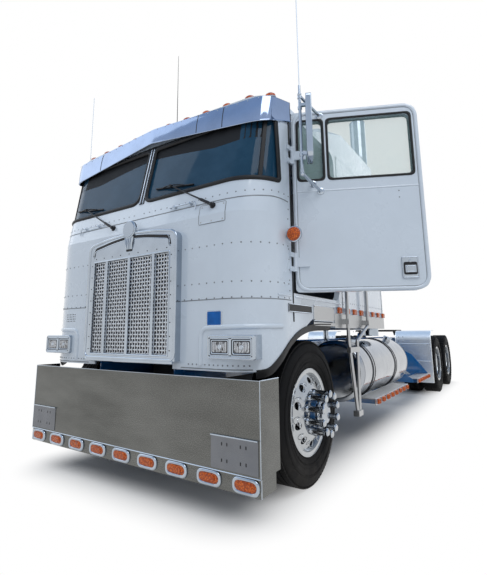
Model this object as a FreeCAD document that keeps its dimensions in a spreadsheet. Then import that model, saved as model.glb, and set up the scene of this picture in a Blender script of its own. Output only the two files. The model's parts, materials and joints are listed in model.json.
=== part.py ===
import FreeCAD, Part
import math
import os
import re
import Sketcher

# Cab-over road tractor with a raised sleeper roof, two drive axles and twin wheels.
# Millimetres. The truck faces -Y, +X is its left side, +Z is up.
# The origin is the king pin's axis at the top face of the fifth wheel plate.

doc = FreeCAD.newDocument("tractor")
sheet = doc.addObject("Spreadsheet::Sheet", "Dims")

SIZES = [
    ("kingpin_back", 6200, "king pin behind the front axle"),
    ("fifth_high", 1200, "fifth wheel's top face above the ground"),
    ("drive_ahead", 250, "first drive axle ahead of the king pin"),
    ("tandem_spread", 1320, "between the drive axles"),
    ("tyre_radius", 540, "rolling radius"),
    ("tyre_wide", 280, "section width"),
    ("tyre_crown", 14, "drop of the tread at its shoulder"),
    ("tyre_shoulder", 32, "shoulder width"),
    ("tyre_bulge", 16, "how far the bead sits inside the sidewall"),
    ("rim_radius", 325, "rim flange radius"),
    ("rim_seat", 300, "bead seat radius"),
    ("rim_well", 275, "rim drop well radius"),
    ("rim_skin", 9, "rim metal"),
    ("rim_inset", 20, "rim flange inside the tyre's outer face"),
    ("disc_skin", 18, "wheel disc metal"),
    ("steer_track_out", 1154, "outer face of a steered tyre"),
    ("drive_track_out", 1220, "outer face of the outer twin tyre"),
    ("twin_pitch", 330, "between the twin tyres' middles"),
    ("disc_out", 12, "steer disc's bolt face outside the tyre's face"),
    ("disc_deep", 285, "drive disc's bolt face inside the tyre's face"),
    ("bolt_circle", 143, "radius of the stud circle"),
    ("bolt_face", 176, "radius of the flat bolt face"),
    ("hand_hole", 29, "radius of a hand hole"),
    ("hand_circle", 228, "radius of the hand holes' circle"),
    ("lug_long", 150, "length of a lug cover"),
    ("lug_base", 29, "radius of a cover's foot"),
    ("lug_waist", 20, "radius of a cover's waist"),
    ("lug_tip", 26, "radius of a cover's tip"),
    ("lug_foot", 22, "length of a cover's foot"),
    ("lug_head", 30, "length of a cover's tip"),
    ("drive_lug_long", 75, "length of a lug cover on the drive wheels"),
    ("hub_radius", 100, "hub barrel"),
    ("hub_out", 105, "steer hub's end outside the bolt face"),
    ("hub_cap", 72, "hub cap radius"),
    ("hub_cap_deep", 24, "hub cap depth"),
    ("drive_hub_out", 70, "drive hub's end outside the bolt face"),
    ("drum_radius", 215, "brake drum"),
    ("drum_skin", 22, "brake drum wall"),
    ("drum_deep", 150, "brake drum depth"),
    ("running", 0.06, "running clearance at pins and shafts"),
    ("seat_gap", 0.3, "seating clearance between pieces"),
    ("spindle", 35, "spindle radius"),
    ("kingpin_steer", 860, "steering axis off the middle"),
    ("steer_pin", 22, "steering pin radius"),
    ("steer_boss", 52, "steering boss radius"),
    ("steer_boss_half", 60, "half height of the axle's steering boss"),
    ("steer_ear", 55, "thickness of a knuckle's ear"),
    ("steer_web", 26, "thickness of the knuckle's web"),
    ("steer_web_off", 78, "knuckle's web outside the steering axis"),
    ("steer_arm_long", 190, "steering arm behind the axis"),
    ("steer_arm_wide", 36, "steering arm width"),
    ("beam_deep", 92, "axle beam depth"),
    ("beam_wide", 104, "axle beam width"),
    ("beam_drop", 95, "drop of the beam's middle"),
    ("beam_flat_half", 560, "half length of the dropped middle"),
    ("frame_half", 430, "frame half width over the webs"),
    ("frame_deep", 267, "rail depth"),
    ("flange_wide", 88, "rail flange"),
    ("rail_skin", 9, "rail metal"),
    ("frame_top", 1035, "frame's top above the ground"),
    ("rail_front", 800, "rail ends ahead of the front axle"),
    ("rail_tail", 760, "rail ends behind the rear axle"),
    ("member_wide", 110, "crossmember width"),
    ("spring_off", 478, "front spring off the middle"),
    ("spring_wide", 89, "front spring width"),
    ("spring_stack", 66, "spring stack at the axle"),
    ("spring_tip", 24, "spring leaf at its end"),
    ("spring_ahead", 620, "front spring's eye ahead of the axle"),
    ("spring_behind", 720, "front spring's eye behind the axle"),
    ("hanger_long", 90, "spring hanger length"),
    ("bumper_half", 1220, "bumper half width"),
    ("bumper_front", 884, "bumper's face ahead of the axle"),
    ("bumper_back", 650, "bumper's return ends ahead of the axle"),
    ("strip_back", 690, "lamp strip's return ends ahead of the axle"),
    ("bumper_top", 856, "bumper's top"),
    ("bumper_fold", 305, "bumper's fold"),
    ("bumper_low", 198, "bumper's bottom"),
    ("bumper_skin", 5, "bumper metal"),
    ("strip_set", 9, "lamp strip behind the fold"),
    ("oval_long", 122, "lamp bezel length"),
    ("oval_high", 62, "lamp bezel height"),
    ("oval_rim", 11, "lamp bezel's rim"),
    ("oval_proud", 9, "bezel stands off the strip"),
    ("lens_proud", 8, "lens stands off its bezel"),
    ("oval_reach", 1110, "outermost bumper lamp off the middle"),
    ("cab_half", 1205, "cab half width"),
    ("cab_front", 820, "cab's face ahead of the axle"),
    ("cab_back", 2060, "cab's rear wall behind the axle"),
    ("cab_low", 890, "cab front's bottom edge"),
    ("cab_belt", 1985, "where the face starts to lean back"),
    ("cab_top", 2912, "top of the cab's walls"),
    ("lean_back", 209, "how far the face leans back at the top"),
    ("corner_round", 350, "front corner radius in plan"),
    ("cab_wall", 50, "cab wall thickness"),
    ("wall_split", 350, "front panel ends ahead of the axle"),
    ("side_low", 1185, "side panel's bottom behind the arch"),
    ("floor_top", 1430, "cab floor"),
    ("floor_skin", 40, "floor thickness"),
    ("tunnel_half", 425, "half width of the engine tunnel inside"),
    ("tunnel_top", 1720, "engine tunnel's inner top"),
    ("tunnel_skin", 25, "engine tunnel's wall"),
    ("sill_wide", 50, "cab sill width"),
    ("sill_deep", 90, "cab sill depth"),
    ("tilt_ahead", 760, "cab's tilt axis ahead of the axle"),
    ("tilt_high", 950, "cab's tilt axis above the ground"),
    ("tilt_pin", 20, "tilt pin radius"),
    ("tilt_eye", 34, "tilt arm's eye radius"),
    ("tilt_gap", 8, "tilt arm off the frame rail"),
    ("glass_low", 2240, "windshield's lower edge"),
    ("glass_top", 2760, "windshield's upper edge"),
    ("glass_out", 1085, "windshield cut's outer edge off the middle"),
    ("glass_wrap_back", 520, "windshield's end ahead of the axle"),
    ("glass_skin", 8, "glass thickness"),
    ("glass_corner", 95, "rounding of the windshield's lower corners"),
    ("pillar_half", 32, "half width of the middle pillar"),
    ("seal_wide", 24, "rubber seal width"),
    ("seal_proud", 8, "rubber seal stands off the panel"),
    ("door_ahead", 350, "door's hinge edge ahead of the axle"),
    ("door_wide", 940, "door width"),
    ("door_low", 1435, "door's bottom"),
    ("door_high", 2862, "door's top"),
    ("door_corner", 105, "door's corner rounding"),
    ("door_gap", 8, "gap round the door"),
    ("door_skin", 50, "door thickness"),
    ("door_open", 64.8, "left door's angle as parked, degrees"),
    ("door_pin", 14, "door hinge pin radius"),
    ("door_pin_out", 16, "hinge axis outside the cab's side"),
    ("hinge_high", 70, "hinge knuckle height"),
    ("light_low", 2290, "door window's lower edge"),
    ("light_high", 2790, "door window's upper edge"),
    ("light_ahead", 40, "door window's edge from the hinge edge"),
    ("light_behind", 50, "door window's edge from the latch edge"),
    ("vent_at", 255, "vent divider from the hinge edge"),
    ("vent_bar", 26, "vent divider width"),
    ("light_corner", 60, "door window's rounding"),
    ("grille_half", 520, "grille surround half width"),
    ("grille_low", 945, "grille's bottom"),
    ("grille_shoulder", 1900, "grille surround's top at its sides"),
    ("grille_peak", 1962, "grille surround's top at the middle"),
    ("grille_proud", 58, "grille surround stands off the face"),
    ("grille_band", 72, "grille surround's side width"),
    ("grille_head", 150, "grille surround's top band"),
    ("grille_round", 62, "grille surround's upper corners"),
    ("mesh_skin", 6, "grille mesh depth"),
    ("mesh_bar", 9, "mesh bar width"),
    ("mesh_pitch", 46, "mesh bar pitch"),
    ("rib_wide", 26, "grille's vertical bar width"),
    ("rib_deep", 20, "grille's vertical bar depth"),
    ("emblem", 72, "round medallion radius"),
    ("lamp_in", 786, "headlamp bezel's inner edge off the middle"),
    ("lamp_wide", 374, "headlamp bezel width"),
    ("lamp_low", 972, "headlamp bezel's bottom"),
    ("lamp_high", 158, "headlamp bezel height"),
    ("lamp_proud", 25, "headlamp bezel stands off the face"),
    ("lamp_taper", 42, "how far the bezel's outer side runs inwards"),
    ("lamp_rim", 22, "headlamp bezel's rim"),
    ("lamp_round", 24, "headlamp bezel's corners"),
    ("unit_wide", 150, "headlamp unit width"),
    ("unit_high", 98, "headlamp unit height"),
    ("unit_gap", 3, "groove round a headlamp unit"),
    ("unit_set", 8, "headlamp unit behind its bezel's face"),
    ("visor_low", 2813, "visor's lower edge at its middle fold"),
    ("visor_end_low", 2683, "visor's lower edge at its outer folds"),
    ("visor_ahead", 682, "visor's lower edge ahead of the axle"),
    ("visor_bow", 58, "visor's middle fold ahead of its outer folds, level for level"),
    ("visor_lean", 70, "how far the visor leans back over its height"),
    ("visor_skin", 6, "visor metal"),
    ("visor_fold", 1164, "visor's outer folds off the middle"),
    ("visor_back", 368, "visor's end ahead of the axle"),
    ("visor_back_low", 2776, "visor's lowest point at its rear end"),
    ("visor_half", 1227, "visor half width at its rear end"),
    ("visor_top", 2975, "visor's upper edge at its middle fold"),
    ("visor_end_top", 2920, "visor's upper edge at its outer folds"),
    ("roof_rise", 22, "front roof's edge over the walls"),
    ("roof_ridge", 50, "front roof's middle over its edges"),
    ("roof_camber", 24, "raised roof's middle over its shoulders"),
    ("roof_start", 100, "raised roof starts behind the axle"),
    ("roof_peak_at", 950, "raised roof's shoulder behind the axle"),
    ("roof_side_high", 3235, "raised roof's side edge"),
    ("roof_crown", 3400, "raised roof's crown"),
    ("roof_half_low", 1180, "raised roof's half width at the foot"),
    ("roof_half_top", 930, "raised roof's half width at the crown"),
    ("roof_skin", 30, "roof skin"),
    ("beacon_radius", 46, "roof marker lamp radius"),
    ("beacon_high", 46, "roof marker lamp height"),
    ("beacon_pitch", 220, "between roof marker lamps"),
    ("beacon_ahead", 522, "roof marker lamps ahead of the axle"),
    ("trim_high", 125, "stainless side trim height"),
    ("trim_skin", 6, "stainless side trim"),
    ("flare_skin", 24, "rubber arch lip thickness"),
    ("flare_proud", 6, "rubber arch lip stands off the panel"),
    ("side_lamp", 58, "side lamp width"),
    ("side_lamp_high", 46, "side lamp height"),
    ("side_lamp_deep", 26, "side lamp depth"),
    ("tank_off", 880, "fuel tank's axis off the middle"),
    ("tank_axis", 740, "fuel tank's axis above the ground"),
    ("tank_radius", 318, "fuel tank radius"),
    ("tank_front", 1200, "fuel tank's front behind the axle"),
    ("tank_long", 2080, "fuel tank length"),
    ("tank_round", 45, "fuel tank's end rounding"),
    ("strap_wide", 62, "tank strap width"),
    ("strap_skin", 5, "tank strap metal"),
    ("step_half", 1222, "running board's outer edge off the middle"),
    ("step_front", 1460, "running board's front behind the axle"),
    ("step_back", 4740, "running board's end behind the axle"),
    ("step_high", 445, "running board's top"),
    ("step_split_front", 3040, "front board ends behind the axle"),
    ("step_split_back", 3720, "rear board starts behind the axle"),
    ("step_wide", 200, "running board width"),
    ("step_lip", 62, "running board's outer lip"),
    ("step_skin", 5, "running board metal"),
    ("ladder_tube", 16, "grab rail radius"),
    ("ladder_off", 1250, "grab rail off the middle"),
    ("ladder_foot_at", 810, "ladder foot behind the axle"),
    ("ladder_foot", 420, "ladder foot above the ground"),
    ("rail_one_top", 2350, "front grab rail's top"),
    ("rail_two_top", 1900, "rear grab rail's top"),
    ("quarter_front", 5200, "quarter fender's front behind the axle"),
    ("quarter_back", 5545, "quarter fender's rear behind the axle"),
    ("quarter_top", 1172, "quarter fender's top"),
    ("quarter_low", 240, "quarter fender's bottom"),
    ("quarter_in", 600, "quarter fender's inner edge off the middle"),
    ("quarter_round", 170, "quarter fender's bend"),
    ("quarter_skin", 4, "quarter fender metal"),
    ("stack_off", 980, "exhaust stack off the middle"),
    ("stack_at", 2250, "exhaust stack behind the axle"),
    ("stack_radius", 102, "exhaust stack radius"),
    ("stack_skin", 3, "exhaust stack metal"),
    ("stack_top", 4040, "exhaust stack's top"),
    ("stack_low", 1100, "exhaust stack's bottom"),
    ("stack_post", 35, "stack mounting tube radius"),
    ("plate_half", 457, "fifth wheel plate half width"),
    ("plate_ahead", 400, "fifth wheel plate ahead of the king pin"),
    ("plate_behind", 520, "fifth wheel plate behind the king pin"),
    ("plate_skin", 38, "fifth wheel plate thickness"),
    ("throat", 26, "king pin bore radius"),
    ("throat_flare", 150, "half width of the throat's mouth"),
    ("throat_long", 190, "straight part of the throat behind the pin"),
    ("rock_low", 88, "plate's tilt axis under its top face"),
    ("rock_pin", 20, "plate's tilt pin radius"),
    ("rock_ear", 30, "plate's ear thickness"),
    ("rock_ear_off", 355, "plate's ears off the middle"),
    ("engine_half", 330, "engine half width"),
    ("engine_ahead", 250, "engine's front ahead of the axle"),
    ("engine_long", 1180, "engine length"),
    ("engine_low", 640, "engine's bottom"),
    ("engine_high", 920, "engine height"),
    ("gearbox_radius", 215, "gearbox radius"),
    ("gearbox_long", 820, "gearbox length"),
    ("shaft_radius", 50, "propeller shaft radius"),
    ("radiator_half", 400, "radiator half width"),
    ("radiator_ahead", 705, "radiator's front ahead of the axle"),
    ("radiator_deep", 110, "radiator depth"),
    ("radiator_high", 620, "radiator height"),
    ("axle_tube", 72, "drive axle tube radius"),
    ("axle_bowl", 205, "drive axle bowl radius"),
    ("axle_bowl_half", 150, "drive axle bowl half width"),
    ("saddle_off", 500, "rear spring off the middle"),
    ("mirror_long", 480, "mirror head height"),
    ("mirror_wide", 178, "mirror head width"),
    ("mirror_deep", 30, "mirror head depth"),
    ("mirror_low", 2340, "mirror head's bottom"),
    ("mirror_out", 260, "mirror post outside the door's face"),
    ("mirror_at", 130, "mirror head from the hinge edge"),
    ("mirror_post_at", 70, "mirror post from the hinge edge"),
    ("mirror_post_low", 2240, "mirror post's bottom"),
    ("mirror_post_top", 2855, "mirror post's top"),
    ("mirror_tube", 11, "mirror arm radius"),
    ("aerial_base", 9, "aerial spring radius"),
    ("aerial_rod", 3, "aerial rod radius"),
    ("left_aerial_top", 4120, "left aerial's tip"),
    ("right_aerial_top", 4010, "right aerial's tip"),
    ("roof_aerial_top", 3900, "roof aerial's tip"),
    ("turn_lamp", 55, "side lamp's bezel radius"),
    ("turn_lamp_deep", 56, "side lamp depth"),
    ("turn_lamp_high", 1845, "side lamp above the ground"),
    ("turn_lamp_ahead", 472, "side lamp's front ahead of the axle"),
    ("turn_lamp_off", 6, "side lamp's rim off the cab's side"),
    ("handle_at", 805, "door handle from the hinge edge"),
    ("handle_low", 1520, "door handle's bottom"),
    ("handle_wide", 110, "door handle plate width"),
    ("handle_high", 150, "door handle plate height"),
    ("handle_proud", 16, "door handle stands off the door"),
    ("seat_off", 620, "seat off the middle"),
    ("seat_half", 250, "seat half width"),
    ("seat_deep", 480, "seat cushion depth"),
    ("seat_top", 1960, "seat cushion's top"),
    ("seat_thick", 130, "seat cushion thickness"),
    ("seat_back_high", 640, "seat back height"),
    ("seat_back_thick", 120, "seat back thickness"),
    ("seat_at", 90, "seat cushion's front behind the axle"),
    ("bunk_long", 760, "bunk depth"),
    ("bunk_top", 2010, "bunk's top"),
    ("bunk_thick", 160, "bunk mattress thickness"),
    ("dash_top", 2195, "dashboard's top"),
    ("dash_low", 1830, "dashboard's bottom"),
    ("dash_deep", 330, "dashboard depth"),
    ("dash_half", 1050, "dashboard half width"),
    ("wheel_ring", 228, "steering wheel radius"),
    ("wheel_grip", 14, "steering wheel's grip radius"),
    ("column", 28, "steering column radius"),
    ("wiper_pivot_off", 800, "wiper pivot off the middle"),
    ("wiper_pivot_high", 2053, "wiper pivot above the ground"),
    ("wiper_pitch", 1100, "between the wipers' pivots"),
    ("wiper_long", 560, "wiper arm length"),
    ("wiper_blade", 420, "wiper blade length"),
    ("over", 20, "overrun of a cut"),
]


class Size:
    """A named size, or a sum of them: its value, and the expression that binds it."""

    def __init__(self, value, text):
        self.value = float(value)
        self.text = text

    def __add__(self, other):
        other = size(other)
        return Size(self.value + other.value, f"({self.text} + {other.text})")

    __radd__ = __add__

    def __neg__(self):
        return Size(-self.value, f"(-1 * {self.text})")

    def __sub__(self, other):
        other = size(other)
        return Size(self.value - other.value, f"({self.text} - {other.text})")

    def __rsub__(self, other):
        return size(other) - self

    def __mul__(self, other):
        other = size(other)
        return Size(self.value * other.value, f"({self.text} * {other.text})")

    __rmul__ = __mul__

    def __truediv__(self, other):
        other = size(other)
        return Size(self.value / other.value, f"({self.text} / {other.text})")

    def __rtruediv__(self, other):
        return size(other) / self

    def __float__(self):
        return self.value


def size(value):
    if isinstance(value, Size):
        return value
    return Size(value, repr(float(value)))


class Named:
    pass


d = Named()
row = 0
for name, value, note in SIZES:
    row += 1
    sheet.set(f"A{row}", name)
    sheet.set(f"B{row}", str(value))
    sheet.setAlias(f"B{row}", name)
    sheet.set(f"C{row}", note)
    setattr(d, name, Size(value, "Dims." + name))
doc.recompute()

ALONG = {
    "X": FreeCAD.Rotation(FreeCAD.Vector(0, 1, 0), 90),
    "Y": FreeCAD.Rotation(FreeCAD.Vector(1, 0, 0), -90),
    "Z": FreeCAD.Rotation(),
}
count = {}


def fresh(label):
    count[label] = count.get(label, 0) + 1
    return f"{label}_{count[label]}"


def bind(thing, prop, value):
    thing.setExpression(prop, size(value).text)


def put(thing, at, turn=None):
    """Set a piece's Placement: its turn, and its place bound to the sizes."""
    place = FreeCAD.Placement(FreeCAD.Vector(*[float(v) for v in at]), turn or FreeCAD.Rotation())
    thing.Placement = place
    for axis, value in zip("xyz", at):
        bind(thing, f"Placement.Base.{axis}", value)
    return thing


def box(label, low, high):
    """A block between two corners."""
    thing = doc.addObject("Part::Box", fresh(label))
    bind(thing, "Length", high[0] - size(low[0]))
    bind(thing, "Width", high[1] - size(low[1]))
    bind(thing, "Height", high[2] - size(low[2]))
    return put(thing, low)


def rod(label, at, radius, length, axis="Z"):
    """A round bar from a point along an axis."""
    thing = doc.addObject("Part::Cylinder", fresh(label))
    bind(thing, "Radius", radius)
    bind(thing, "Height", length)
    return put(thing, at, ALONG[axis])


def strut(label, start, end, radius):
    """A round bar between two points."""
    a = FreeCAD.Vector(*[float(v) for v in start])
    b = FreeCAD.Vector(*[float(v) for v in end])
    thing = doc.addObject("Part::Cylinder", fresh(label))
    bind(thing, "Radius", radius)
    run = [size(q) - size(p) for p, q in zip(start, end)]
    span = run[0] * run[0] + run[1] * run[1] + run[2] * run[2]
    bind(thing, "Height", Size((b - a).Length, f"sqrt({span.text})"))
    return put(thing, start, FreeCAD.Rotation(FreeCAD.Vector(0, 0, 1), b - a))


def ball(label, at, radius):
    thing = doc.addObject("Part::Sphere", fresh(label))
    bind(thing, "Radius", radius)
    return put(thing, at)


def outline(body, plane, corners, offset=None):
    """A closed outline in a sketch; a corner is (x, y) or (x, y, rounding)."""
    sketch = body.newObject("Sketcher::SketchObject", fresh("outline"))
    support = next(f for f in body.Origin.OriginFeatures if f.Role == plane)
    sketch.AttachmentSupport = [(support, "")]
    sketch.MapMode = "FlatFace"
    if offset is not None:
        bind(sketch, "AttachmentOffset.Base.z", offset)
    total = len(corners)
    points = [FreeCAD.Vector(float(c[0]), float(c[1]), 0) for c in corners]
    rounds = [float(c[2]) if len(c) > 2 else 0.0 for c in corners]
    ins, outs, arcs = [], [], {}
    for i in range(total):
        here, before, after = points[i], points[i - 1], points[(i + 1) % total]
        if not rounds[i]:
            ins.append(here)
            outs.append(here)
            continue
        u, w = (before - here).normalize(), (after - here).normalize()
        half = u.getAngle(w) / 2
        reach = rounds[i] / math.tan(half)
        a, b = here + u * reach, here + w * reach
        centre = here + (u + w).normalize() * (rounds[i] / math.sin(half))
        middle = centre + (here - centre).normalize() * rounds[i]
        ins.append(a)
        outs.append(b)
        arcs[i] = Part.Arc(a, middle, b)
    lines = []
    for i in range(total):
        lines.append(sketch.addGeometry(Part.LineSegment(outs[i], ins[(i + 1) % total]), False))
    bends = {}
    for i, arc in arcs.items():
        bends[i] = sketch.addGeometry(arc, False)
    for i in range(total):
        before, after = lines[i - 1], lines[i]
        if i not in bends:
            sketch.addConstraint(Sketcher.Constraint("Coincident", before, 2, after, 1))
            mark, spot = after, 1
        else:
            bend = bends[i]
            first = sketch.getPoint(bend, 1)
            start, end = (1, 2) if first.distanceToPoint(ins[i]) < first.distanceToPoint(outs[i]) else (2, 1)
            sketch.addConstraint(Sketcher.Constraint("Tangent", before, 2, bend, start))
            sketch.addConstraint(Sketcher.Constraint("Tangent", after, 1, bend, end))
            k = sketch.addConstraint(Sketcher.Constraint("Radius", bend, rounds[i]))
            sketch.setExpression(f"Constraints[{k}]", size(corners[i][2]).text)
            mark = sketch.addGeometry(Part.Point(points[i]), True)
            spot = 1
            sketch.addConstraint(Sketcher.Constraint("PointOnObject", mark, 1, before))
            sketch.addConstraint(Sketcher.Constraint("PointOnObject", mark, 1, after))
        for kind, value, part in (("DistanceX", points[i].x, 0), ("DistanceY", points[i].y, 1)):
            k = sketch.addConstraint(Sketcher.Constraint(kind, -1, 1, mark, spot, value))
            sketch.setExpression(f"Constraints[{k}]", size(corners[i][part]).text)
    return sketch


def pad(label, plane, corners, deep, at=(0, 0, 0), centred=False, turn=None):
    """An outline in plane XY, XZ or YZ, drawn out along the third axis."""
    body = doc.addObject("PartDesign::Body", fresh(label))
    sketch = outline(body, plane + "_Plane", corners)
    feature = body.newObject("PartDesign::Pad", fresh("pad"))
    feature.Profile = sketch
    bind(feature, "Length", deep)
    feature.Midplane = centred
    feature.Reversed = plane == "XZ" and not centred
    return put(body, at, turn)


def turned(label, corners, at=(0, 0, 0), axis="X"):
    """An outline of (along, radius) points, turned about an axis."""
    body = doc.addObject("PartDesign::Body", fresh(label))
    sketch = outline(body, "XY_Plane", corners)
    feature = body.newObject("PartDesign::Revolution", fresh("turn"))
    feature.Profile = sketch
    feature.ReferenceAxis = (sketch, ["H_Axis"])
    feature.Angle = 360
    turn = {
        "X": FreeCAD.Rotation(),
        "Y": FreeCAD.Rotation(FreeCAD.Vector(0, 0, 1), 90),
        "Z": FreeCAD.Rotation(FreeCAD.Vector(0, 1, 0), -90),
    }[axis]
    return put(body, at, turn)


def lofted(label, sections, at=(0, 0, 0)):
    """Flat outlines at heights, joined by straight sides."""
    body = doc.addObject("PartDesign::Body", fresh(label))
    sketches = [outline(body, "XY_Plane", corners, high) for high, corners in sections]
    feature = body.newObject("PartDesign::AdditiveLoft", fresh("loft"))
    feature.Profile = sketches[0]
    feature.Sections = sketches[1:]
    feature.Ruled = True
    return put(body, at)


def join(label, parts):
    thing = doc.addObject("Part::MultiFuse", fresh(label))
    thing.Shapes = parts
    thing.Refine = True
    return thing


def cut(label, base, tools):
    tool = tools[0] if len(tools) == 1 else join(label + "_tool", tools)
    thing = doc.addObject("Part::Cut", fresh(label))
    thing.Base = base
    thing.Tool = tool
    thing.Refine = True
    return thing


def group(label, parts):
    thing = doc.addObject("Part::Compound", fresh(label))
    thing.Links = parts
    return thing


def mirror(label, source):
    thing = doc.addObject("Part::Mirroring", fresh(label))
    thing.Source = source
    thing.Normal = (1, 0, 0)
    return thing


def swung(label, source, about, angle):
    """A copy of a piece turned about an upright line."""
    thing = doc.addObject("Part::Compound", fresh(label))
    thing.Links = [source]
    turn = FreeCAD.Rotation(FreeCAD.Vector(0, 0, 1), angle)
    centre = FreeCAD.Vector(*[float(v) for v in about])
    thing.Placement = FreeCAD.Placement(FreeCAD.Vector(), turn, centre)
    return thing


NODES = {}


def node(name, thing):
    """Name a finished piece; its label names its file."""
    thing.Label = name
    NODES[name] = thing
    return thing


# Places that many pieces share
axle = -d.kingpin_back
ground = -d.fifth_high
hub_high = ground + d.tyre_radius
drive_one = -d.drive_ahead
drive_two = d.tandem_spread - d.drive_ahead
front_face = axle - d.cab_front
rear_face = axle + d.cab_back
rail_y = axle - d.rail_front
rail_end = drive_two + d.rail_tail
frame_low = ground + d.frame_top - d.frame_deep
frame_high = ground + d.frame_top
tilt_y = axle - d.tilt_ahead
tilt_z = ground + d.tilt_high
steer_mid = d.steer_track_out - d.tyre_wide / 2
steer_bolt = d.steer_track_out + d.disc_out
drive_mid = d.drive_track_out - d.tyre_wide / 2
drive_bolt = d.drive_track_out - d.disc_deep
door_y = axle - d.door_ahead
hinge_x = d.cab_half + d.door_pin_out

# Frame: two channel rails, crossmembers and the fifth wheel's brackets
web_in = d.frame_half - d.rail_skin
lip_in = d.frame_half - d.flange_wide
channel = [
    (d.frame_half, 0),
    (d.frame_half, d.frame_deep),
    (lip_in, d.frame_deep),
    (lip_in, d.frame_deep - d.rail_skin),
    (web_in, d.frame_deep - d.rail_skin),
    (web_in, d.rail_skin),
    (lip_in, d.rail_skin),
    (lip_in, 0),
]
horn_high = tilt_z - (d.cab_front + d.grille_proud - d.tilt_ahead) - d.tilt_gap
grille_way = box(
    "grille_way",
    (lip_in - d.over, rail_y - d.over, horn_high),
    (d.frame_half + d.over, tilt_y - d.tilt_pin * 0.75, tilt_z - d.tilt_eye),
)
rail_left = cut(
    "rail_cut",
    pad("rail", "XZ", channel, rail_end - rail_y, at=(0, rail_y, frame_low)),
    [grille_way],
)
frame_parts = [rail_left, mirror("rail_right", rail_left)]
engine_front = axle - d.engine_ahead
engine_end = engine_front + d.engine_long
member_low = frame_low + d.frame_deep * 0.55
member_high = frame_high - d.rail_skin
member_spots = (
    rail_y,
    engine_end + d.gearbox_long + d.seat_gap,
    axle + d.tank_front + d.tank_long,
    drive_one - d.member_wide / 2,
    drive_two - d.member_wide / 2,
    rail_end - d.member_wide,
)
for spot in member_spots:
    frame_parts.append(
        box(
            "member",
            (-web_in, spot, member_low),
            (web_in, spot + d.member_wide, member_high),
        )
    )
bracket_out = d.rock_ear_off + d.rock_ear + d.door_gap
bracket_half = d.rock_pin * 3
bracket = pad(
    "bracket",
    "YZ",
    [
        (-bracket_half * 2, frame_high),
        (bracket_half * 2, frame_high),
        (bracket_half, -d.rock_low + d.rock_pin * 1.4, d.rock_pin),
        (-bracket_half, -d.rock_low + d.rock_pin * 1.4, d.rock_pin),
    ],
    d.rock_ear,
    at=(bracket_out, 0, 0),
)
pin = rod("rock", (d.rock_ear_off - d.rock_pin / 2, 0, -d.rock_low), d.rock_pin, d.rock_ear * 2 + d.rock_pin / 2, "X")
frame_parts += [bracket, mirror("bracket_right", bracket), pin, mirror("rock_right", pin)]
stub = rod("tilt", (d.frame_half - d.rail_skin, tilt_y, tilt_z), d.tilt_pin, d.rail_skin + d.tilt_gap + d.sill_wide, "X")
frame_parts += [stub, mirror("tilt_right", stub)]
bumper_in = axle - d.bumper_front + d.bumper_skin
horn = box(
    "horn",
    (lip_in, bumper_in + d.seat_gap, frame_low),
    (d.frame_half, rail_y, horn_high),
)
frame_parts += [horn, mirror("horn_right", horn)]

# Bumper: a folded plate with square returns and a lamp strip under its fold
bx, by, br = d.bumper_half, axle - d.bumper_front, axle - d.bumper_back
sheet_u = [
    (-bx, br),
    (-bx, by, d.bumper_skin * 2),
    (bx, by, d.bumper_skin * 2),
    (bx, br),
    (bx - d.bumper_skin, br),
    (bx - d.bumper_skin, by + d.bumper_skin, d.bumper_skin),
    (-bx + d.bumper_skin, by + d.bumper_skin, d.bumper_skin),
    (-bx + d.bumper_skin, br),
]
face = pad("face", "XY", sheet_u, d.bumper_top - d.bumper_fold, at=(0, 0, ground + d.bumper_fold))
sx = bx - d.strip_set
sy = by + d.strip_set
sb = axle - d.strip_back
strip_u = [
    (-sx, sb),
    (-sx, sy),
    (sx, sy),
    (sx, sb),
    (sx - d.bumper_skin, sb),
    (sx - d.bumper_skin, sy + d.bumper_skin),
    (-sx + d.bumper_skin, sy + d.bumper_skin),
    (-sx + d.bumper_skin, sb),
]
strip = pad("strip", "XY", strip_u, d.bumper_fold - d.bumper_low, at=(0, 0, ground + d.bumper_low))
fold_u = [
    (-bx, sb),
    (-bx, by),
    (bx, by),
    (bx, sb),
    (sx - d.bumper_skin, sb),
    (sx - d.bumper_skin, sy + d.bumper_skin),
    (-sx + d.bumper_skin, sy + d.bumper_skin),
    (-sx + d.bumper_skin, sb),
]
fold = pad("fold", "XY", fold_u, d.bumper_skin, at=(0, 0, ground + d.bumper_fold))
oval_mid = ground + (d.bumper_low + d.bumper_fold) / 2
bezel_parts = []
chassis_lamps = []
OVALS = 9
for k in range(OVALS):
    share = 2 * k / (OVALS - 1) - 1
    x = d.oval_reach * share
    half, high = d.oval_long / 2, d.oval_high / 2
    bezel_parts.append(
        pad(
            "bezel",
            "XZ",
            [
                (-half, -high, high * 0.99),
                (half, -high, high * 0.99),
                (half, high, high * 0.99),
                (-half, high, high * 0.99),
            ],
            d.oval_proud + d.bumper_skin / 2,
            at=(x, sy - d.oval_proud, oval_mid),
        )
    )
    inner, tall = half - d.oval_rim, high - d.oval_rim
    chassis_lamps.append(
        pad(
            "lens",
            "XZ",
            [
                (-inner, -tall, tall * 0.99),
                (inner, -tall, tall * 0.99),
                (inner, tall, tall * 0.99),
                (-inner, tall, tall * 0.99),
            ],
            d.lens_proud,
            at=(x, sy - d.oval_proud - d.lens_proud, oval_mid),
        )
    )
node("bumper", join("bumper", [face, fold, strip] + bezel_parts))

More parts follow.
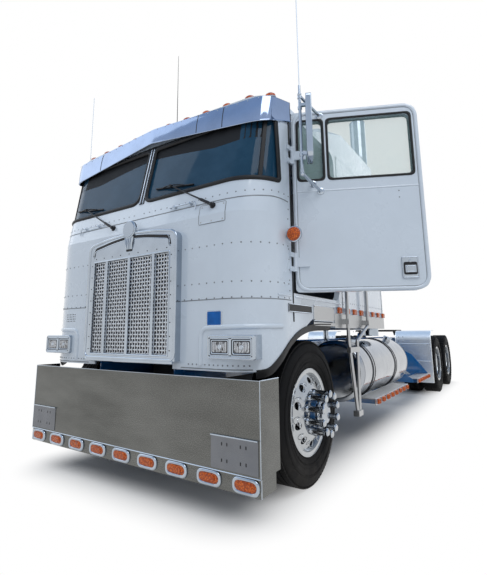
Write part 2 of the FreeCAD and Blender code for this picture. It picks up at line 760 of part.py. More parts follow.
# Steer axle: dropped beam, leaf springs and their hangers
boss_low, boss_high = hub_high - d.steer_boss_half, hub_high + d.steer_boss_half
beam_top = hub_high - d.beam_drop + d.beam_deep / 2
beam = pad(
    "beam",
    "XZ",
    [
        (-d.kingpin_steer, hub_high - d.beam_deep / 2),
        (-d.beam_flat_half - d.beam_drop, hub_high - d.beam_deep / 2, d.beam_deep),
        (-d.beam_flat_half, beam_top - d.beam_deep, d.beam_deep),
        (d.beam_flat_half, beam_top - d.beam_deep, d.beam_deep),
        (d.beam_flat_half + d.beam_drop, hub_high - d.beam_deep / 2, d.beam_deep),
        (d.kingpin_steer, hub_high - d.beam_deep / 2),
        (d.kingpin_steer, hub_high + d.beam_deep / 2),
        (d.beam_flat_half + d.beam_drop, hub_high + d.beam_deep / 2, d.beam_deep),
        (d.beam_flat_half, beam_top, d.beam_deep),
        (-d.beam_flat_half, beam_top, d.beam_deep),
        (-d.beam_flat_half - d.beam_drop, hub_high + d.beam_deep / 2, d.beam_deep),
        (-d.kingpin_steer, hub_high + d.beam_deep / 2),
    ],
    d.beam_wide,
    at=(0, axle - d.beam_wide / 2, 0),
)
axle_parts = [beam]
eye_z = frame_low - d.spring_tip * 2
leaf = pad(
    "leaf",
    "YZ",
    [
        (axle - d.spring_ahead, eye_z - d.spring_tip),
        (axle - d.spring_ahead / 2, (eye_z + beam_top) / 2 - d.spring_tip, d.spring_ahead / 2),
        (axle - d.beam_wide, beam_top, d.beam_wide / 2),
        (axle + d.beam_wide, beam_top, d.beam_wide / 2),
        (axle + d.spring_behind / 2, (eye_z + beam_top) / 2 - d.spring_tip, d.spring_ahead / 2),
        (axle + d.spring_behind, eye_z - d.spring_tip),
        (axle + d.spring_behind, eye_z),
        (axle + d.beam_wide * 2, beam_top + d.spring_stack, d.spring_ahead / 2),
        (axle - d.beam_wide * 2, beam_top + d.spring_stack, d.spring_ahead / 2),
        (axle - d.spring_ahead, eye_z),
    ],
    d.spring_wide,
    at=(d.spring_off - d.spring_wide / 2, 0, 0),
)
clamp = box(
    "clamp",
    (d.spring_off - d.spring_wide * 0.6, axle - d.beam_wide / 2, beam_top - d.beam_deep / 2),
    (d.spring_off + d.spring_wide * 0.6, axle + d.beam_wide / 2, beam_top + d.spring_stack + d.spring_tip),
)
spring_parts = [leaf, clamp]
for spot in (axle - d.spring_ahead - d.hanger_long / 2, axle + d.spring_behind - d.hanger_long / 2):
    spring_parts.append(
        pad(
            "hanger",
            "YZ",
            [
                (spot, frame_low + d.frame_deep / 3),
                (spot, eye_z),
                (spot + d.hanger_long / 4, eye_z - d.spring_tip * 2, d.spring_tip / 2),
                (spot + d.hanger_long * 3 / 4, eye_z - d.spring_tip * 2, d.spring_tip / 2),
                (spot + d.hanger_long, eye_z),
                (spot + d.hanger_long, frame_low + d.frame_deep / 3),
            ],
            d.spring_off + d.spring_wide * 0.6 - d.frame_half - d.seat_gap,
            at=(d.frame_half + d.seat_gap, 0, 0),
        )
    )
spring = join("spring", spring_parts)
axle_parts += [spring, mirror("spring_right", spring)]
boss = rod("boss", (d.kingpin_steer, axle, boss_low), d.steer_boss, d.steer_boss_half * 2)
pin_up = rod(
    "steer_pin",
    (d.kingpin_steer, axle, boss_low - d.steer_ear),
    d.steer_pin,
    d.steer_boss_half * 2 + d.steer_ear * 2,
)
axle_parts += [boss, mirror("boss_right", boss), pin_up, mirror("steer_pin_right", pin_up)]
node("front_axle", join("front_axle", axle_parts))

# Knuckles: two ears on the steering pin, a web, the spindle and a steering arm
ear_gap = d.seat_gap
ear_low = boss_low - d.steer_ear
ear_high = boss_high + ear_gap
knuckle_solid = [
    rod("ear", (d.kingpin_steer, axle, ear_low), d.steer_boss, d.steer_ear - ear_gap),
    rod("ear", (d.kingpin_steer, axle, ear_high), d.steer_boss, d.steer_ear - ear_gap),
    box(
        "shelf",
        (d.kingpin_steer, axle - d.steer_boss, ear_low),
        (d.kingpin_steer + d.steer_web_off, axle + d.steer_boss, boss_low - ear_gap),
    ),
    box(
        "shelf",
        (d.kingpin_steer, axle - d.steer_boss, ear_high),
        (d.kingpin_steer + d.steer_web_off, axle + d.steer_boss, boss_high + d.steer_ear),
    ),
    box(
        "web",
        (d.kingpin_steer + d.steer_web_off - d.steer_web, axle - d.steer_boss, ear_low),
        (d.kingpin_steer + d.steer_web_off, axle + d.steer_boss, boss_high + d.steer_ear),
    ),
    rod("spindle", (d.kingpin_steer + d.steer_web_off - d.steer_web, axle, hub_high), d.spindle,
        steer_bolt + d.hub_out / 2 - d.kingpin_steer - d.steer_web_off + d.steer_web, "X"),
    box(
        "arm",
        (d.kingpin_steer - d.steer_arm_wide, axle, ear_low),
        (d.kingpin_steer, axle + d.steer_arm_long, ear_low + d.steer_arm_wide),
    ),
]
pin_hole = rod(
    "pin_hole",
    (d.kingpin_steer, axle, ear_low - d.over),
    d.steer_pin + d.running,
    d.steer_boss_half * 2 + d.steer_ear * 2 + d.over * 2,
)
arm_clear = rod("arm_clear", (d.kingpin_steer, axle, boss_low - ear_gap), d.steer_boss + d.steer_web_off / 4,
                d.steer_boss_half * 2 + ear_gap * 2)
knuckle_left = cut("knuckle", join("knuckle_body", knuckle_solid), [pin_hole, arm_clear])
node("knuckle_left", knuckle_left)
node("knuckle_right", mirror("knuckle_mirror", knuckle_left))


def tyre(label, mid):
    """A tyre about the X axis, from its section."""
    half = d.tyre_wide / 2
    return turned(
        label,
        [
            (-half + d.tyre_bulge * 2, d.rim_seat),
            (-half + d.tyre_bulge * 2, d.rim_radius + d.seat_gap),
            (-half + d.tyre_bulge, d.rim_radius + d.rim_skin),
            (-half, (d.rim_radius + d.tyre_radius) / 2, d.tyre_radius / 4),
            (-half + d.tyre_bulge / 2, d.tyre_radius - d.tyre_crown - d.tyre_shoulder),
            (-half + d.tyre_shoulder, d.tyre_radius - d.tyre_crown / 4),
            (0, d.tyre_radius),
            (half - d.tyre_shoulder, d.tyre_radius - d.tyre_crown / 4),
            (half - d.tyre_bulge / 2, d.tyre_radius - d.tyre_crown - d.tyre_shoulder),
            (half, (d.rim_radius + d.tyre_radius) / 2, d.tyre_radius / 4),
            (half - d.tyre_bulge, d.rim_radius + d.rim_skin),
            (half - d.tyre_bulge * 2, d.rim_radius + d.seat_gap),
            (half - d.tyre_bulge * 2, d.rim_seat),
        ],
        at=mid,
    )


def rim(label, mid):
    """A rim's hoop: flanges, bead seats and a dropped well."""
    half = d.tyre_wide / 2 - d.rim_inset
    skin = d.rim_skin
    lip = d.tyre_bulge * 2 - d.rim_inset - d.seat_gap
    return turned(
        label,
        [
            (-half, d.rim_radius),
            (-half, d.rim_seat - skin),
            (-half / 2, d.rim_seat - skin, skin * 2),
            (-half / 3, d.rim_well - skin, skin * 2),
            (half / 3, d.rim_well - skin, skin * 2),
            (half / 2, d.rim_seat - skin, skin * 2),
            (half, d.rim_seat - skin),
            (half, d.rim_radius),
            (half - lip / 2, d.rim_radius),
            (half - lip / 2, d.rim_seat - d.seat_gap),
            (half / 2, d.rim_seat - d.seat_gap, skin * 2),
            (half / 3, d.rim_well, skin * 2),
            (-half / 3, d.rim_well, skin * 2),
            (-half / 2, d.rim_seat - d.seat_gap, skin * 2),
            (-half + lip / 2, d.rim_seat - d.seat_gap),
            (-half + lip / 2, d.rim_radius),
        ],
        at=mid,
    )


LUGS = 10


def holed(body):
    """Hand holes through a wheel disc, patterned about its axis."""
    sketch = body.newObject("Sketcher::SketchObject", fresh("hole"))
    support = next(f for f in body.Origin.OriginFeatures if f.Role == "YZ_Plane")
    sketch.AttachmentSupport = [(support, "")]
    sketch.MapMode = "FlatFace"
    ring = Part.Circle(FreeCAD.Vector(0, float(d.hand_circle), 0), FreeCAD.Vector(0, 0, 1), float(d.hand_hole))
    sketch.addGeometry(ring, False)
    k = sketch.addConstraint(Sketcher.Constraint("Radius", 0, float(d.hand_hole)))
    sketch.setExpression(f"Constraints[{k}]", d.hand_hole.text)
    sketch.addConstraint(Sketcher.Constraint("PointOnObject", 0, 3, -2))
    k = sketch.addConstraint(Sketcher.Constraint("DistanceY", -1, 1, 0, 3, float(d.hand_circle)))
    sketch.setExpression(f"Constraints[{k}]", d.hand_circle.text)
    pocket = body.newObject("PartDesign::Pocket", fresh("hand"))
    pocket.Profile = sketch
    pocket.Type = "ThroughAll"
    pocket.Midplane = True
    ring_of = body.newObject("PartDesign::PolarPattern", fresh("ring"))
    ring_of.Originals = [pocket]
    axis = next(f for f in body.Origin.OriginFeatures if f.Role == "X_Axis")
    ring_of.Axis = (axis, [""])
    ring_of.Angle = 360
    ring_of.Occurrences = LUGS
    body.Tip = ring_of
    return body


def lugs(label, bolt_x, long, out):
    """Lug covers round a bolt face: a foot, a waist and a flared tip."""
    parts = []
    for k in range(LUGS):
        angle = 360 * (k + 0.5) / LUGS
        y = d.bolt_circle * math.cos(math.radians(angle))
        z = d.bolt_circle * math.sin(math.radians(angle))
        parts.append(
            turned(
                label,
                [
                    (-d.rim_skin * 0.5, 0),
                    (-d.rim_skin * 0.5, d.lug_base),
                    (d.lug_foot, d.lug_base * 0.9),
                    (d.lug_foot * 1.5, d.lug_waist * 1.2),
                    (long - d.lug_head, d.lug_waist),
                    (long - d.lug_head / 2, d.lug_tip),
                    (long, d.lug_tip * 0.8),
                    (long, 0),
                ],
                at=(bolt_x, out[0] + y, out[1] + z),
            )
        )
    return parts


def steer_wheel():
    """Rim, dished disc with hand holes, hub, lug covers and brake drum."""
    at = (0, axle, hub_high)
    mid = (steer_mid, axle, hub_high)
    edge = steer_mid + d.tyre_wide / 2 - d.rim_inset * 2.2
    bore = d.spindle + d.running
    disc = turned(
        "disc",
        [
            (steer_bolt - d.disc_skin, d.hub_radius),
            (steer_bolt - d.disc_skin, d.bolt_face, d.disc_skin),
            (edge - d.disc_skin, d.rim_well + d.rim_skin, d.disc_skin),
            (edge - d.disc_skin, d.rim_seat - d.rim_skin / 2),
            (edge, d.rim_seat - d.rim_skin / 2),
            (edge + d.disc_skin / 3, d.rim_well, d.disc_skin),
            (steer_bolt, d.bolt_face, d.disc_skin),
            (steer_bolt, d.hub_radius),
        ],
        at=at,
    )
    holed(disc)
    drum_in = steer_bolt - d.drum_deep
    hub = turned(
        "hub",
        [
            (drum_in + d.drum_skin * 2, bore),
            (drum_in + d.drum_skin * 2, d.hub_radius * 0.8),
            (steer_bolt - d.disc_skin - d.drum_skin, d.hub_radius * 0.8),
            (steer_bolt - d.disc_skin - d.drum_skin, d.drum_radius - d.drum_skin, d.drum_skin / 2),
            (drum_in - d.drum_deep / 4, d.drum_radius - d.drum_skin),
            (drum_in - d.drum_deep / 4, d.drum_radius),
            (steer_bolt - d.disc_skin, d.drum_radius, d.drum_skin / 2),
            (steer_bolt - d.disc_skin, d.bolt_face),
            (steer_bolt, d.bolt_face * 0.98),
            (steer_bolt, d.hub_radius, d.drum_skin / 2),
            (steer_bolt + d.hub_out - d.hub_cap_deep, d.hub_radius * 0.92, d.drum_skin / 2),
            (steer_bolt + d.hub_out - d.hub_cap_deep, d.hub_cap),
            (steer_bolt + d.hub_out, d.hub_cap * 0.9, d.hub_cap_deep / 4),
            (steer_bolt + d.hub_out, 0),
            (steer_bolt + d.hub_out / 2 + d.seat_gap, 0),
            (steer_bolt + d.hub_out / 2 + d.seat_gap, bore),
        ],
        at=at,
    )
    parts = [rim("rim", mid), disc, hub] + lugs("lug", steer_bolt, d.lug_long, (axle, hub_high))
    return join("steer_wheel", parts)


def drive_wheel(spot):
    """Two rims on one hub, a drum, and lug covers over the outer disc."""
    at = (0, spot, hub_high)
    outer = (drive_mid, spot, hub_high)
    inner = (drive_mid - d.twin_pitch, spot, hub_high)
    bore = d.axle_tube * 0.8 + d.running
    edge = drive_mid - d.rim_inset * 3
    inner_edge = drive_mid - d.twin_pitch + d.rim_inset * 3
    middle = drive_bolt - d.disc_skin
    seat = d.rim_seat - d.rim_skin / 2
    disc = turned(
        "disc",
        [
            (middle, d.hub_radius),
            (middle, d.bolt_face, d.disc_skin),
            (edge - d.disc_skin, d.rim_well - d.rim_skin, d.disc_skin),
            (edge - d.disc_skin, seat),
            (edge, seat),
            (edge, d.rim_well - d.rim_skin * 2, d.disc_skin),
            (drive_bolt, d.bolt_face, d.disc_skin),
            (drive_bolt, d.hub_radius),
        ],
        at=at,
    )
    holed(disc)
    inner_disc = turned(
        "inner_disc",
        [
            (middle - d.disc_skin, d.hub_radius),
            (middle - d.disc_skin, d.bolt_face, d.disc_skin),
            (inner_edge, d.rim_well - d.rim_skin * 2, d.disc_skin),
            (inner_edge, seat),
            (inner_edge + d.disc_skin, seat),
            (inner_edge + d.disc_skin, d.rim_well - d.rim_skin, d.disc_skin),
            (middle, d.bolt_face, d.disc_skin),
            (middle, d.hub_radius),
        ],
        at=at,
    )
    drum_in = drive_bolt - d.drum_deep * 1.6
    hub = turned(
        "hub",
        [
            (drum_in, bore),
            (drum_in, d.hub_radius),
            (drive_bolt - d.disc_skin * 2 - d.drum_skin, d.hub_radius),
            (drive_bolt - d.disc_skin * 2 - d.drum_skin, d.drum_radius - d.drum_skin * 2),
            (drum_in, d.drum_radius - d.drum_skin * 2),
            (drum_in, d.drum_radius - d.drum_skin),
            (drive_bolt - d.disc_skin * 2, d.drum_radius - d.drum_skin * 1.8),
            (drive_bolt, d.hub_radius * 0.95),
            (drive_bolt + d.drive_hub_out, d.hub_radius * 0.9, d.drum_skin / 2),
            (drive_bolt + d.drive_hub_out, 0),
            (drive_bolt + d.seat_gap, 0),
            (drive_bolt + d.seat_gap, bore),
        ],
        at=at,
    )
    parts = [rim("rim", outer), rim("rim", inner), disc, inner_disc, hub]
    parts += lugs("lug", drive_bolt, d.drive_lug_long, (spot, hub_high))
    return join("drive_wheel", parts)


steer_tyre = tyre("steer_tyre", (steer_mid, axle, hub_high))
node("tyre_front_left", steer_tyre)
node("tyre_front_right", mirror("tyre_front_right", steer_tyre))
front_wheel = steer_wheel()
node("wheel_front_left", front_wheel)
node("wheel_front_right", mirror("wheel_front_right", front_wheel))
for place, spot in (("middle", drive_one), ("rear", drive_two)):
    twins = group(
        "twins",
        [
            tyre("twin", (drive_mid, spot, hub_high)),
            tyre("twin", (drive_mid - d.twin_pitch, spot, hub_high)),
        ],
    )
    node(f"tyres_{place}_left", twins)
    node(f"tyres_{place}_right", mirror("twins_right", twins))
    wheel = drive_wheel(spot)
    node(f"wheels_{place}_left", wheel)
    node(f"wheels_{place}_right", mirror("wheel_right", wheel))

# Drive axles: housings, bowls and noses, with equaliser beams and their saddles
housing_end = drive_bolt - d.drum_deep * 1.6 - d.door_gap
drive_parts = []
for spot in (drive_one, drive_two):
    drive_parts += [
        rod("housing", (-housing_end, spot, hub_high), d.axle_tube, housing_end * 2, "X"),
        rod("stub", (-drive_bolt, spot, hub_high), d.axle_tube * 0.8, drive_bolt * 2, "X"),
        turned(
            "bowl",
            [
                (-d.axle_bowl_half * 1.6, 0),
                (-d.axle_bowl_half * 1.6, d.axle_tube),
                (-d.axle_bowl_half * 0.7, d.axle_bowl, d.axle_bowl / 3),
                (d.axle_bowl_half * 0.7, d.axle_bowl, d.axle_bowl / 3),
                (d.axle_bowl_half * 1.6, d.axle_tube),
                (d.axle_bowl_half * 1.6, 0),
            ],
            at=(0, spot, hub_high),
        ),
        turned(
            "nose",
            [
                (-d.axle_bowl * 2, 0),
                (-d.axle_bowl * 2, d.axle_tube),
                (0, d.axle_bowl_half),
                (0, 0),
            ],
            at=(0, spot, hub_high),
            axis="Y",
        ),
    ]
beam_high = hub_high - d.axle_tube * 0.6
saddle_y = (drive_one + drive_two) / 2
for side in (-1, 1):
    inner = d.saddle_off - d.spring_wide / 2
    left = inner if side > 0 else -inner - d.spring_wide
    drive_parts.append(
        pad(
            "equaliser",
            "YZ",
            [
                (drive_one - d.axle_tube * 1.5, beam_high),
                (drive_one - d.axle_tube, beam_high - d.beam_deep, d.axle_tube / 2),
                (saddle_y, beam_high - d.beam_deep * 2, d.axle_bowl),
                (drive_two + d.axle_tube, beam_high - d.beam_deep, d.axle_tube / 2),
                (drive_two + d.axle_tube * 1.5, beam_high),
                (saddle_y, beam_high - d.beam_deep / 2, d.axle_bowl),
            ],
            d.spring_wide,
            at=(left, 0, 0),
        )
    )
    low = d.frame_half + d.seat_gap
    far = d.saddle_off + d.spring_wide / 2
    lo, hi = (low, far) if side > 0 else (-far, -low)
    drive_parts.append(
        pad(
            "saddle",
            "YZ",
            [
                (saddle_y - d.member_wide / 2, beam_high - d.beam_deep),
                (saddle_y + d.member_wide / 2, beam_high - d.beam_deep),
                (saddle_y + d.member_wide * 1.6, frame_high - d.rail_skin * 2, d.member_wide / 4),
                (saddle_y - d.member_wide * 1.6, frame_high - d.rail_skin * 2, d.member_wide / 4),
            ],
            hi - lo,
            at=(lo, 0, 0),
        )
    )

# Engine as one plain block, with its gearbox and the propeller shaft
shaft_z = ground + d.engine_low + d.gearbox_radius
gearbox_end = engine_end + d.gearbox_long
nose_y = drive_one - d.axle_bowl * 2 - d.seat_gap
engine = join(
    "engine",
    [
        box(
            "block",
            (-d.engine_half, engine_front, ground + d.engine_low),
            (d.engine_half, engine_end, ground + d.engine_low + d.engine_high),
        ),
        turned(
            "gearbox",
            [
                (-d.over, 0),
                (-d.over, d.gearbox_radius * 1.1),
                (d.gearbox_long * 0.2, d.gearbox_radius * 0.9),
                (d.gearbox_long, d.gearbox_radius * 0.8, d.rock_pin),
                (d.gearbox_long, 0),
            ],
            at=(0, engine_end, shaft_z),
            axis="Y",
        ),
    ],
)
node("engine_block", engine)
shaft_y = gearbox_end + d.seat_gap + d.shaft_radius * ((shaft_z - hub_high) / (nose_y - gearbox_end))
shaft = strut("shaft", (0, shaft_y, shaft_z), (0, nose_y + d.over, hub_high), d.shaft_radius)
node("drive_axles", join("drive_axles", drive_parts + [shaft]))
radiator = box(
    "core",
    (-d.radiator_half, axle - d.radiator_ahead, frame_high + d.seat_gap),
    (d.radiator_half, axle - d.radiator_ahead + d.radiator_deep, frame_high + d.radiator_high),
)
node("radiator", radiator)

# Fuel tanks with their straps; cradles, step bars and gussets on the frame
tank_y = axle + d.tank_front
tank_z = ground + d.tank_axis
tank_parts = [
    turned(
        "tank",
        [
            (0, 0),
            (0, d.tank_radius, d.tank_round),
            (d.tank_long, d.tank_radius, d.tank_round),
            (d.tank_long, 0),
        ],
        at=(d.tank_off, tank_y, tank_z),
        axis="Y",
    )
]
STRAP_SHARES = (0.18, 0.65)
for share in STRAP_SHARES:
    tank_parts.append(
        rod(
            "strap",
            (d.tank_off, tank_y + d.tank_long * share - d.strap_wide / 2, tank_z),
            d.tank_radius + d.strap_skin,
            d.strap_wide,
            "Y",
        )
    )
tank_left = join("tank_left", tank_parts)
node("fuel_tanks", group("tanks", [tank_left, mirror("tank_right", tank_left)]))
bar_low = ground + d.step_high - d.step_skin - d.strap_wide * 0.9
bar_high = bar_low + d.strap_wide * 0.6
board_in = d.step_half - d.step_wide
cradle_spots = [tank_y + d.tank_long * share - d.strap_wide / 2 for share in STRAP_SHARES]
rear_spots = [axle + d.step_split_back + d.strap_wide, axle + d.step_back - d.strap_wide * 2]
for spot in cradle_spots + rear_spots:
    arm = pad(
        "cradle",
        "XZ",
        [
            (d.frame_half, bar_low),
            (d.step_half - d.step_skin * 4, bar_low, d.strap_wide / 4),
            (d.step_half - d.step_skin * 4, ground + d.step_high - d.step_skin - d.seat_gap),
            (board_in, ground + d.step_high - d.step_skin - d.seat_gap),
            (board_in, bar_high),
            (d.tank_off, bar_high + d.over if spot in cradle_spots else bar_high),
            (d.tank_off - d.tank_radius * 0.8, tank_z - d.tank_radius * 0.4 if spot in cradle_spots else bar_high),
            (d.frame_half + d.strap_wide, frame_high - d.frame_deep / 4, d.strap_wide / 2),
            (d.frame_half, frame_high - d.rail_skin * 2),
        ],
        d.strap_wide,
        at=(0, spot, 0),
    )
    if spot in cradle_spots:
        hollow = rod(
            "hollow",
            (d.tank_off, spot - d.over, tank_z),
            d.tank_radius + d.strap_skin + d.seat_gap,
            d.strap_wide + d.over * 2,
            "Y",
        )
        arm = cut("cradle_cut", arm, [hollow])
    frame_parts += [arm, mirror("cradle_right", arm)]
plate_low = bar_low + d.step_skin
for spot, rise, reach in (
    (axle + d.step_split_back - d.strap_skin * 3, d.step_lip * 2, d.step_half - d.strap_wide),
    (axle + d.step_back + d.strap_skin, d.step_wide * 1.6, d.step_half - d.strap_skin * 2),
):
    end_plate = pad(
        "end_plate",
        "XZ",
        [
            (d.frame_half - d.rail_skin / 2, frame_high - d.frame_deep + d.rail_skin),
            (board_in - d.strap_wide, plate_low),
            (reach, plate_low),
            (reach, ground + d.step_high - d.strap_skin),
            (board_in - d.strap_wide, ground + d.step_high + rise),
            (d.frame_half - d.rail_skin / 2, frame_high - d.rail_skin * 2),
        ],
        d.strap_skin * 2,
        at=(0, spot, 0),
    )
    frame_parts += [end_plate, mirror("end_plate_right", end_plate)]
node("frame_rails", join("frame", frame_parts))

# Running boards with an outer lip and a row of amber lamps
boards = []
lamp_half = d.side_lamp / 2
BOARD_LAMPS = 8
for first, last, lamps in (
    (d.step_front, d.step_split_front, BOARD_LAMPS),
    (d.step_split_back, d.step_back, BOARD_LAMPS - 2),
):
    board_z = ground + d.step_high
    board = pad(
        "board",
        "XZ",
        [
            (board_in, board_z),
            (board_in, board_z - d.step_skin),
            (d.step_half - d.step_skin, board_z - d.step_skin),
            (d.step_half - d.step_skin, board_z - d.step_lip),
            (d.step_half, board_z - d.step_lip),
            (d.step_half, board_z),
        ],
        last - first,
        at=(0, axle + first, 0),
    )
    boards += [board, mirror("board_right", board)]
    for k in range(lamps):
        share = (k + 0.5) / lamps
        spot = axle + first + (last - first) * share
        low_z = board_z - (d.step_lip + d.side_lamp_high) / 2
        lamp = box(
            "amber",
            (d.step_half + d.seat_gap, spot - lamp_half, low_z),
            (d.step_half + d.seat_gap + d.side_lamp_deep, spot + lamp_half, low_z + d.side_lamp_high),
        )
        chassis_lamps += [lamp, mirror("amber_right", lamp)]
node("running_boards", group("boards", boards))
node("chassis_lamps", group("chassis_lamps", chassis_lamps))

# Quarter fenders ahead of the drive wheels
qf, qb = axle + d.quarter_front, axle + d.quarter_back
qt, ql = ground + d.quarter_top, ground + d.quarter_low
quarter = pad(
    "quarter",
    "YZ",
    [
        (qb, qt),
        (qf, qt, d.quarter_round),
        (qf, ql),
        (qf + d.quarter_skin, ql),
        (qf + d.quarter_skin, qt - d.quarter_skin, d.quarter_round - d.quarter_skin),
        (qb, qt - d.quarter_skin),
    ],
    d.drive_track_out - d.quarter_in,
    at=(d.quarter_in, 0, 0),
)
brace = rod(
    "brace",
    (
        d.frame_half + d.seat_gap,
        qf + d.quarter_skin / 2 + d.ladder_tube,
        frame_high - d.frame_deep / 2,
    ),
    d.ladder_tube,
    d.drive_track_out - d.frame_half - d.quarter_round,
    "X",
)
quarter_left = join("quarter_left", [quarter, brace])
node("quarter_fenders", group("quarters", [quarter_left, mirror("quarter_right", quarter_left)]))

# Exhaust stacks on a frame behind the cab
stack_y = axle + d.stack_at
stack_z = ground + d.stack_low
stack = turned(
    "stack",
    [
        (0, 0),
        (0, d.stack_radius),
        (d.stack_top - d.stack_low, d.stack_radius),
        (d.stack_top - d.stack_low, d.stack_radius - d.stack_skin),
        (d.stack_radius, d.stack_radius - d.stack_skin),
        (d.stack_radius, 0),
    ],
    at=(d.stack_off, stack_y, stack_z),
    axis="Z",
)
post_x = d.frame_half - d.flange_wide / 2
post_top = ground + d.roof_side_high - d.stack_radius * 4
post = rod(
    "post",
    (post_x, stack_y, frame_high + d.seat_gap),
    d.stack_post,
    post_top - frame_high,
)
low_bar = stack_z + d.stack_radius
stack_parts = [stack, mirror("stack_right", stack), post, mirror("post_right", post)]
for z in (low_bar, post_top - d.stack_radius):
    stack_parts.append(
        rod(
            "bar",
            (-d.stack_off + d.stack_radius - d.stack_skin / 2, stack_y, z),
            d.stack_post * 0.7,
            (d.stack_off - d.stack_radius + d.stack_skin / 2) * 2,
            "X",
        )
    )
node("exhaust_stacks", join("stacks", stack_parts))

# Fifth wheel plate: a ramped plate with a throat, rocking on two pins
plate = pad(
    "plate",
    "XY",
    [
        (-d.plate_half * 0.62, -d.plate_ahead, d.plate_ahead / 3),
        (d.plate_half * 0.62, -d.plate_ahead, d.plate_ahead / 3),
        (d.plate_half, -d.plate_ahead / 4, d.plate_ahead / 3),
        (d.plate_half, d.plate_behind * 0.45, d.plate_ahead / 5),
        (d.throat_flare + d.plate_half / 5, d.plate_behind, d.plate_ahead / 8),
        (-d.throat_flare - d.plate_half / 5, d.plate_behind, d.plate_ahead / 8),
        (-d.plate_half, d.plate_behind * 0.45, d.plate_ahead / 5),
        (-d.plate_half, -d.plate_ahead / 4, d.plate_ahead / 3),
    ],
    d.plate_skin,
    at=(0, 0, -d.plate_skin),
)
slot_half = d.throat * 0.92
mouth = pad(
    "mouth",
    "XY",
    [
        (-slot_half, 0),
        (slot_half, 0),
        (slot_half, d.throat_long),
        (d.throat_flare, d.plate_behind + d.over),
        (-d.throat_flare, d.plate_behind + d.over),
        (-slot_half, d.throat_long),
    ],
    d.plate_skin + d.over * 2,
    at=(0, 0, -d.plate_skin - d.over),
)
bore = rod("bore", (0, 0, -d.plate_skin - d.over), d.throat, d.plate_skin + d.over * 2)
plate = cut("plate_cut", plate, [mouth, bore])
ear = pad(
    "ear",
    "YZ",
    [
        (-d.rock_pin * 6, -d.plate_skin),
        (-d.rock_pin * 1.8, -d.rock_low - d.rock_pin * 1.5, d.rock_pin),
        (d.rock_pin * 1.8, -d.rock_low - d.rock_pin * 1.5, d.rock_pin),
        (d.rock_pin * 6, -d.plate_skin),
    ],
    d.rock_ear,
    at=(d.rock_ear_off, 0, 0),
)
ear_hole = rod("ear_hole", (d.rock_ear_off - d.over, 0, -d.rock_low), d.rock_pin + d.running,
               d.rock_ear + d.over * 2, "X")
ear = cut("ear_cut", ear, [ear_hole])
node("fifth_wheel_plate", join("fifth_wheel", [plate, ear, mirror("ear_right", ear)]))


def common(label, base, tool):
    thing = doc.addObject("Part::Common", fresh(label))
    thing.Base = base
    thing.Tool = tool
    return thing


cab_foot = ground + d.cab_low
belt_z = ground + d.cab_belt
top_z = ground + d.cab_top


CORNER_SHARE = 0.6


def cab_plan(inset, high):
    """The cab's plan, set in from its outer face, at a height."""
    lean = d.lean_back * ((high - belt_z) / (top_z - belt_z)) if float(high) > float(belt_z) else size(0)
    half = d.cab_half - inset
    front = front_face + inset + lean
    back = rear_face - inset
    turn = d.corner_round - inset - lean * CORNER_SHARE
    return [(-half, back), (-half, front, turn), (half, front, turn), (half, back)]


def cab_form(label, inset, low, high):
    """The cab's outer form set in by a distance, between two heights."""
    levels = [low]
    if float(low) < float(belt_z) < float(high):
        levels.append(belt_z)
    levels.append(high)
    return lofted(label, [(level, cab_plan(inset, level)) for level in levels])


# Cab walls: one form, hollowed, then parted where the real panels meet
outer_form = cab_form("cab_outer", size(0), cab_foot, top_z)
inner_form = cab_form("cab_inner", d.cab_wall, cab_foot - d.over, top_z + d.over)
walls = cut("walls", outer_form, [inner_form])
split_y = door_y - d.door_gap
far = d.cab_half + d.over
front_zone = box(
    "front_zone",
    (-far, front_face - d.over, cab_foot - d.over),
    (far, split_y, top_z + d.over),
)
ARCH_Y_SHARES = (-1.343, -1.343, -1.213, -0.963, -0.446, -0.074, 0.63, 0.75, 4.2, 4.2)
ARCH_Z_SHARES = (1.4, 1.639, 1.687, 1.887, 2.13, 2.315, 2.394, 2.1944, 2.1944, 1.4)
ARCH_TURN_SHARES = (0, 0, 0.3, 0.5, 0.5, 0.5, 0.12, 0.1, 0, 0)


def arch_corners():
    corners = []
    for y_share, z_share, turn_share in zip(ARCH_Y_SHARES, ARCH_Z_SHARES, ARCH_TURN_SHARES):
        y = axle + d.tyre_radius * y_share
        z = ground + d.tyre_radius * z_share
        corners.append((y, z, d.tyre_radius * turn_share) if turn_share else (y, z))
    return corners


arch = pad("arch", "YZ", arch_corners(), far * 2, at=(0, 0, 0), centred=True)
glass_z = ground + d.glass_low
glass_cuts = []
for side in (-1, 1):
    glass_cuts.append(
        pad(
            "glass_cut",
            "XZ",
            [
                (d.pillar_half * side, glass_z, d.glass_corner),
                (far * side, glass_z),
                (far * side, ground + d.glass_top),
                (d.pillar_half * side, ground + d.glass_top, d.glass_corner / 2),
            ],
            d.cab_front - d.glass_wrap_back + d.over,
            at=(0, front_face - d.over, 0),
        )
    )
grille_in = d.grille_half - d.grille_band
grille_cut = box(
    "grille_cut",
    (-grille_in, front_face - d.over, cab_foot - d.over),
    (grille_in, front_face + d.cab_wall + d.over, ground + d.grille_shoulder - d.grille_head / 2),
)
arm_in = d.frame_half + d.tilt_gap
arm_out = arm_in + d.sill_wide
notch = box(
    "notch",
    (arm_in - d.tilt_gap, tilt_y - d.tilt_eye - d.tilt_gap, cab_foot - d.over),
    (arm_out + d.tilt_gap, front_face + d.cab_wall + d.over, ground + d.floor_top),
)
front_panel = cut(
    "front",
    common("front_part", walls, front_zone),
    [arch, grille_cut, notch, mirror("notch_right", notch)] + glass_cuts,
)

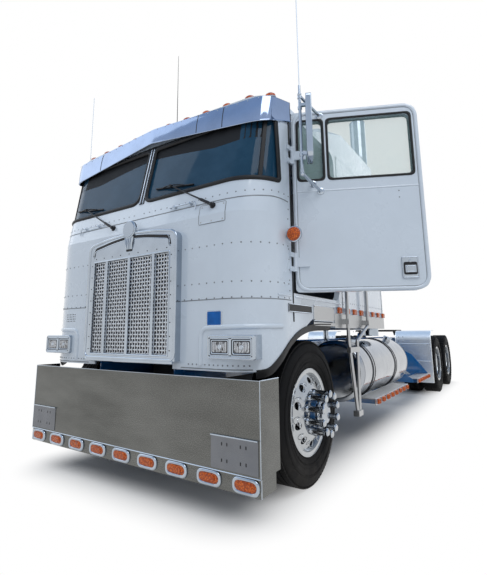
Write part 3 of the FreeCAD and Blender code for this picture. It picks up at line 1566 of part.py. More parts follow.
# Hinges: fixed knuckles on the front panel, with the pin; the door's knuckle turns between
HINGE_SHARES = (0.13, 0.72)
door_low, door_high = ground + d.door_low, ground + d.door_high
hinge_zs = [door_low + (door_high - door_low) * share for share in HINGE_SHARES]
knuckle_r = d.door_pin_out - d.running * 10
pin_r = d.door_pin / 2
fixed_parts = [front_panel]
for z in hinge_zs:
    hinge = [
        rod("pin", (hinge_x, door_y, z - d.hinge_high / 2 - d.seat_gap), pin_r, d.hinge_high * 2 + d.seat_gap * 2),
    ]
    for low in (z - d.hinge_high / 2 - d.seat_gap, z + d.hinge_high + d.seat_gap):
        hinge.append(rod("fixed", (hinge_x, door_y, low), knuckle_r, d.hinge_high / 2))
        hinge.append(
            box(
                "leaf",
                (d.cab_half - d.seat_gap, door_y - d.hinge_high, low),
                (d.cab_half + d.door_pin_out, door_y - d.door_pin / 2, low + d.hinge_high / 2),
            )
        )
    hinge = join("hinge", hinge)
    fixed_parts += [hinge, mirror("hinge_right", hinge)]
node("cab_front", join("cab_front", fixed_parts))

side_zone = box(
    "side_zone",
    (d.cab_half - d.cab_wall - d.running, split_y + d.seat_gap, cab_foot - d.over),
    (far, rear_face + d.over, top_z + d.over),
)
door_end = door_y + d.door_wide
door_hole = pad(
    "door_hole",
    "YZ",
    [
        (split_y - d.over, door_low - d.door_gap),
        (door_end + d.door_gap, door_low - d.door_gap, d.door_corner + d.door_gap),
        (door_end + d.door_gap, door_high + d.door_gap, d.door_corner + d.door_gap),
        (split_y - d.over, door_high + d.door_gap),
    ],
    d.cab_wall * 4,
    at=(d.cab_half - d.cab_wall * 2, 0, 0),
)
side_left = cut("side", common("side_part", walls, side_zone), [arch, door_hole])
node("cab_side_left", side_left)
node("cab_side_right", mirror("side_right", side_left))
inner_half = d.cab_half - d.cab_wall
back_wall = box(
    "back",
    (-inner_half + d.seat_gap, rear_face - d.cab_wall, ground + d.side_low),
    (inner_half - d.seat_gap, rear_face, top_z),
)
node("cab_back", back_wall)

# Floor with the engine tunnel, two sills and the arms that carry the tilt axis
floor_in = cab_form("floor_form", d.cab_wall + d.seat_gap, ground + d.floor_top - d.over * 20, belt_z)
floor_zone = box(
    "floor_zone",
    (-far, front_face, ground + d.floor_top - d.floor_skin),
    (far, rear_face - d.cab_wall - d.seat_gap, ground + d.floor_top),
)
tunnel_end = engine_end + d.sill_deep
tunnel_out = d.tunnel_half + d.tunnel_skin
tunnel_block = box(
    "tunnel_block",
    (-tunnel_out, front_face, ground + d.floor_top - d.floor_skin),
    (tunnel_out, tunnel_end + d.tunnel_skin, ground + d.tunnel_top + d.tunnel_skin),
)
tunnel_void = box(
    "tunnel_void",
    (-d.tunnel_half, front_face - d.over, ground + d.floor_top - d.floor_skin - d.over),
    (d.tunnel_half, tunnel_end, ground + d.tunnel_top),
)
floor_sheet = common("floor_sheet", join("floor_raw", [floor_zone, tunnel_block]), floor_in)
floor_low = ground + d.floor_top - d.floor_skin
sill = box(
    "sill",
    (arm_in, tilt_y - d.tilt_eye, floor_low - d.sill_deep),
    (arm_out, rear_face - d.cab_wall - d.seat_gap, floor_low),
)
arm = box(
    "tilt_arm",
    (arm_in, tilt_y - d.tilt_eye, tilt_z),
    (arm_out, tilt_y + d.tilt_eye, floor_low),
)
eye = rod("tilt_eye", (arm_in, tilt_y, tilt_z), d.tilt_eye, d.sill_wide, "X")
eye_hole = rod("tilt_hole", (arm_in - d.over, tilt_y, tilt_z), d.tilt_pin + d.running, d.sill_wide + d.over * 2, "X")
arm_left = cut("arm_left", join("arm_body", [arm, eye, sill]), [eye_hole])
floor = cut("floor_cut", floor_sheet, [tunnel_void])
node("cab_floor", join("floor", [floor, arm_left, mirror("arm_right", arm_left)]))

# Raised roof: a low front cap that ramps up to the sleeper's crown, hollow below
roof_front = front_face + d.lean_back


def roof_corners(half, crown_half, low, side_high, crown, ridge):
    """The roof's section across the cab; heights are drawn downwards."""
    return [
        (-half, -low),
        (-half, -side_high),
        (-crown_half, -crown),
        (0, -ridge),
        (crown_half, -crown),
        (half, -side_high),
        (half, -low),
    ]


def roof_form(label, inset, low):
    half = d.roof_half_low - inset
    front_half = d.roof_half_low - d.roof_rise - inset
    front_side = top_z + d.roof_rise * 0.35 - inset / 2
    front_crown = top_z + d.roof_rise - inset
    rear_half = d.roof_half_top - inset / 2
    rear_side = ground + d.roof_side_high - inset / 2
    rear_crown = ground + d.roof_crown - inset
    front = (front_half, front_side, front_crown, front_crown + d.roof_ridge)
    rear = (rear_half, rear_side, rear_crown, rear_crown + d.roof_camber)
    stations = (
        (roof_front + inset, front),
        (axle + d.roof_start + inset / 2, front),
        (axle + d.roof_peak_at + inset / 2, rear),
        (rear_face - inset, rear),
    )
    body = doc.addObject("PartDesign::Body", fresh(label))
    sketches = []
    for at, (crown_half, side, crown, ridge) in stations:
        corners = roof_corners(half, crown_half, low, side, crown, ridge)
        sketches.append(outline(body, "XY_Plane", corners, at))
    feature = body.newObject("PartDesign::AdditiveLoft", fresh("loft"))
    feature.Profile = sketches[0]
    feature.Sections = sketches[1:]
    feature.Ruled = True
    return put(body, (0, 0, 0), FreeCAD.Rotation(FreeCAD.Vector(1, 0, 0), -90))


roof_low = top_z + d.seat_gap
roof_outer = roof_form("roof_outer", size(0), roof_low)
roof_inner = roof_form("roof_inner", d.roof_skin, roof_low - d.over)
plan = pad("roof_plan", "XY", cab_plan(size(0), top_z), d.roof_crown - d.cab_top + d.over,
           at=(0, 0, roof_low))
roof_shell = cut("roof_cut", common("roof_part", roof_outer, plan), [roof_inner])
node("cab_roof", roof_shell)

# Visor: a bright sheet with three folds that hangs ahead of the windshield and wraps the corners
visor_slope = d.visor_lean / (d.visor_top - d.visor_low)


def visor_plan(inset, high):
    middle = axle - d.visor_ahead - (d.visor_low - high) * visor_slope + inset
    fold = middle + d.visor_bow
    end = axle - d.visor_back + d.over
    half = d.visor_half - inset
    return [
        (-half, end),
        (-d.visor_fold + inset, fold),
        (0, middle),
        (d.visor_fold - inset, fold),
        (half, end),
    ]


visor_levels = (d.visor_end_low - d.over * 2, d.visor_top + d.over)
visor_outer = lofted("visor_outer", [(ground + high, visor_plan(size(0), high)) for high in visor_levels])
visor_inner = lofted(
    "visor_inner",
    [
        (ground + high, visor_plan(d.visor_skin, high))
        for high in (visor_levels[0] - d.over, visor_levels[1] + d.over)
    ],
)
visor_deep = d.cab_front - d.visor_back + d.over
visor_at = (0, front_face - d.over, 0)
below = ground + visor_levels[0] - d.over * 2
above = ground + visor_levels[1] + d.over * 2
visor_under = pad(
    "visor_under",
    "XZ",
    [
        (-d.visor_fold * 2, below),
        (-d.visor_fold * 2, ground + d.visor_end_low * 2 - d.visor_low),
        (0, ground + d.visor_low),
        (d.visor_fold * 2, ground + d.visor_end_low * 2 - d.visor_low),
        (d.visor_fold * 2, below),
    ],
    visor_deep,
    at=visor_at,
)
visor_over = pad(
    "visor_over",
    "XZ",
    [
        (-d.visor_fold * 2, above),
        (-d.visor_fold * 2, ground + d.visor_end_top * 2 - d.visor_top),
        (0, ground + d.visor_top),
        (d.visor_fold * 2, ground + d.visor_end_top * 2 - d.visor_top),
        (d.visor_fold * 2, above),
    ],
    visor_deep,
    at=visor_at,
)
visor_rear = box(
    "visor_rear",
    (-far * 1.1, axle - d.visor_back, below),
    (far * 1.1, axle, above),
)
visor_skirt = pad(
    "visor_skirt",
    "YZ",
    [
        (axle - d.visor_ahead, below),
        (axle - d.visor_ahead, ground + d.visor_end_low - d.over / 2),
        (axle - d.visor_back, ground + d.visor_back_low),
        (axle - d.visor_back, below),
    ],
    far * 2.2,
    centred=True,
)
clear_of_cab = cab_form("visor_clear", -d.seat_gap, ground + d.visor_low - d.corner_round, top_z + d.seat_gap)
visor_cuts = [visor_inner, visor_under, visor_over, visor_rear, visor_skirt, clear_of_cab]
visor_cuts.append(roof_form("visor_roof", -d.seat_gap, roof_low - d.over))
node("sun_visor", cut("visor", visor_outer, visor_cuts))

# Windshield: curved panes set in the opening, parted at the middle pillar
pane_form = cut(
    "pane_form",
    cab_form("pane_outer", d.cab_wall * 0.3, ground + d.glass_low - d.over, ground + d.glass_top + d.over),
    [
        cab_form(
            "pane_inner",
            d.cab_wall * 0.3 + d.glass_skin,
            ground + d.glass_low - d.over * 2,
            ground + d.glass_top + d.over * 2,
        )
    ],
)
panes = []
for side in (-1, 1):
    gap = d.seat_gap
    window = pad(
        "pane_zone",
        "XZ",
        [
            ((d.pillar_half + gap) * side, glass_z + gap, d.glass_corner),
            (far * side, glass_z + gap),
            (far * side, ground + d.glass_top - gap),
            ((d.pillar_half + gap) * side, ground + d.glass_top - gap, d.glass_corner / 2),
        ],
        d.cab_front - d.glass_wrap_back + d.over - gap,
        at=(0, front_face - d.over, 0),
    )
    panes.append(common("pane", pane_form, window))
node("windshield", group("panes", panes))

# Grille: an arched bright surround, a woven mesh and three upright bars
gy = front_face - d.grille_proud
gl = ground + d.grille_low
gs = ground + d.grille_shoulder
gp = ground + d.grille_peak
surround_block = pad(
    "surround",
    "XZ",
    [
        (-d.grille_half, gl),
        (d.grille_half, gl),
        (d.grille_half, gs, d.grille_round),
        (0, gp, d.grille_half),
        (-d.grille_half, gs, d.grille_round),
    ],
    d.grille_proud - d.seat_gap,
    at=(0, gy, 0),
)
mesh_low = gl + d.grille_band / 2
mesh_high = gs - d.grille_head
surround_void = box(
    "surround_void",
    (-grille_in, gy - d.over, mesh_low),
    (grille_in, front_face + d.over, mesh_high),
)
slot = pad(
    "slot",
    "XZ",
    [
        (-grille_in, gs - d.grille_round * 0.78),
        (0, gp - d.grille_round * 0.78, d.grille_half),
        (grille_in, gs - d.grille_round * 0.78),
        (grille_in, gs - d.grille_round * 0.44),
        (0, gp - d.grille_round * 0.44, d.grille_half),
        (-grille_in, gs - d.grille_round * 0.44),
    ],
    d.over,
    at=(0, gy - d.over / 2, 0),
)
stem = box(
    "stem",
    (-d.emblem / 2, gy - d.over / 2, gp - d.emblem * 1.75),
    (d.emblem / 2, gy + d.over, gp),
)
badge = turned(
    "badge",
    [(0, 0), (0, d.emblem), (d.over * 1.5, d.emblem * 0.9), (d.over * 1.5, 0)],
    at=(0, gy + d.over / 2, gp + d.emblem / 4),
    axis="Y",
)
badge.Placement = FreeCAD.Placement(badge.Placement.Base, FreeCAD.Rotation(FreeCAD.Vector(0, 0, 1), -90))
ribs = []
RIB_SHARES = (-0.62, 0.0, 0.62)
for share in RIB_SHARES:
    x = grille_in * share
    ribs.append(
        box(
            "rib",
            (x - d.rib_wide / 2, gy, mesh_low - d.running),
            (x + d.rib_wide / 2, gy + d.rib_deep, mesh_high + d.running),
        )
    )
surround = join("surround_all", [cut("surround_cut", surround_block, [surround_void, slot]), stem, badge] + ribs)
node("grille_surround", surround)
mesh_y = gy + d.rib_deep + d.seat_gap
strands = []
across = int(float(grille_in) * 2 / float(d.mesh_pitch))
for k in range(across + 1):
    x = -grille_in + (grille_in * 2 - d.mesh_bar) * (k / across)
    strands.append(box("warp", (x, mesh_y, mesh_low), (x + d.mesh_bar, mesh_y + d.mesh_skin, mesh_high)))
upward = int(float(mesh_high - mesh_low) / float(d.mesh_pitch))
for k in range(upward + 1):
    z = mesh_low + (mesh_high - mesh_low - d.mesh_bar) * (k / upward)
    strands.append(box("weft", (-grille_in, mesh_y, z), (grille_in, mesh_y + d.mesh_skin, z + d.mesh_bar)))
node("grille_mesh", join("mesh", strands))

# Headlamps: twin rectangular units, each in a groove of a bright box set on the lower corner
lamp_face = front_face - d.lamp_proud
lamp_z = ground + d.lamp_low
lamp_end = d.lamp_in + d.lamp_wide
lamp_plan = pad(
    "lamp_plan",
    "XY",
    [
        (d.lamp_in, front_face + d.corner_round),
        (d.lamp_in, lamp_face, d.lamp_rim / 4),
        (lamp_end, lamp_face, d.lamp_rim),
        (lamp_end - d.lamp_taper * 2, front_face + d.corner_round),
    ],
    d.lamp_high,
    at=(0, 0, lamp_z),
)


def lamp_pad(label, left, low, wide, high, turn, start, deep):
    corners = [
        (left, low, turn),
        (left + wide, low, turn),
        (left + wide, low + high, turn),
        (left, low + high, turn),
    ]
    return pad(label, "XZ", corners, deep, at=(0, start, 0))


lamp_front = lamp_pad(
    "lamp_front",
    d.lamp_in,
    lamp_z,
    d.lamp_wide,
    d.lamp_high,
    d.lamp_round,
    lamp_face,
    d.corner_round,
)
pockets = []
unit_low = lamp_z + (d.lamp_high - d.unit_high) / 2
pocket_wide = d.unit_wide + d.unit_gap * 2
for left in (d.lamp_in + d.lamp_rim, d.lamp_in + d.lamp_rim * 1.9 + pocket_wide):
    start = lamp_face - d.over
    low = unit_low - d.unit_gap
    high = d.unit_high + d.unit_gap * 2
    pocket = lamp_pad("pocket", left, low, pocket_wide, high, d.lamp_round / 2, start, d.over + d.lamp_rim)
    unit = lamp_pad(
        "unit",
        left + d.unit_gap,
        unit_low,
        d.unit_wide,
        d.unit_high,
        d.lamp_round / 2,
        lamp_face + d.unit_set,
        d.lamp_rim,
    )
    pockets.append(cut("groove", pocket, [unit]))
clear_of_face = cab_form("lamp_clear", -d.seat_gap, lamp_z - d.over, lamp_z + d.lamp_high + d.over)
bezel = cut("lamp_bezel", common("lamp_box", lamp_plan, lamp_front), [clear_of_face] + pockets)
node("headlamps", group("headlamps", [bezel, mirror("lamp_right", bezel)]))

# Amber lamps on the cab: roof markers, side rows and the lamps ahead of the doors
cab_lamps = []
ridge_z = top_z + d.roof_rise + d.roof_ridge + d.seat_gap
roof_fall = d.roof_ridge / (d.roof_half_low - d.roof_rise)
lamp_seat = roof_form("lamp_seat", -d.seat_gap, roof_low)
MARKERS = 11
for k in range(MARKERS):
    off = d.beacon_pitch * abs(k - (MARKERS - 1) / 2)
    x = d.beacon_pitch * (k - (MARKERS - 1) / 2)
    marker = turned(
        "marker",
        [
            (-d.over / 2, 0),
            (-d.over / 2, d.beacon_radius),
            (d.beacon_high * 0.3, d.beacon_radius),
            (d.beacon_high, d.beacon_radius * 0.55, d.beacon_high / 3),
            (d.beacon_high, 0),
        ],
        at=(x, axle - d.beacon_ahead, ridge_z - off * roof_fall),
        axis="Z",
    )
    cab_lamps.append(cut("marker_cut", marker, [lamp_seat]))
SIDE_LAMPS = 8
row_start = door_end - d.side_lamp * 1.5
for k in range(SIDE_LAMPS):
    spot = row_start + (rear_face - d.side_lamp * 1.5 - row_start) * (k / (SIDE_LAMPS - 1))
    lamp = box(
        "side_lamp",
        (d.cab_half + d.seat_gap, spot, ground + d.side_low + d.trim_high + d.seat_gap),
        (
            d.cab_half + d.seat_gap + d.side_lamp_deep,
            spot + d.side_lamp,
            ground + d.side_low + d.trim_high + d.seat_gap + d.side_lamp_high,
        ),
    )
    cab_lamps += [lamp, mirror("side_lamp_right", lamp)]
turn_x = d.cab_half + d.turn_lamp + d.turn_lamp_off
turn_y = axle - d.turn_lamp_ahead
turn_z = ground + d.turn_lamp_high
turn_lamp = turned(
    "turn_lamp",
    [
        (0, 0),
        (0, d.turn_lamp * 0.75, d.turn_lamp_deep / 5),
        (d.turn_lamp_deep * 0.25, d.turn_lamp),
        (d.turn_lamp_deep * 0.6, d.turn_lamp),
        (d.turn_lamp_deep, d.turn_lamp * 0.6, d.turn_lamp_deep / 5),
        (d.turn_lamp_deep, 0),
    ],
    at=(turn_x, turn_y, turn_z),
    axis="Y",
)
turn_foot = rod(
    "turn_foot",
    (d.cab_half + d.seat_gap, turn_y + d.turn_lamp_deep * 0.6, turn_z),
    d.turn_lamp_deep * 0.3,
    d.turn_lamp + d.turn_lamp_off,
    "X",
)
turn_lamp = cut(
    "turn_cut",
    join("turn_lamp_all", [turn_lamp, turn_foot]),
    [cab_form("turn_clear", -d.seat_gap, turn_z - d.turn_lamp, turn_z + d.turn_lamp)],
)
cab_lamps += [turn_lamp, mirror("turn_lamp_right", turn_lamp)]
node("cab_lamps", group("cab_lamps", cab_lamps))

# Stainless lower trim and the rubber lips of the wheel arches
trim_y = axle + d.tyre_radius * ARCH_Y_SHARES[7] + d.over
trim_left = box(
    "trim",
    (d.cab_half + d.seat_gap, trim_y, ground + d.side_low),
    (d.cab_half + d.seat_gap + d.trim_skin, rear_face, ground + d.side_low + d.trim_high),
)
lip_corners = [(y, z) for y, z, *turn in arch_corners()[1:7]]
LIP_Y_SHARES = (0.5, 0.19, -0.35, -0.85, -1.11, -1.25)
LIP_Z_SHARES = (2.155, 2.14, 2.015, 1.811, 1.676, 1.615)
for y_share, z_share in zip(LIP_Y_SHARES, LIP_Z_SHARES):
    lip_corners.append((axle + d.tyre_radius * y_share, ground + d.tyre_radius * z_share))
lip_zone = pad("lip_zone", "YZ", lip_corners, d.corner_round + d.over, at=(d.cab_half - d.corner_round, 0, 0))
lip_ring = cut(
    "lip_ring",
    cab_form("lip_outer", -d.flare_proud, cab_foot - d.corner_round, belt_z),
    [cab_form("lip_inner", d.flare_skin, cab_foot - d.corner_round - d.over, belt_z + d.over)],
)
lip = cut("lip_cut", common("lip", lip_ring, lip_zone), [front_panel, side_left])
node("arch_lips", group("lips", [lip, mirror("lip_right", lip)]))

# Wipers on their pivots, with the roof aerial
wipers = []
for x in (d.wiper_pivot_off, d.wiper_pivot_off - d.wiper_pitch):
    z = ground + d.wiper_pivot_high
    y0 = cab_plan(size(0), z - d.ladder_tube)[1][1] - d.seat_gap
    reach_x = d.wiper_long * 0.8
    reach_z = d.wiper_long * 0.46
    blade_y = y0 - d.ladder_tube - d.over
    tip = (x - reach_x, blade_y + d.lean_back * 0.12, z + reach_z)
    wipers.append(
        join(
            "wiper",
            [
                rod("pivot", (x, blade_y - d.ladder_tube, z), d.ladder_tube, y0 - blade_y + d.ladder_tube, "Y"),
                strut("wiper_arm", (x, blade_y, z), tip, d.mirror_tube * 0.7),
                strut(
                    "blade",
                    (tip[0] - d.wiper_blade / 2, tip[1], tip[2] + d.over * 0.2),
                    (tip[0] + d.wiper_blade / 2, tip[1], tip[2] - d.over * 0.2),
                    d.mirror_tube * 0.8,
                ),
            ],
        )
    )
aerial_y = axle - d.door_ahead
wipers.append(
    join(
        "roof_aerial",
        [
            rod("aerial_foot", (0, aerial_y, ridge_z), d.aerial_base * 2, d.aerial_base * 4),
            rod("aerial_rod", (0, aerial_y, ridge_z), d.aerial_rod, ground + d.roof_aerial_top - ridge_z),
        ],
    )
)
node("wipers_and_aerial", group("wipers", wipers))

# Grab rails and ladder: two bent tubes with clamps and a foot, on the cab's trim
lx = d.ladder_off
foot_y = axle + d.ladder_foot_at
foot_z = ground + d.ladder_foot
clamp_z = ground + d.side_low + d.trim_high / 4
bend_z = ground + d.side_low - d.trim_high
cross_z = ground + d.side_low - d.trim_high * 1.8
one_y = foot_y - d.ladder_foot_at * 0.2
two_y = foot_y + d.ladder_foot_at * 0.56
two_low = foot_y + d.ladder_foot_at * 0.09
tube = d.ladder_tube


def path(label, points):
    """A bent tube: straight runs with balls at the bends."""
    parts = []
    for start, end in zip(points, points[1:]):
        parts.append(strut(label, start, end, tube))
    for spot in points[1:-1]:
        parts.append(ball(label, spot, tube))
    return parts


rail_parts = path(
    "rail_one",
    [
        (lx, one_y, ground + d.rail_one_top),
        (lx, one_y, bend_z),
        (lx, foot_y - tube, foot_z),
    ],
)
rail_parts += path(
    "rail_two",
    [
        (lx, two_y, ground + d.rail_two_top),
        (lx, two_y, clamp_z),
        (lx, two_low, bend_z),
        (lx, foot_y + tube * 2.5, foot_z),
    ],
)
rail_parts.append(
    box(
        "foot",
        (lx - d.step_lip / 2, foot_y - tube * 3, foot_z - tube * 2),
        (lx + tube * 1.4, foot_y + tube * 4.5, foot_z + tube),
    )
)
rail_parts.append(
    box("cross", (lx - tube, one_y - tube, cross_z), (lx + tube * 1.2, two_low + tube, cross_z + tube * 3))
)
for y in (one_y, two_y):
    for z in (clamp_z, ground + d.rail_two_top - d.trim_high):
        rail_parts.append(
            box(
                "clamp",
                (d.cab_half + d.seat_gap, y - tube * 1.8, z),
                (lx + tube * 1.2, y + tube * 1.8, z + tube * 3),
            )
        )
node_trim = join("trim_and_rails", [trim_left] + rail_parts)
node("side_trim", group("trims", [node_trim, mirror("trim_mirror", node_trim)]))

# Doors: made closed on the left side, mirrored for the right, and the left one swung open
door_body = pad(
    "door",
    "YZ",
    [
        (door_y, door_low, d.door_corner / 4),
        (door_end, door_low, d.door_corner),
        (door_end, door_high, d.door_corner),
        (door_y, door_high, d.door_corner / 4),
    ],
    d.door_skin,
    at=(d.cab_half - d.door_skin, 0, 0),
)
light_low, light_high = ground + d.light_low, ground + d.light_high
vent = [
    (door_y + d.light_ahead, light_low, d.light_corner / 2),
    (door_y + d.vent_at - d.vent_bar / 2, light_low, d.light_corner / 4),
    (door_y + d.vent_at - d.vent_bar / 2, light_high, d.light_corner / 4),
    (door_y + d.light_ahead, light_high, d.light_corner / 2),
]
main = [
    (door_y + d.vent_at + d.vent_bar / 2, light_low, d.light_corner / 4),
    (door_end - d.light_behind, light_low, d.light_corner),
    (door_end - d.light_behind, light_high, d.light_corner),
    (door_y + d.vent_at + d.vent_bar / 2, light_high, d.light_corner / 4),
]
holes = [
    pad("light", "YZ", corners, d.door_skin * 3, at=(d.cab_half - d.door_skin * 2, 0, 0))
    for corners in (vent, main)
]
glass_x = d.cab_half - d.door_skin / 2 - d.glass_skin / 2


def shrunk(corners, by):
    """An outline of four corners, in order, drawn in by a gap."""
    (y1, z1, r1), (y2, _, r2), (_, z3, r3), (_, _, r4) = corners
    return [
        (y1 + by, z1 + by, r1),
        (y2 - by, z1 + by, r2),
        (y2 - by, z3 - by, r3),
        (y1 + by, z3 - by, r4),
    ]


door_glass = group(
    "door_glass",
    [
        pad("light_pane", "YZ", shrunk(corners, d.seat_gap), d.glass_skin, at=(glass_x, 0, 0))
        for corners in (vent, main)
    ],
)
door_hinges = []
for z in hinge_zs:
    door_hinges.append(rod("turning", (hinge_x, door_y, z), knuckle_r, d.hinge_high))
    door_hinges.append(
        box(
            "door_leaf",
            (d.cab_half - d.seat_gap, door_y, z),
            (d.cab_half + d.door_pin_out, door_y + d.hinge_high * 1.5, z + d.hinge_high),
        )
    )
pin_holes = [
    rod("pin_way", (hinge_x, door_y, z - d.over), pin_r + d.running, d.hinge_high + d.over * 2)
    for z in hinge_zs
]
door_panel = cut("door_panel", join("door_parts", [cut("door_cut", door_body, holes)] + door_hinges), pin_holes)

# Mirror on its arms, aerial, and the door's handle: bright fittings
face_x = d.cab_half + d.seat_gap
post_y = door_y + d.mirror_post_at
head_y = door_y + d.mirror_at
post_x2 = d.cab_half + d.mirror_out
mt = d.mirror_tube
head = pad(
    "head",
    "XZ",
    [
        (post_x2 - d.mirror_wide / 2, ground + d.mirror_low, d.mirror_deep),
        (post_x2 + d.mirror_wide / 2, ground + d.mirror_low, d.mirror_deep),
        (post_x2 + d.mirror_wide / 2, ground + d.mirror_low + d.mirror_long, d.mirror_deep),
        (post_x2 - d.mirror_wide / 2, ground + d.mirror_low + d.mirror_long, d.mirror_deep),
    ],
    d.mirror_deep,
    at=(0, head_y - d.mirror_deep / 2, 0),
)
post_low, post_high = ground + d.mirror_post_low, ground + d.mirror_post_top
foot_spots = (
    (head_y + mt * 2, ground + d.light_low - d.mirror_deep),
    (door_y + d.mirror_at * 1.6, ground + d.light_low - d.mirror_deep * 3),
    (door_y + d.mirror_at * 1.7, ground + d.light_high + d.mirror_deep),
)


def fittings(label, aerial_top):
    parts = [
        head,
        rod("mirror_post", (post_x2, post_y, post_low), mt, post_high - post_low),
        strut("arm_low", (face_x, foot_spots[0][0], foot_spots[0][1]), (post_x2, post_y, post_low + mt), mt),
        strut("arm_brace", (face_x, foot_spots[1][0], foot_spots[1][1]), (post_x2, post_y, post_low + mt), mt),
        strut("arm_high", (face_x, foot_spots[2][0], foot_spots[2][1]), (post_x2, post_y, post_high - mt), mt),
        rod("aerial_spring", (post_x2, post_y, post_high), d.aerial_base, d.aerial_base * 8),
        rod("aerial", (post_x2, post_y, post_high), d.aerial_rod, ground + aerial_top - post_high),
    ]
    for z in (post_low + d.mirror_long * 0.3, post_high - d.mirror_long * 0.2):
        parts.append(box("bracket", (post_x2 - mt, post_y, z), (post_x2 + mt, head_y, z + mt * 2)))
    parts += [ball("ball", (post_x2, post_y, z), mt * 1.4) for z in (post_low, post_high)]
    whole = join(label, parts)
    zone = box(
        "outside",
        (face_x, door_y - d.cab_wall, post_low - d.mirror_long),
        (face_x + d.mirror_out * 2, door_end, ground + aerial_top + d.over),
    )
    trimmed = common(label + "_outside", whole, zone)
    plate = box(
        "plate",
        (face_x, door_y + d.handle_at - d.handle_wide / 2, ground + d.handle_low),
        (
            face_x + d.handle_proud / 2,
            door_y + d.handle_at + d.handle_wide / 2,
            ground + d.handle_low + d.handle_high,
        ),
    )
    paddle = box(
        "paddle",
        (face_x, door_y + d.handle_at - d.handle_wide / 3, ground + d.handle_low + d.handle_high / 4),
        (
            face_x + d.handle_proud,
            door_y + d.handle_at + d.handle_wide / 3,
            ground + d.handle_low + d.handle_high * 0.6,
        ),
    )
    return group(label + "_all", [trimmed, join("handle", [plate, paddle])])


hinge_spot = (hinge_x, door_y, 0)
left_turn = -float(d.door_open)
node("door_left", swung("door_left", door_panel, hinge_spot, left_turn))
node("door_glass_left", swung("glass_left", door_glass, hinge_spot, left_turn))
node("door_fittings_left", swung("fit_left", fittings("fit_l", d.left_aerial_top), hinge_spot, left_turn))
node("door_right", mirror("door_right", door_panel))
node("door_glass_right", mirror("glass_right", door_glass))
node("door_fittings_right", mirror("fit_right", fittings("fit_r", d.right_aerial_top)))

# Inside: dashboard with the steering wheel, two seats and the bunk
inside = cab_form("inside", d.cab_wall + d.seat_gap, ground + d.floor_top, top_z)
dash_y = front_face + d.cab_wall
dash = pad(
    "dash",
    "YZ",
    [
        (front_face, ground + d.dash_low),
        (dash_y + d.dash_deep * 0.7, ground + d.dash_low, d.over),
        (dash_y + d.dash_deep, ground + d.dash_low + d.over * 4, d.over),
        (dash_y + d.dash_deep * 0.9, ground + d.dash_top - d.over, d.over),
        (front_face, ground + d.dash_top),
    ],
    d.dash_half * 2,
    centred=True,
)
dash = common("dash_fit", dash, inside)
ring_y = dash_y + d.dash_deep + d.wheel_ring * 0.8
ring_z = ground + d.dash_top - d.wheel_ring * 0.6
TILT = 28
tilt_turn = FreeCAD.Rotation(FreeCAD.Vector(1, 0, 0), TILT)
grip = doc.addObject("Part::Torus", fresh("grip"))
bind(grip, "Radius1", d.wheel_ring)
bind(grip, "Radius2", d.wheel_grip)
put(grip, (d.seat_off, ring_y, ring_z), tilt_turn)
boss_back = (d.seat_off, ring_y, ring_z)
dash_hold = (d.seat_off, dash_y + d.dash_deep * 0.6, ground + d.dash_low + d.over * 3)
spoke_z = math.sin(math.radians(TILT))
spoke_y = math.cos(math.radians(TILT))
wheel_parts = [
    dash,
    grip,
    strut("column", dash_hold, boss_back, d.column),
    strut(
        "spoke",
        (d.seat_off - d.wheel_ring, ring_y, ring_z),
        (d.seat_off + d.wheel_ring, ring_y, ring_z),
        d.wheel_grip,
    ),
    strut(
        "spoke",
        (d.seat_off, ring_y, ring_z),
        (d.seat_off, ring_y - d.wheel_ring * spoke_y, ring_z - d.wheel_ring * spoke_z),
        d.wheel_grip,
    ),
]
node("dashboard", join("dashboard", wheel_parts))
seat_y = axle + d.seat_at
seats = []
floor_z = ground + d.floor_top + d.seat_gap
for side in (-1, 1):
    mid = d.seat_off * side
    inner = tunnel_out + d.seat_gap * 3
    lo, hi = (inner, d.seat_off * 2 - inner) if side > 0 else (inner - d.seat_off * 2, -inner)
    seats.append(
        join(
            "seat",
            [
                box("base", (lo, seat_y + d.over, floor_z), (hi, seat_y + d.seat_deep * 0.8, ground + d.seat_top)),
                box(
                    "cushion",
                    (mid - d.seat_half, seat_y, ground + d.seat_top - d.seat_thick),
                    (mid + d.seat_half, seat_y + d.seat_deep, ground + d.seat_top),
                ),
                pad(
                    "rest",
                    "YZ",
                    [
                        (seat_y + d.seat_deep - d.seat_back_thick, ground + d.seat_top - d.seat_thick),
                        (seat_y + d.seat_deep, ground + d.seat_top - d.seat_thick),
                        (seat_y + d.seat_deep + d.seat_back_thick, ground + d.seat_top + d.seat_back_high, d.over * 2),
                        (seat_y + d.seat_deep, ground + d.seat_top + d.seat_back_high, d.over * 2),
                    ],
                    d.seat_half * 1.8,
                    at=(mid - d.seat_half * 0.9, 0, 0),
                ),
            ],
        )
    )
bunk_y = rear_face - d.cab_wall - d.seat_gap * 2 - d.bunk_long
seats.append(
    box(
        "bunk",
        (-inner_half + d.seat_gap * 2, bunk_y, floor_z),
        (inner_half - d.seat_gap * 2, bunk_y + d.bunk_long, ground + d.bunk_top),
    )
)
node("seats_and_bunk", group("seats", seats))

doc.recompute()
os.makedirs("parts", exist_ok=True)
for thing in doc.Objects:
    if "Invalid" in thing.State or "Error" in thing.State:
        raise RuntimeError(f"{thing.Name} ({thing.Label}) failed: {thing.State}")
for name, thing in NODES.items():
    if thing.Shape.isNull() or not thing.Shape.isValid():
        raise RuntimeError(f"{name} has no valid shape")
for name, thing in NODES.items():
    thing.Shape.exportStep(f"parts/{name}.step")
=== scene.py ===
import json
import math

import bmesh
import bpy
from mathutils import Matrix, Vector
from mathutils.bvhtree import BVHTree


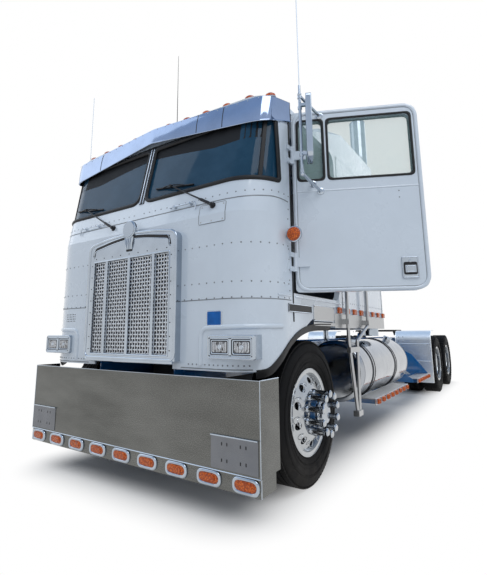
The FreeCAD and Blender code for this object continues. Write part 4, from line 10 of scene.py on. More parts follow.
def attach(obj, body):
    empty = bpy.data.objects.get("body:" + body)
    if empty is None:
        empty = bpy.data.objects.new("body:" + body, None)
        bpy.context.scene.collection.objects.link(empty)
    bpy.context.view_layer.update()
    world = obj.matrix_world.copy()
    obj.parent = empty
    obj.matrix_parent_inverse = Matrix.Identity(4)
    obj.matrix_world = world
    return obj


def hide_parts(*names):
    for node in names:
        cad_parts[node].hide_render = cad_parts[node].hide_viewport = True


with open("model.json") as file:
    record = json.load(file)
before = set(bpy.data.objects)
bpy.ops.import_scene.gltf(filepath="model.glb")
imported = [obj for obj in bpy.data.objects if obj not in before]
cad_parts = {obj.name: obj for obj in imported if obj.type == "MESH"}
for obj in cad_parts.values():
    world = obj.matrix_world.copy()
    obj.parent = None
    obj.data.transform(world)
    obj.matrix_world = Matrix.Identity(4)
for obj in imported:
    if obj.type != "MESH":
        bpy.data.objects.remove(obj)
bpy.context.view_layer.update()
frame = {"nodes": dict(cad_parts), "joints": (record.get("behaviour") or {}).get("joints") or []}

# Places are worked out from the frame: the steer axle, the ground and the joints
JOINTS = {joint["name"]: joint for joint in frame["joints"]}
AXLE = JOINTS["spin_front_left"]["pos_m"][1]
HUB_HIGH = JOINTS["spin_front_left"]["pos_m"][2]
GROUND = HUB_HIGH - 0.54
DOOR_OPEN = math.radians(64.8)


def at(x, y, z):
    """A point given off the middle, behind the steer axle and above the ground."""
    return Vector((x, AXLE + y, GROUND + z))


AHEAD, RISE = Vector((0, -1, 0)), Vector((0, 0, 1))


# Node trees
def fill(tree, node, values):
    """Links or sets the named inputs of a node."""
    for name, value in values.items():
        if isinstance(value, bpy.types.NodeSocket):
            tree.links.new(value, node.inputs[name])
        else:
            node.inputs[name].default_value = value


def add(tree, kind, inputs=None, **settings):
    """Adds a shader node, sets it up and links or fills its sockets."""
    node = tree.nodes.new(kind)
    for name, value in settings.items():
        setattr(node, name, value)
    fill(tree, node, inputs or {})
    return node


def mixed(tree, mask, low, high):
    """Blends two colours by a mask."""
    return add(tree, "ShaderNodeMix", {0: mask, 6: low, 7: high}, data_type="RGBA").outputs[2]


def ranged(tree, value, low, high, start=0.0, end=1.0):
    """Maps a value between start and end to the range from low to high."""
    sockets = {"Value": value, "From Min": start, "From Max": end, "To Min": low, "To Max": high}
    return add(tree, "ShaderNodeMapRange", sockets).outputs["Result"]


def math_of(tree, operation, first, second=0.0):
    return add(tree, "ShaderNodeMath", {0: first, 1: second}, operation=operation).outputs[0]


def place(tree, scale=(1.0, 1.0, 1.0)):
    """The piece's own coordinates in metres, scaled along each axis."""
    coordinates = add(tree, "ShaderNodeTexCoord").outputs["Object"]
    return add(tree, "ShaderNodeMapping", {"Vector": coordinates, "Scale": scale}).outputs[0]


def noise(tree, vector, scale, detail=3.0, roughness=0.5):
    sockets = {"Vector": vector, "Scale": scale, "Detail": detail, "Roughness": roughness}
    return add(tree, "ShaderNodeTexNoise", sockets).outputs["Fac"]


def effect(name, takes, gives):
    """An empty shader node group with named sockets."""
    tree = bpy.data.node_groups.new(name, "ShaderNodeTree")
    for label, kind, value in takes:
        socket = tree.interface.new_socket(label, in_out="INPUT", socket_type="NodeSocket" + kind)
        socket.default_value = value
    for label, kind in gives:
        tree.interface.new_socket(label, in_out="OUTPUT", socket_type="NodeSocket" + kind)
    return tree, tree.nodes.new("NodeGroupInput").outputs, tree.nodes.new("NodeGroupOutput").inputs


def effect_patches():
    """Soft uneven patches, as fingerprints and haze leave them."""
    tree, takes, gives = effect(
        "Uneven patches",
        [("Scale", "Float", 3.0), ("Start", "Float", 0.4), ("End", "Float", 0.7)],
        [("Mask", "Float")],
    )
    cloud = noise(tree, place(tree), takes["Scale"], detail=5.0, roughness=0.6)
    mask = ranged(tree, cloud, 0.0, 1.0, takes["Start"], takes["End"])
    tree.links.new(mask, gives["Mask"])
    return tree


def effect_dust():
    """Road dust that thickens towards the ground."""
    tree, takes, gives = effect(
        "Road dust",
        [
            ("Color", "Color", (0.5, 0.5, 0.5, 1)),
            ("Dust", "Color", (0.35, 0.31, 0.26, 1)),
            ("Foot", "Float", -1.2), ("Reach", "Float", 1.0), ("Amount", "Float", 0.3),
        ],
        [("Color", "Color"), ("Mask", "Float")],
    )
    height = add(tree, "ShaderNodeSeparateXYZ", {0: place(tree)}).outputs["Z"]
    above = math_of(tree, "SUBTRACT", height, takes["Foot"])
    low = ranged(tree, math_of(tree, "DIVIDE", above, takes["Reach"]), 1.0, 0.0)
    cloud = ranged(tree, noise(tree, place(tree), 9.0, detail=7.0, roughness=0.65), 0.0, 1.0, 0.35, 0.7)
    mask = math_of(tree, "MULTIPLY", math_of(tree, "MULTIPLY", low, cloud), takes["Amount"])
    tree.links.new(mixed(tree, mask, takes["Color"], takes["Dust"]), gives["Color"])
    tree.links.new(mask, gives["Mask"])
    return tree


def effect_sheet():
    """Slow waviness of a rolled or pressed sheet."""
    tree, takes, gives = effect("Sheet waviness", [("Scale", "Float", 2.0)], [("Height", "Float")])
    tree.links.new(noise(tree, place(tree), takes["Scale"], detail=1.0), gives["Height"])
    return tree


def effect_brushing():
    """Fine lines left by a brush or a buffing wheel, drawn out along X and Y."""
    tree, takes, gives = effect(
        "Brushed lines",
        [("Scale", "Float", 60.0), ("Lean", "Float", 1.0)],
        [("Height", "Float"), ("Shade", "Float")],
    )
    lines = noise(tree, place(tree, (0.06, 0.06, 1.0)), takes["Scale"], detail=6.0, roughness=0.7)
    tree.links.new(lines, gives["Height"])
    tree.links.new(math_of(tree, "MULTIPLY", lines, takes["Lean"]), gives["Shade"])
    return tree


def effect_grain():
    """Fine grain of moulded rubber, leather or cast metal."""
    tree, takes, gives = effect("Moulded grain", [("Scale", "Float", 300.0)], [("Height", "Float")])
    cells = add(tree, "ShaderNodeTexVoronoi", {"Vector": place(tree), "Scale": takes["Scale"]})
    fine = noise(tree, place(tree), takes["Scale"], detail=4.0)
    tree.links.new(math_of(tree, "ADD", cells.outputs["Distance"], fine), gives["Height"])
    return tree


def effect_weave():
    """Over-and-under threads of a woven cloth."""
    tree, takes, gives = effect(
        "Woven threads", [("Scale", "Float", 260.0)], [("Height", "Float"), ("Shade", "Float")]
    )
    heights = []
    for axis in ("X", "Z"):
        sockets = {"Vector": place(tree, (1.0, 0.7, 1.0)), "Scale": takes["Scale"], "Distortion": 0.6}
        wave = add(tree, "ShaderNodeTexWave", sockets, bands_direction=axis)
        heights.append(wave.outputs["Fac"])
    height = math_of(tree, "MAXIMUM", heights[0], heights[1])
    tree.links.new(height, gives["Height"])
    tree.links.new(math_of(tree, "MULTIPLY", height, 0.8), gives["Shade"])
    return tree


PATCHES = effect_patches()
DUST = effect_dust()
SHEET = effect_sheet()
BRUSHING = effect_brushing()
GRAIN = effect_grain()
WEAVING = effect_weave()


def placed(tree, group, **values):
    """An effect placed in a material with its own values."""
    node = tree.nodes.new("ShaderNodeGroup")
    node.node_tree = group
    fill(tree, node, values)
    return node.outputs


def bumped(tree, height, distance, strength=1.0, under=None):
    sockets = {"Height": height, "Distance": distance, "Strength": strength}
    if under is not None:
        sockets["Normal"] = under
    return add(tree, "ShaderNodeBump", sockets).outputs["Normal"]


def finish(name, **plain):
    """A material with one Principled shader, its plain values set on the shader itself."""
    material = bpy.data.materials.new(name)
    material.use_nodes = True
    shader = material.node_tree.nodes["Principled BSDF"]
    for label, value in plain.items():
        shader.inputs[label.replace("_", " ")].default_value = value
    return material, material.node_tree, shader


def joined(tree, shader, **sockets):
    for label, socket in sockets.items():
        tree.links.new(socket, shader.inputs[label.replace("_", " ")])


# Finishes
def paint(name, color, dust_amount, dust_reach):
    """Gloss vehicle paint under clear coat: orange peel, haze and road dust low down."""
    material, tree, shader = finish(name, Coat_Weight=1.0, Coat_Roughness=0.04, Specular_IOR_Level=0.5)
    haze = placed(tree, PATCHES, Scale=2.2)["Mask"]
    shade = mixed(tree, haze, color, [channel * 0.94 for channel in color[:3]] + [1])
    dusty = placed(tree, DUST, Color=shade, Foot=GROUND, Reach=dust_reach, Amount=dust_amount)
    peel = noise(tree, place(tree), 420.0, detail=2.0)
    joined(
        tree, shader,
        Base_Color=dusty["Color"],
        Roughness=ranged(tree, haze, 0.26, 0.36),
        Normal=bumped(tree, placed(tree, SHEET, Scale=2.6)["Height"], 0.0035, 1.0,
                      bumped(tree, peel, 0.00025)),
    )
    return material


def polished(name, color, rough, ripple, dust_amount=0.12, dust_reach=0.9):
    """Mirror-polished metal: waviness, haze that dulls it in patches, dust low down."""
    material, tree, shader = finish(name, Metallic=1.0)
    haze = placed(tree, PATCHES, Scale=5.0, Start=0.42, End=0.72)["Mask"]
    shade = mixed(tree, haze, color, [channel * 0.86 for channel in color[:3]] + [1])
    dusty = placed(tree, DUST, Color=shade, Foot=GROUND, Reach=dust_reach, Amount=dust_amount)
    wave = bumped(tree, placed(tree, SHEET, Scale=6.0)["Height"], ripple)
    joined(
        tree, shader,
        Base_Color=dusty["Color"],
        Roughness=ranged(tree, haze, rough, rough + 0.09),
        Normal=wave,
    )
    return material


def brushed(name, color, rough):
    """Brushed stainless steel."""
    material, tree, shader = finish(name, Metallic=1.0)
    lines = placed(tree, BRUSHING, Scale=420.0, Lean=1.0)
    shade = mixed(tree, lines["Shade"], color, [channel * 0.7 for channel in color[:3]] + [1])
    joined(
        tree, shader,
        Base_Color=shade,
        Roughness=ranged(tree, lines["Shade"], rough, rough + 0.15),
        Normal=bumped(tree, lines["Height"], 0.0002),
    )
    return material


def bumper_steel():
    """The deep bumper's plate: polished steel whose dark base colour paints cloudy reflections in patches,
    with a fine speckle, so that it reads as a grey mirror.
    """
    material, tree, shader = finish("Bumper steel", Metallic=1.0)
    painted_reflection_clouds = noise(tree, place(tree, (0.6, 1.0, 2.0)), 2.4, detail=5.0, roughness=0.62)
    speckle = noise(tree, place(tree), 190.0, detail=3.0, roughness=0.6)
    mask = ranged(tree, painted_reflection_clouds, 0.0, 1.0, 0.3, 0.7)
    # Painted reflection: dark and lighter clouds in the base colour stand for what the steel mirrors.
    shade = mixed(tree, mask, (0.070, 0.072, 0.068, 1), (0.150, 0.153, 0.146, 1))
    fine = mixed(tree, ranged(tree, speckle, 0.0, 0.6, 0.35, 0.7), shade, (0.21, 0.21, 0.20, 1))
    joined(
        tree, shader,
        Base_Color=fine,
        Roughness=ranged(tree, speckle, 0.16, 0.34, 0.3, 0.7),
        Normal=bumped(tree, placed(tree, SHEET, Scale=3.0)["Height"], 0.004),
    )
    return material


def tyre_rubber():
    """Tyre rubber: fine grain, a faint grey bloom and dust near the ground."""
    material, tree, shader = finish("Tyre rubber", Specular_IOR_Level=0.1)
    bloom = placed(tree, PATCHES, Scale=6.0, Start=0.35, End=0.75)["Mask"]
    shade = mixed(tree, bloom, (0.004, 0.004, 0.005, 1), (0.009, 0.009, 0.009, 1))
    dusty = placed(
        tree, DUST, Color=shade, Dust=(0.12, 0.105, 0.09, 1), Foot=GROUND, Reach=0.5, Amount=0.25
    )
    joined(
        tree, shader,
        Base_Color=dusty["Color"],
        Roughness=ranged(tree, bloom, 0.60, 0.78),
        Normal=bumped(tree, placed(tree, GRAIN, Scale=260.0)["Height"], 0.0004),
    )
    return material


def moulded(name, color, rough, grain_scale, grain_depth):
    """Moulded rubber, plastic or rough cast metal with a fine grain."""
    material, tree, shader = finish(name, Specular_IOR_Level=0.25)
    patches = placed(tree, PATCHES, Scale=8.0)["Mask"]
    lighter = [min(1.0, channel * 1.5 + 0.006) for channel in color[:3]] + [1]
    joined(
        tree, shader,
        Base_Color=mixed(tree, patches, color, lighter),
        Roughness=ranged(tree, patches, rough, rough + 0.14),
        Normal=bumped(tree, placed(tree, GRAIN, Scale=grain_scale)["Height"], grain_depth),
    )
    return material


def cloth(name, dark, light):
    """Woven seat cloth with thread colour, worn patches and the sheen of short fibres."""
    material, tree, shader = finish(name, Specular_IOR_Level=0.15, Sheen_Weight=0.3)
    threads = placed(tree, WEAVING, Scale=240.0)
    worn = placed(tree, PATCHES, Scale=5.0, Start=0.35, End=0.8)["Mask"]
    woven_color = mixed(tree, threads["Shade"], dark, light)
    lighter = [min(1.0, channel * 1.3 + 0.01) for channel in light[:3]] + [1]
    faded = math_of(tree, "MULTIPLY", worn, 0.4)
    joined(
        tree, shader,
        Base_Color=mixed(tree, faded, woven_color, lighter),
        Roughness=ranged(tree, worn, 0.78, 0.92),
        Normal=bumped(tree, threads["Height"], 0.0006),
    )
    return material


def tinted_glass(name, color, alpha):
    """Tinted pane: see-through by its alpha, with a faint uneven haze."""
    material, tree, shader = finish(name, Metallic=0.0, IOR=1.5, Specular_IOR_Level=0.22)
    haze = placed(tree, PATCHES, Scale=4.0, Start=0.45, End=0.8)["Mask"]
    lighter = [channel * 1.25 + 0.01 for channel in color[:3]] + [1]
    joined(
        tree, shader,
        Base_Color=mixed(tree, haze, color, lighter),
        Roughness=ranged(tree, haze, 0.03, 0.10),
        Alpha=ranged(tree, haze, alpha, min(1.0, alpha + 0.05)),
    )
    return material


def lamp_glass():
    """Headlamp glass: fluted moulded glass whose base colour paints the reflector behind it as bright and
    dark bands, a painted reflection.
    """
    material, tree, shader = finish("Headlamp glass", Metallic=0.75, Coat_Weight=1.0, Coat_Roughness=0.03)
    flutes = add(
        tree,
        "ShaderNodeTexWave",
        {"Vector": place(tree, (1.0, 1.0, 0.15)), "Scale": 26.0, "Distortion": 3.0, "Detail": 3.0},
        bands_direction="X",
    ).outputs["Fac"]
    facets = add(tree, "ShaderNodeTexVoronoi", {"Vector": place(tree, (1.0, 1.0, 0.7)), "Scale": 44.0})
    # Painted reflection: the flute and facet mask sets bright and dark bands in the base colour.
    mask = math_of(
        tree, "MULTIPLY", flutes, ranged(tree, facets.outputs["Distance"], -0.25, 1.25, 0.05, 0.55)
    )
    joined(
        tree, shader,
        Base_Color=mixed(tree, mask, (0.015, 0.016, 0.018, 1), (0.72, 0.75, 0.80, 1)),
        Roughness=ranged(tree, facets.outputs["Distance"], 0.08, 0.30),
        Normal=bumped(tree, math_of(tree, "ADD", flutes, facets.outputs["Distance"]), 0.004),
    )
    return material


def amber_lens():
    """Amber lamp lens with moulded beads; each bead's middle is painted brighter and given a faint glow, a
    painted glint.
    """
    material, tree, shader = finish(
        "Amber lens", Specular_IOR_Level=0.3, Coat_Weight=0.2, Coat_Roughness=0.05, Subsurface_Weight=0.0
    )
    beads = add(tree, "ShaderNodeTexVoronoi", {"Vector": place(tree), "Scale": 95.0}).outputs["Distance"]
    # Painted highlight: bead middles are lighter in base colour and in emission.
    painted_bead_glint = ranged(tree, beads, 1.0, 0.0, 0.1, 0.6)
    shade = mixed(tree, painted_bead_glint, (0.40, 0.055, 0.001, 1), (0.80, 0.17, 0.006, 1))
    joined(
        tree, shader,
        Base_Color=shade,
        Emission_Color=mixed(tree, painted_bead_glint, (0.02, 0.002, 0, 1), (0.20, 0.04, 0.001, 1)),
        Roughness=ranged(tree, beads, 0.12, 0.3),
        Normal=bumped(tree, beads, 0.004),
    )
    # The emission makes the painted bead glints glow.
    shader.inputs["Emission Strength"].default_value = 0.6
    return material


# The cab's white paint is written as a bluish grey: painted skylight shade over white.
WHITE = paint("White cab paint", (0.66, 0.735, 0.82, 1), 0.25, 1.3)
BLUE = paint("Blue chassis paint", (0.006, 0.13, 0.36, 1), 0.35, 0.9)
# The chrome's base colour is darkened and tinted blue: a painted reflection of the sky.
CHROME = polished("Chrome plate", (0.43, 0.48, 0.54, 1), 0.05, 0.0012)
# The visor's blue is a painted reflection of the sky on its polished sheet.
VISOR = polished("Visor mirror", (0.33, 0.40, 0.54, 1), 0.07, 0.002, 0.0)
TANK = polished("Polished tank", (0.40, 0.42, 0.45, 1), 0.08, 0.0025, 0.25, 0.8)
ALLOY = polished("Polished wheel alloy", (0.46, 0.48, 0.50, 1), 0.13, 0.0008, 0.2, 0.8)
FENDER = polished("Polished fender", (0.92, 0.95, 0.97, 1), 0.34, 0.003, 0.2, 0.9)
STAINLESS = brushed("Brushed stainless", (0.50, 0.51, 0.52, 1), 0.22)
BUMPER = bumper_steel()
LUG_CHROME = polished("Lug cover chrome", (0.42, 0.45, 0.49, 1), 0.05, 0.0012)
WEAVE = polished("Woven stainless", (0.50, 0.53, 0.57, 1), 0.22, 0.0006)
HOLDER = polished("Plate holder steel", (0.17, 0.18, 0.20, 1), 0.24, 0.0015)
MIRROR = polished("Mirror glass", (0.72, 0.76, 0.80, 1), 0.015, 0.0, 0.0)
LAMP_GLASS = lamp_glass()
TYRE = tyre_rubber()
SEAL = moulded("Black rubber seal", (0.010, 0.010, 0.011, 1), 0.42, 500.0, 0.0002)
TAG_BLUE = moulded("Blue tag", (0.004, 0.10, 0.36, 1), 0.45, 500.0, 0.0001)
PLASTIC = moulded("Black plastic", (0.012, 0.012, 0.014, 1), 0.36, 700.0, 0.0001)
CAST = moulded("Cast iron", (0.030, 0.032, 0.036, 1), 0.55, 160.0, 0.0006)
BLACK = moulded("Black chassis metal", (0.012, 0.012, 0.013, 1), 0.4, 240.0, 0.0003)
TRIM_GREY = moulded("Grey cab trim", (0.09, 0.095, 0.10, 1), 0.55, 420.0, 0.0003)
# Grey seam lines, groove outlines, rivet heads and screws on the white skin: painted shade of the seams and
# rivets.
SEAM_SHADE = moulded("Seam filler", (0.20, 0.215, 0.23, 1), 0.5, 300.0, 0.0002)
SEAT_CLOTH = cloth("Grey seat cloth", (0.035, 0.037, 0.041, 1), (0.12, 0.125, 0.135, 1))
BUNK_CLOTH = cloth("Bunk ticking", (0.07, 0.075, 0.085, 1), (0.20, 0.21, 0.23, 1))
# Near-black film for the strips on the glass: part sun strip tint, part painted shade of the visor.
STRIP_TINT_AND_SHADE = moulded("Sun strip tint", (0.003, 0.004, 0.006, 1), 0.6, 500.0, 0.00005)
# The windshield is tinted and also nearly opaque and dark: it paints the shade of the cab's inside over the
# pane.
SHIELD = tinted_glass("Windshield tint", (0.012, 0.055, 0.105, 1), 0.92)
PANE = tinted_glass("Door window tint", (0.45, 0.62, 0.60, 1), 0.30)
AMBER = amber_lens()

CAD_FINISHES = {
    WHITE: [
        "cab_front", "cab_side_left", "cab_side_right", "cab_back", "cab_roof", "door_left", "door_right"
    ],
    BLUE: ["frame_rails", "front_axle", "drive_axles", "cab_floor"],
    CHROME: ["grille_surround", "headlamps", "door_fittings_left", "door_fittings_right", "exhaust_stacks"],
    VISOR: ["sun_visor"],
    TANK: ["fuel_tanks"],
    ALLOY: [node for node in frame["nodes"] if node.startswith("wheel")],
    FENDER: ["quarter_fenders"],
    STAINLESS: ["grille_mesh", "side_trim", "running_boards"],
    BUMPER: ["bumper"],
    TYRE: [node for node in frame["nodes"] if node.startswith("tyre")],
    SEAL: ["arch_lips"],
    PLASTIC: ["wipers_and_aerial", "dashboard"],
    CAST: ["engine_block", "knuckle_left", "knuckle_right"],
    BLACK: ["radiator", "fifth_wheel_plate"],
    TRIM_GREY: ["seats_and_bunk"],
    SHIELD: ["windshield"],
    PANE: ["door_glass_left", "door_glass_right"],
    AMBER: ["chassis_lamps", "cab_lamps"],
}
for material, names in CAD_FINISHES.items():
    for name in names:
        data = frame["nodes"][name].data
        data.materials.clear()
        data.materials.append(material)


# Forms: points and faces gathered for one piece, then made into one mesh
class Form:
    """The points and faces of one piece while it is put together."""

    def __init__(self, points=(), faces=()):
        self.points = []
        self.faces = []
        self.take(points, faces)

    def take(self, points, faces):
        base = len(self.points)
        self.points.extend(Vector(point) for point in points)
        self.faces.extend([base + corner for corner in face] for face in faces)
        return self

    def join(self, *others):
        for other in others:
            self.take(other.points, other.faces)
        return self

    def placed(self, matrix):
        return Form([matrix @ point for point in self.points], self.faces)

    def mirrored(self):
        """This form and its twin on the truck's other side."""
        return Form().join(self, self.placed(Matrix.Scale(-1, 4, (1, 0, 0))))


def band(rows, around=True, capped=False, along=False):
    """Faces that join rows of equal length; around closes each row, along closes the rows."""
    count = len(rows[0])
    faces = []
    for r in range(len(rows) if along else len(rows) - 1):
        after = (r + 1) % len(rows)
        for c in range(count if around else count - 1):
            nxt = (c + 1) % count
            faces.append([r * count + c, r * count + nxt, after * count + nxt, after * count + c])
    if capped:
        faces.append(list(range(count)))
        faces.append([(len(rows) - 1) * count + c for c in range(count)])
    return Form([point for row in rows for point in row], faces)


def circle(radius, sides):
    turns = [math.tau * k / sides for k in range(sides)]
    return [(radius * math.cos(turn), radius * math.sin(turn)) for turn in turns]


def bead(width, high, steps=6):
    """A half-round section that stands on a surface."""
    turns = [math.pi * k / steps for k in range(steps + 1)]
    return [(width / 2 * math.cos(turn), high * math.sin(turn)) for turn in turns]


def strip(width, high, edge=0.001):
    """A flat section with softened top edges that stands on a surface."""
    half = width / 2
    return [
        (half, 0), (half, high - edge), (half - edge, high), (edge - half, high),
        (-half, high - edge), (-half, 0),
    ]


def swept(path, section, closed=False, up=None):
    """A section carried along a path; up, where given, keeps the section's second axis fixed."""
    count = len(path)
    rows = []
    side = None
    for k, point in enumerate(path):
        before = path[k - 1] if closed or k else point
        after = path[(k + 1) % count] if closed or k < count - 1 else point
        ahead = (Vector(after) - Vector(before)).normalized()
        if up is not None:
            side = ahead.cross(Vector(up[k] if isinstance(up, list) else up)).normalized()
        elif side is None:
            side = ahead.orthogonal().normalized()
        else:
            side = (side - ahead * side.dot(ahead)).normalized()
        lift = side.cross(ahead)
        rows.append([Vector(point) + side * u + lift * v for u, v in section])
    return band(rows, capped=not closed, along=closed)


def tube(path, radius, sides=10, closed=False):
    return swept([Vector(point) for point in path], circle(radius, sides), closed)


def rounded_path(points, radius, steps=5, closed=False):
    """Straight runs with each corner rounded, by one radius or by one for each corner."""
    points = [Vector(point) for point in points]
    count = len(points)
    radii = radius if isinstance(radius, (list, tuple)) else [radius] * count
    out = []
    for k, corner in enumerate(points):
        if not closed and k in (0, count - 1):
            out.append(corner)
            continue
        back = points[k - 1] - corner
        on = points[(k + 1) % count] - corner
        reach = min(radii[k], back.length * 0.49, on.length * 0.49)
        start = corner + back.normalized() * reach
        end = corner + on.normalized() * reach
        for step in range(steps + 1):
            share = step / steps
            out.append(start.lerp(corner, share).lerp(corner.lerp(end, share), share))
    return out


def turned(profile, sides=24, axis="X"):
    """A profile of (along, radius) pairs revolved about an axis."""
    rows = []
    for along, radius in profile:
        spots = circle(max(radius, 1e-4), sides)
        if axis == "X":
            rows.append([(along, u, v) for u, v in spots])
        elif axis == "Y":
            rows.append([(u, along, v) for u, v in spots])
        else:
            rows.append([(u, v, along) for u, v in spots])
    return band(rows, capped=True)


def frame_of(width, height, corner, steps=4):
    """A rectangle with rounded corners, about its middle."""
    x, y = width / 2, height / 2
    path = rounded_path([(-x, -y, 0), (x, -y, 0), (x, y, 0), (-x, y, 0)], corner, steps, closed=True)
    return [(point.x, point.y) for point in path]


def drawn_in(outline, inset):
    """An outline about its middle, drawn in by a distance on each axis."""
    width = max(x for x, _ in outline)
    height = max(y for _, y in outline)
    return [(x * (width - inset) / width, y * (height - inset) / height) for x, y in outline]


def stacked(levels):
    """Outlines of equal length at rising heights, capped: (height, outline)."""
    return band([[(x, y, high) for x, y in outline] for high, outline in levels], capped=True)


def plate(outline, thick, edge=0.001):
    """A plate with a softened upper edge."""
    return stacked([(0, outline), (thick - edge, outline), (thick, drawn_in(outline, edge))])


def rim(outline, width, thick, steps=6):
    """A half-round rim that stands along an outline."""
    rows = []
    for k in range(steps + 1):
        turn = math.pi * k / steps
        inset = width / 2 * (1 - math.cos(turn))
        rows.append([(x, y, thick * math.sin(turn)) for x, y in drawn_in(outline, inset)])
    return band(rows)


def slab(low, high, edge=0.004):
    """A block between two points, with its edges taken off."""
    low, high = Vector(low), Vector(high)
    middle, size = (low + high) / 2, high - low
    outline = frame_of(size.x, size.y, edge * 1.5, 2)
    inner = drawn_in(outline, edge)
    half = size.z / 2
    form = stacked([(-half, inner), (edge - half, outline), (half - edge, outline), (half, inner)])
    return form.placed(Matrix.Translation(middle))


def facing(origin, outward, rise=(0, 0, 1)):
    """A matrix whose Z is outward and whose Y is as near to rise as it can be."""
    z = Vector(outward).normalized()
    x = Vector(rise).cross(z).normalized()
    matrix = Matrix((x, z.cross(x), z)).transposed().to_4x4()
    matrix.translation = Vector(origin)
    return matrix


def studs(spots, radius=0.0045, high=0.002, sides=8):
    """Low round heads at (point, outward) spots."""
    head = turned([(0, radius), (high * 0.6, radius * 0.85), (high, radius * 0.35)], sides, "Z")
    form = Form()
    for point, outward in spots:
        rise = (0, 1, 0) if abs(outward[2]) > 0.9 else (0, 0, 1)
        form.join(head.placed(facing(point, outward, rise)))
    return form


def meshed(name, form):
    mesh = bpy.data.meshes.new(name)
    mesh.from_pydata([tuple(point) for point in form.points], [], form.faces)
    return mesh


def stood(name, data):
    """A new object in the scene that shows the data."""
    thing = bpy.data.objects.new(name, data)
    bpy.context.collection.objects.link(thing)
    return thing


def piece(name, form, body, material, sharp=35.0, instead=None):
    """Makes the mesh, gives it its finish and slot, and lets it ride on its body."""
    mesh = meshed(name, form)
    mesh.validate()
    shell = bmesh.new()
    shell.from_mesh(mesh)
    bmesh.ops.recalc_face_normals(shell, faces=shell.faces)
    shell.to_mesh(mesh)
    shell.free()
    mesh.shade_smooth()
    mesh.set_sharp_from_angle(angle=math.radians(sharp))
    mesh.materials.append(material)
    thing = stood(name, mesh)
    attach(thing, body)
    if instead:
        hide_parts(instead)
    return thing


# The cab's face, from the middle round the corner and along the side
CAB_HALF = 1.205
CAB_FACE = -0.82
BELT = 1.985
WALL_TOP = 2.912
LEAN = 0.209
CORNER = 0.35


def cab_skin(along, high, out=0.0):
    """A point on the cab's face and its outward direction."""
    lean = LEAN * max(0.0, (high - BELT) / (WALL_TOP - BELT))
    turn = CORNER - lean * 0.6
    flat = CAB_HALF - turn
    reach = abs(along)
    angle = min(max((reach - flat) / turn, 0.0), math.pi / 2)
    x = min(reach, flat) + turn * math.sin(angle)
    y = CAB_FACE + lean + turn * (1 - math.cos(angle)) + max(0.0, reach - flat - turn * math.pi / 2)
    slope = LEAN / (WALL_TOP - BELT) * math.cos(angle) if high > BELT else 0.0
    side = math.copysign(1.0, along)
    outward = Vector((side * math.sin(angle), -math.cos(angle), slope)).normalized()
    return at(side * x, y, high) + outward * out, outward


def cab_strip(spots, section, out=0.0, closed=False):
    """A section laid on the cab's face along (along, high) spots."""
    hits = [cab_skin(along, high, out) for along, high in spots]
    return swept([point for point, _ in hits], section, closed, [outward for _, outward in hits])


def cab_panel(alongs, low, top, thick, out=0.0):
    """A sheet on the cab's face between two heights, each a function of along."""
    rows = []
    for along in alongs:
        levels = (
            (low(along), out), (top(along), out), (top(along), out + thick), (low(along), out + thick)
        )
        rows.append([cab_skin(along, high, off)[0] for high, off in levels])
    return band(rows, capped=True)


def fixed(high):
    """A height that stays the same along the face."""
    return lambda along: high


def spread(start, end, count):
    return [start + (end - start) * k / (count - 1) for k in range(count)]


def on_door(form, side):
    """A form drawn on the closed left door, put on the left one as parked or on the right one."""
    if side > 0:
        hinge = JOINTS["door_left_swing"]["pos_m"]
        pin = Matrix.Translation((hinge[0], hinge[1], 0))
        return form.placed(pin @ Matrix.Rotation(-DOOR_OPEN, 4, "Z") @ pin.inverted())
    return form.placed(Matrix.Scale(-1, 4, (1, 0, 0)))


# Cab's face: windshield rubbers, divider, posts, and dark strips that are part tint and part painted shade
# under the visor
SHIELD_LOW, SHIELD_TOP = 2.240, 2.760
SHIELD_IN = 0.032
SHIELD_END_LOW, SHIELD_END_TOP = 1.311, 1.220
SHIELD_SET = 0.015
POST_AT = 1.14


def dense(spots, step=0.03, closed=True):
    """The same flat path with its long runs divided, so that it can follow a curved face."""
    out = []
    for k, start in enumerate(spots):
        if not closed and k == len(spots) - 1:
            out.append(start)
            break
        end = spots[(k + 1) % len(spots)]
        run = math.dist(start, end)
        count = max(1, math.ceil(run / step))
        for step_at in range(count):
            share = step_at / count
            out.append(tuple(a + (b - a) * share for a, b in zip(start, end)))
    return out


def corner_arc(spots, radii, steps=6):
    """A closed flat outline with its own rounding at each corner."""
    out = []
    for k, corner in enumerate(spots):
        corner = Vector(corner)
        back = Vector(spots[k - 1]) - corner
        on = Vector(spots[(k + 1) % len(spots)]) - corner
        start = corner + back.normalized() * radii[k]
        end = corner + on.normalized() * radii[k]
        for step in range(steps + 1):
            share = step / steps
            out.append(tuple(start.lerp(corner, share).lerp(corner.lerp(end, share), share)))
    return out


def shield_outline(side):
    corners = [
        (side * SHIELD_IN, SHIELD_LOW), (side * SHIELD_END_LOW, SHIELD_LOW),
        (side * SHIELD_END_TOP, SHIELD_TOP), (side * SHIELD_IN, SHIELD_TOP),
    ]
    return dense(corner_arc(corners, (0.095, 0.03, 0.03, 0.0475)))


def shield_rubber():
    form = Form()
    for side in (1, -1):
        form.join(cab_strip(shield_outline(side), bead(0.036, 0.012, 6), 0.0, closed=True))
        form.join(cab_strip(shield_outline(side), strip(0.016, 0.012), -0.014, closed=True))
    piece("windshield_rubbers", form, "cab", SEAL)


def shield_divider():
    levels = spread(SHIELD_LOW - 0.012, SHIELD_TOP + 0.01, 12)
    post = cab_strip([(0.0, level) for level in levels], strip(0.058, 0.007, 0.002), 0.0)
    piece("divider_rubber", post, "cab", SEAL)
    beads = Form()
    for off in (-0.017, 0.017):
        beads.join(cab_strip([(off, level) for level in levels], bead(0.009, 0.005), 0.006))
    piece("divider_bright_beads", beads, "cab", CHROME)


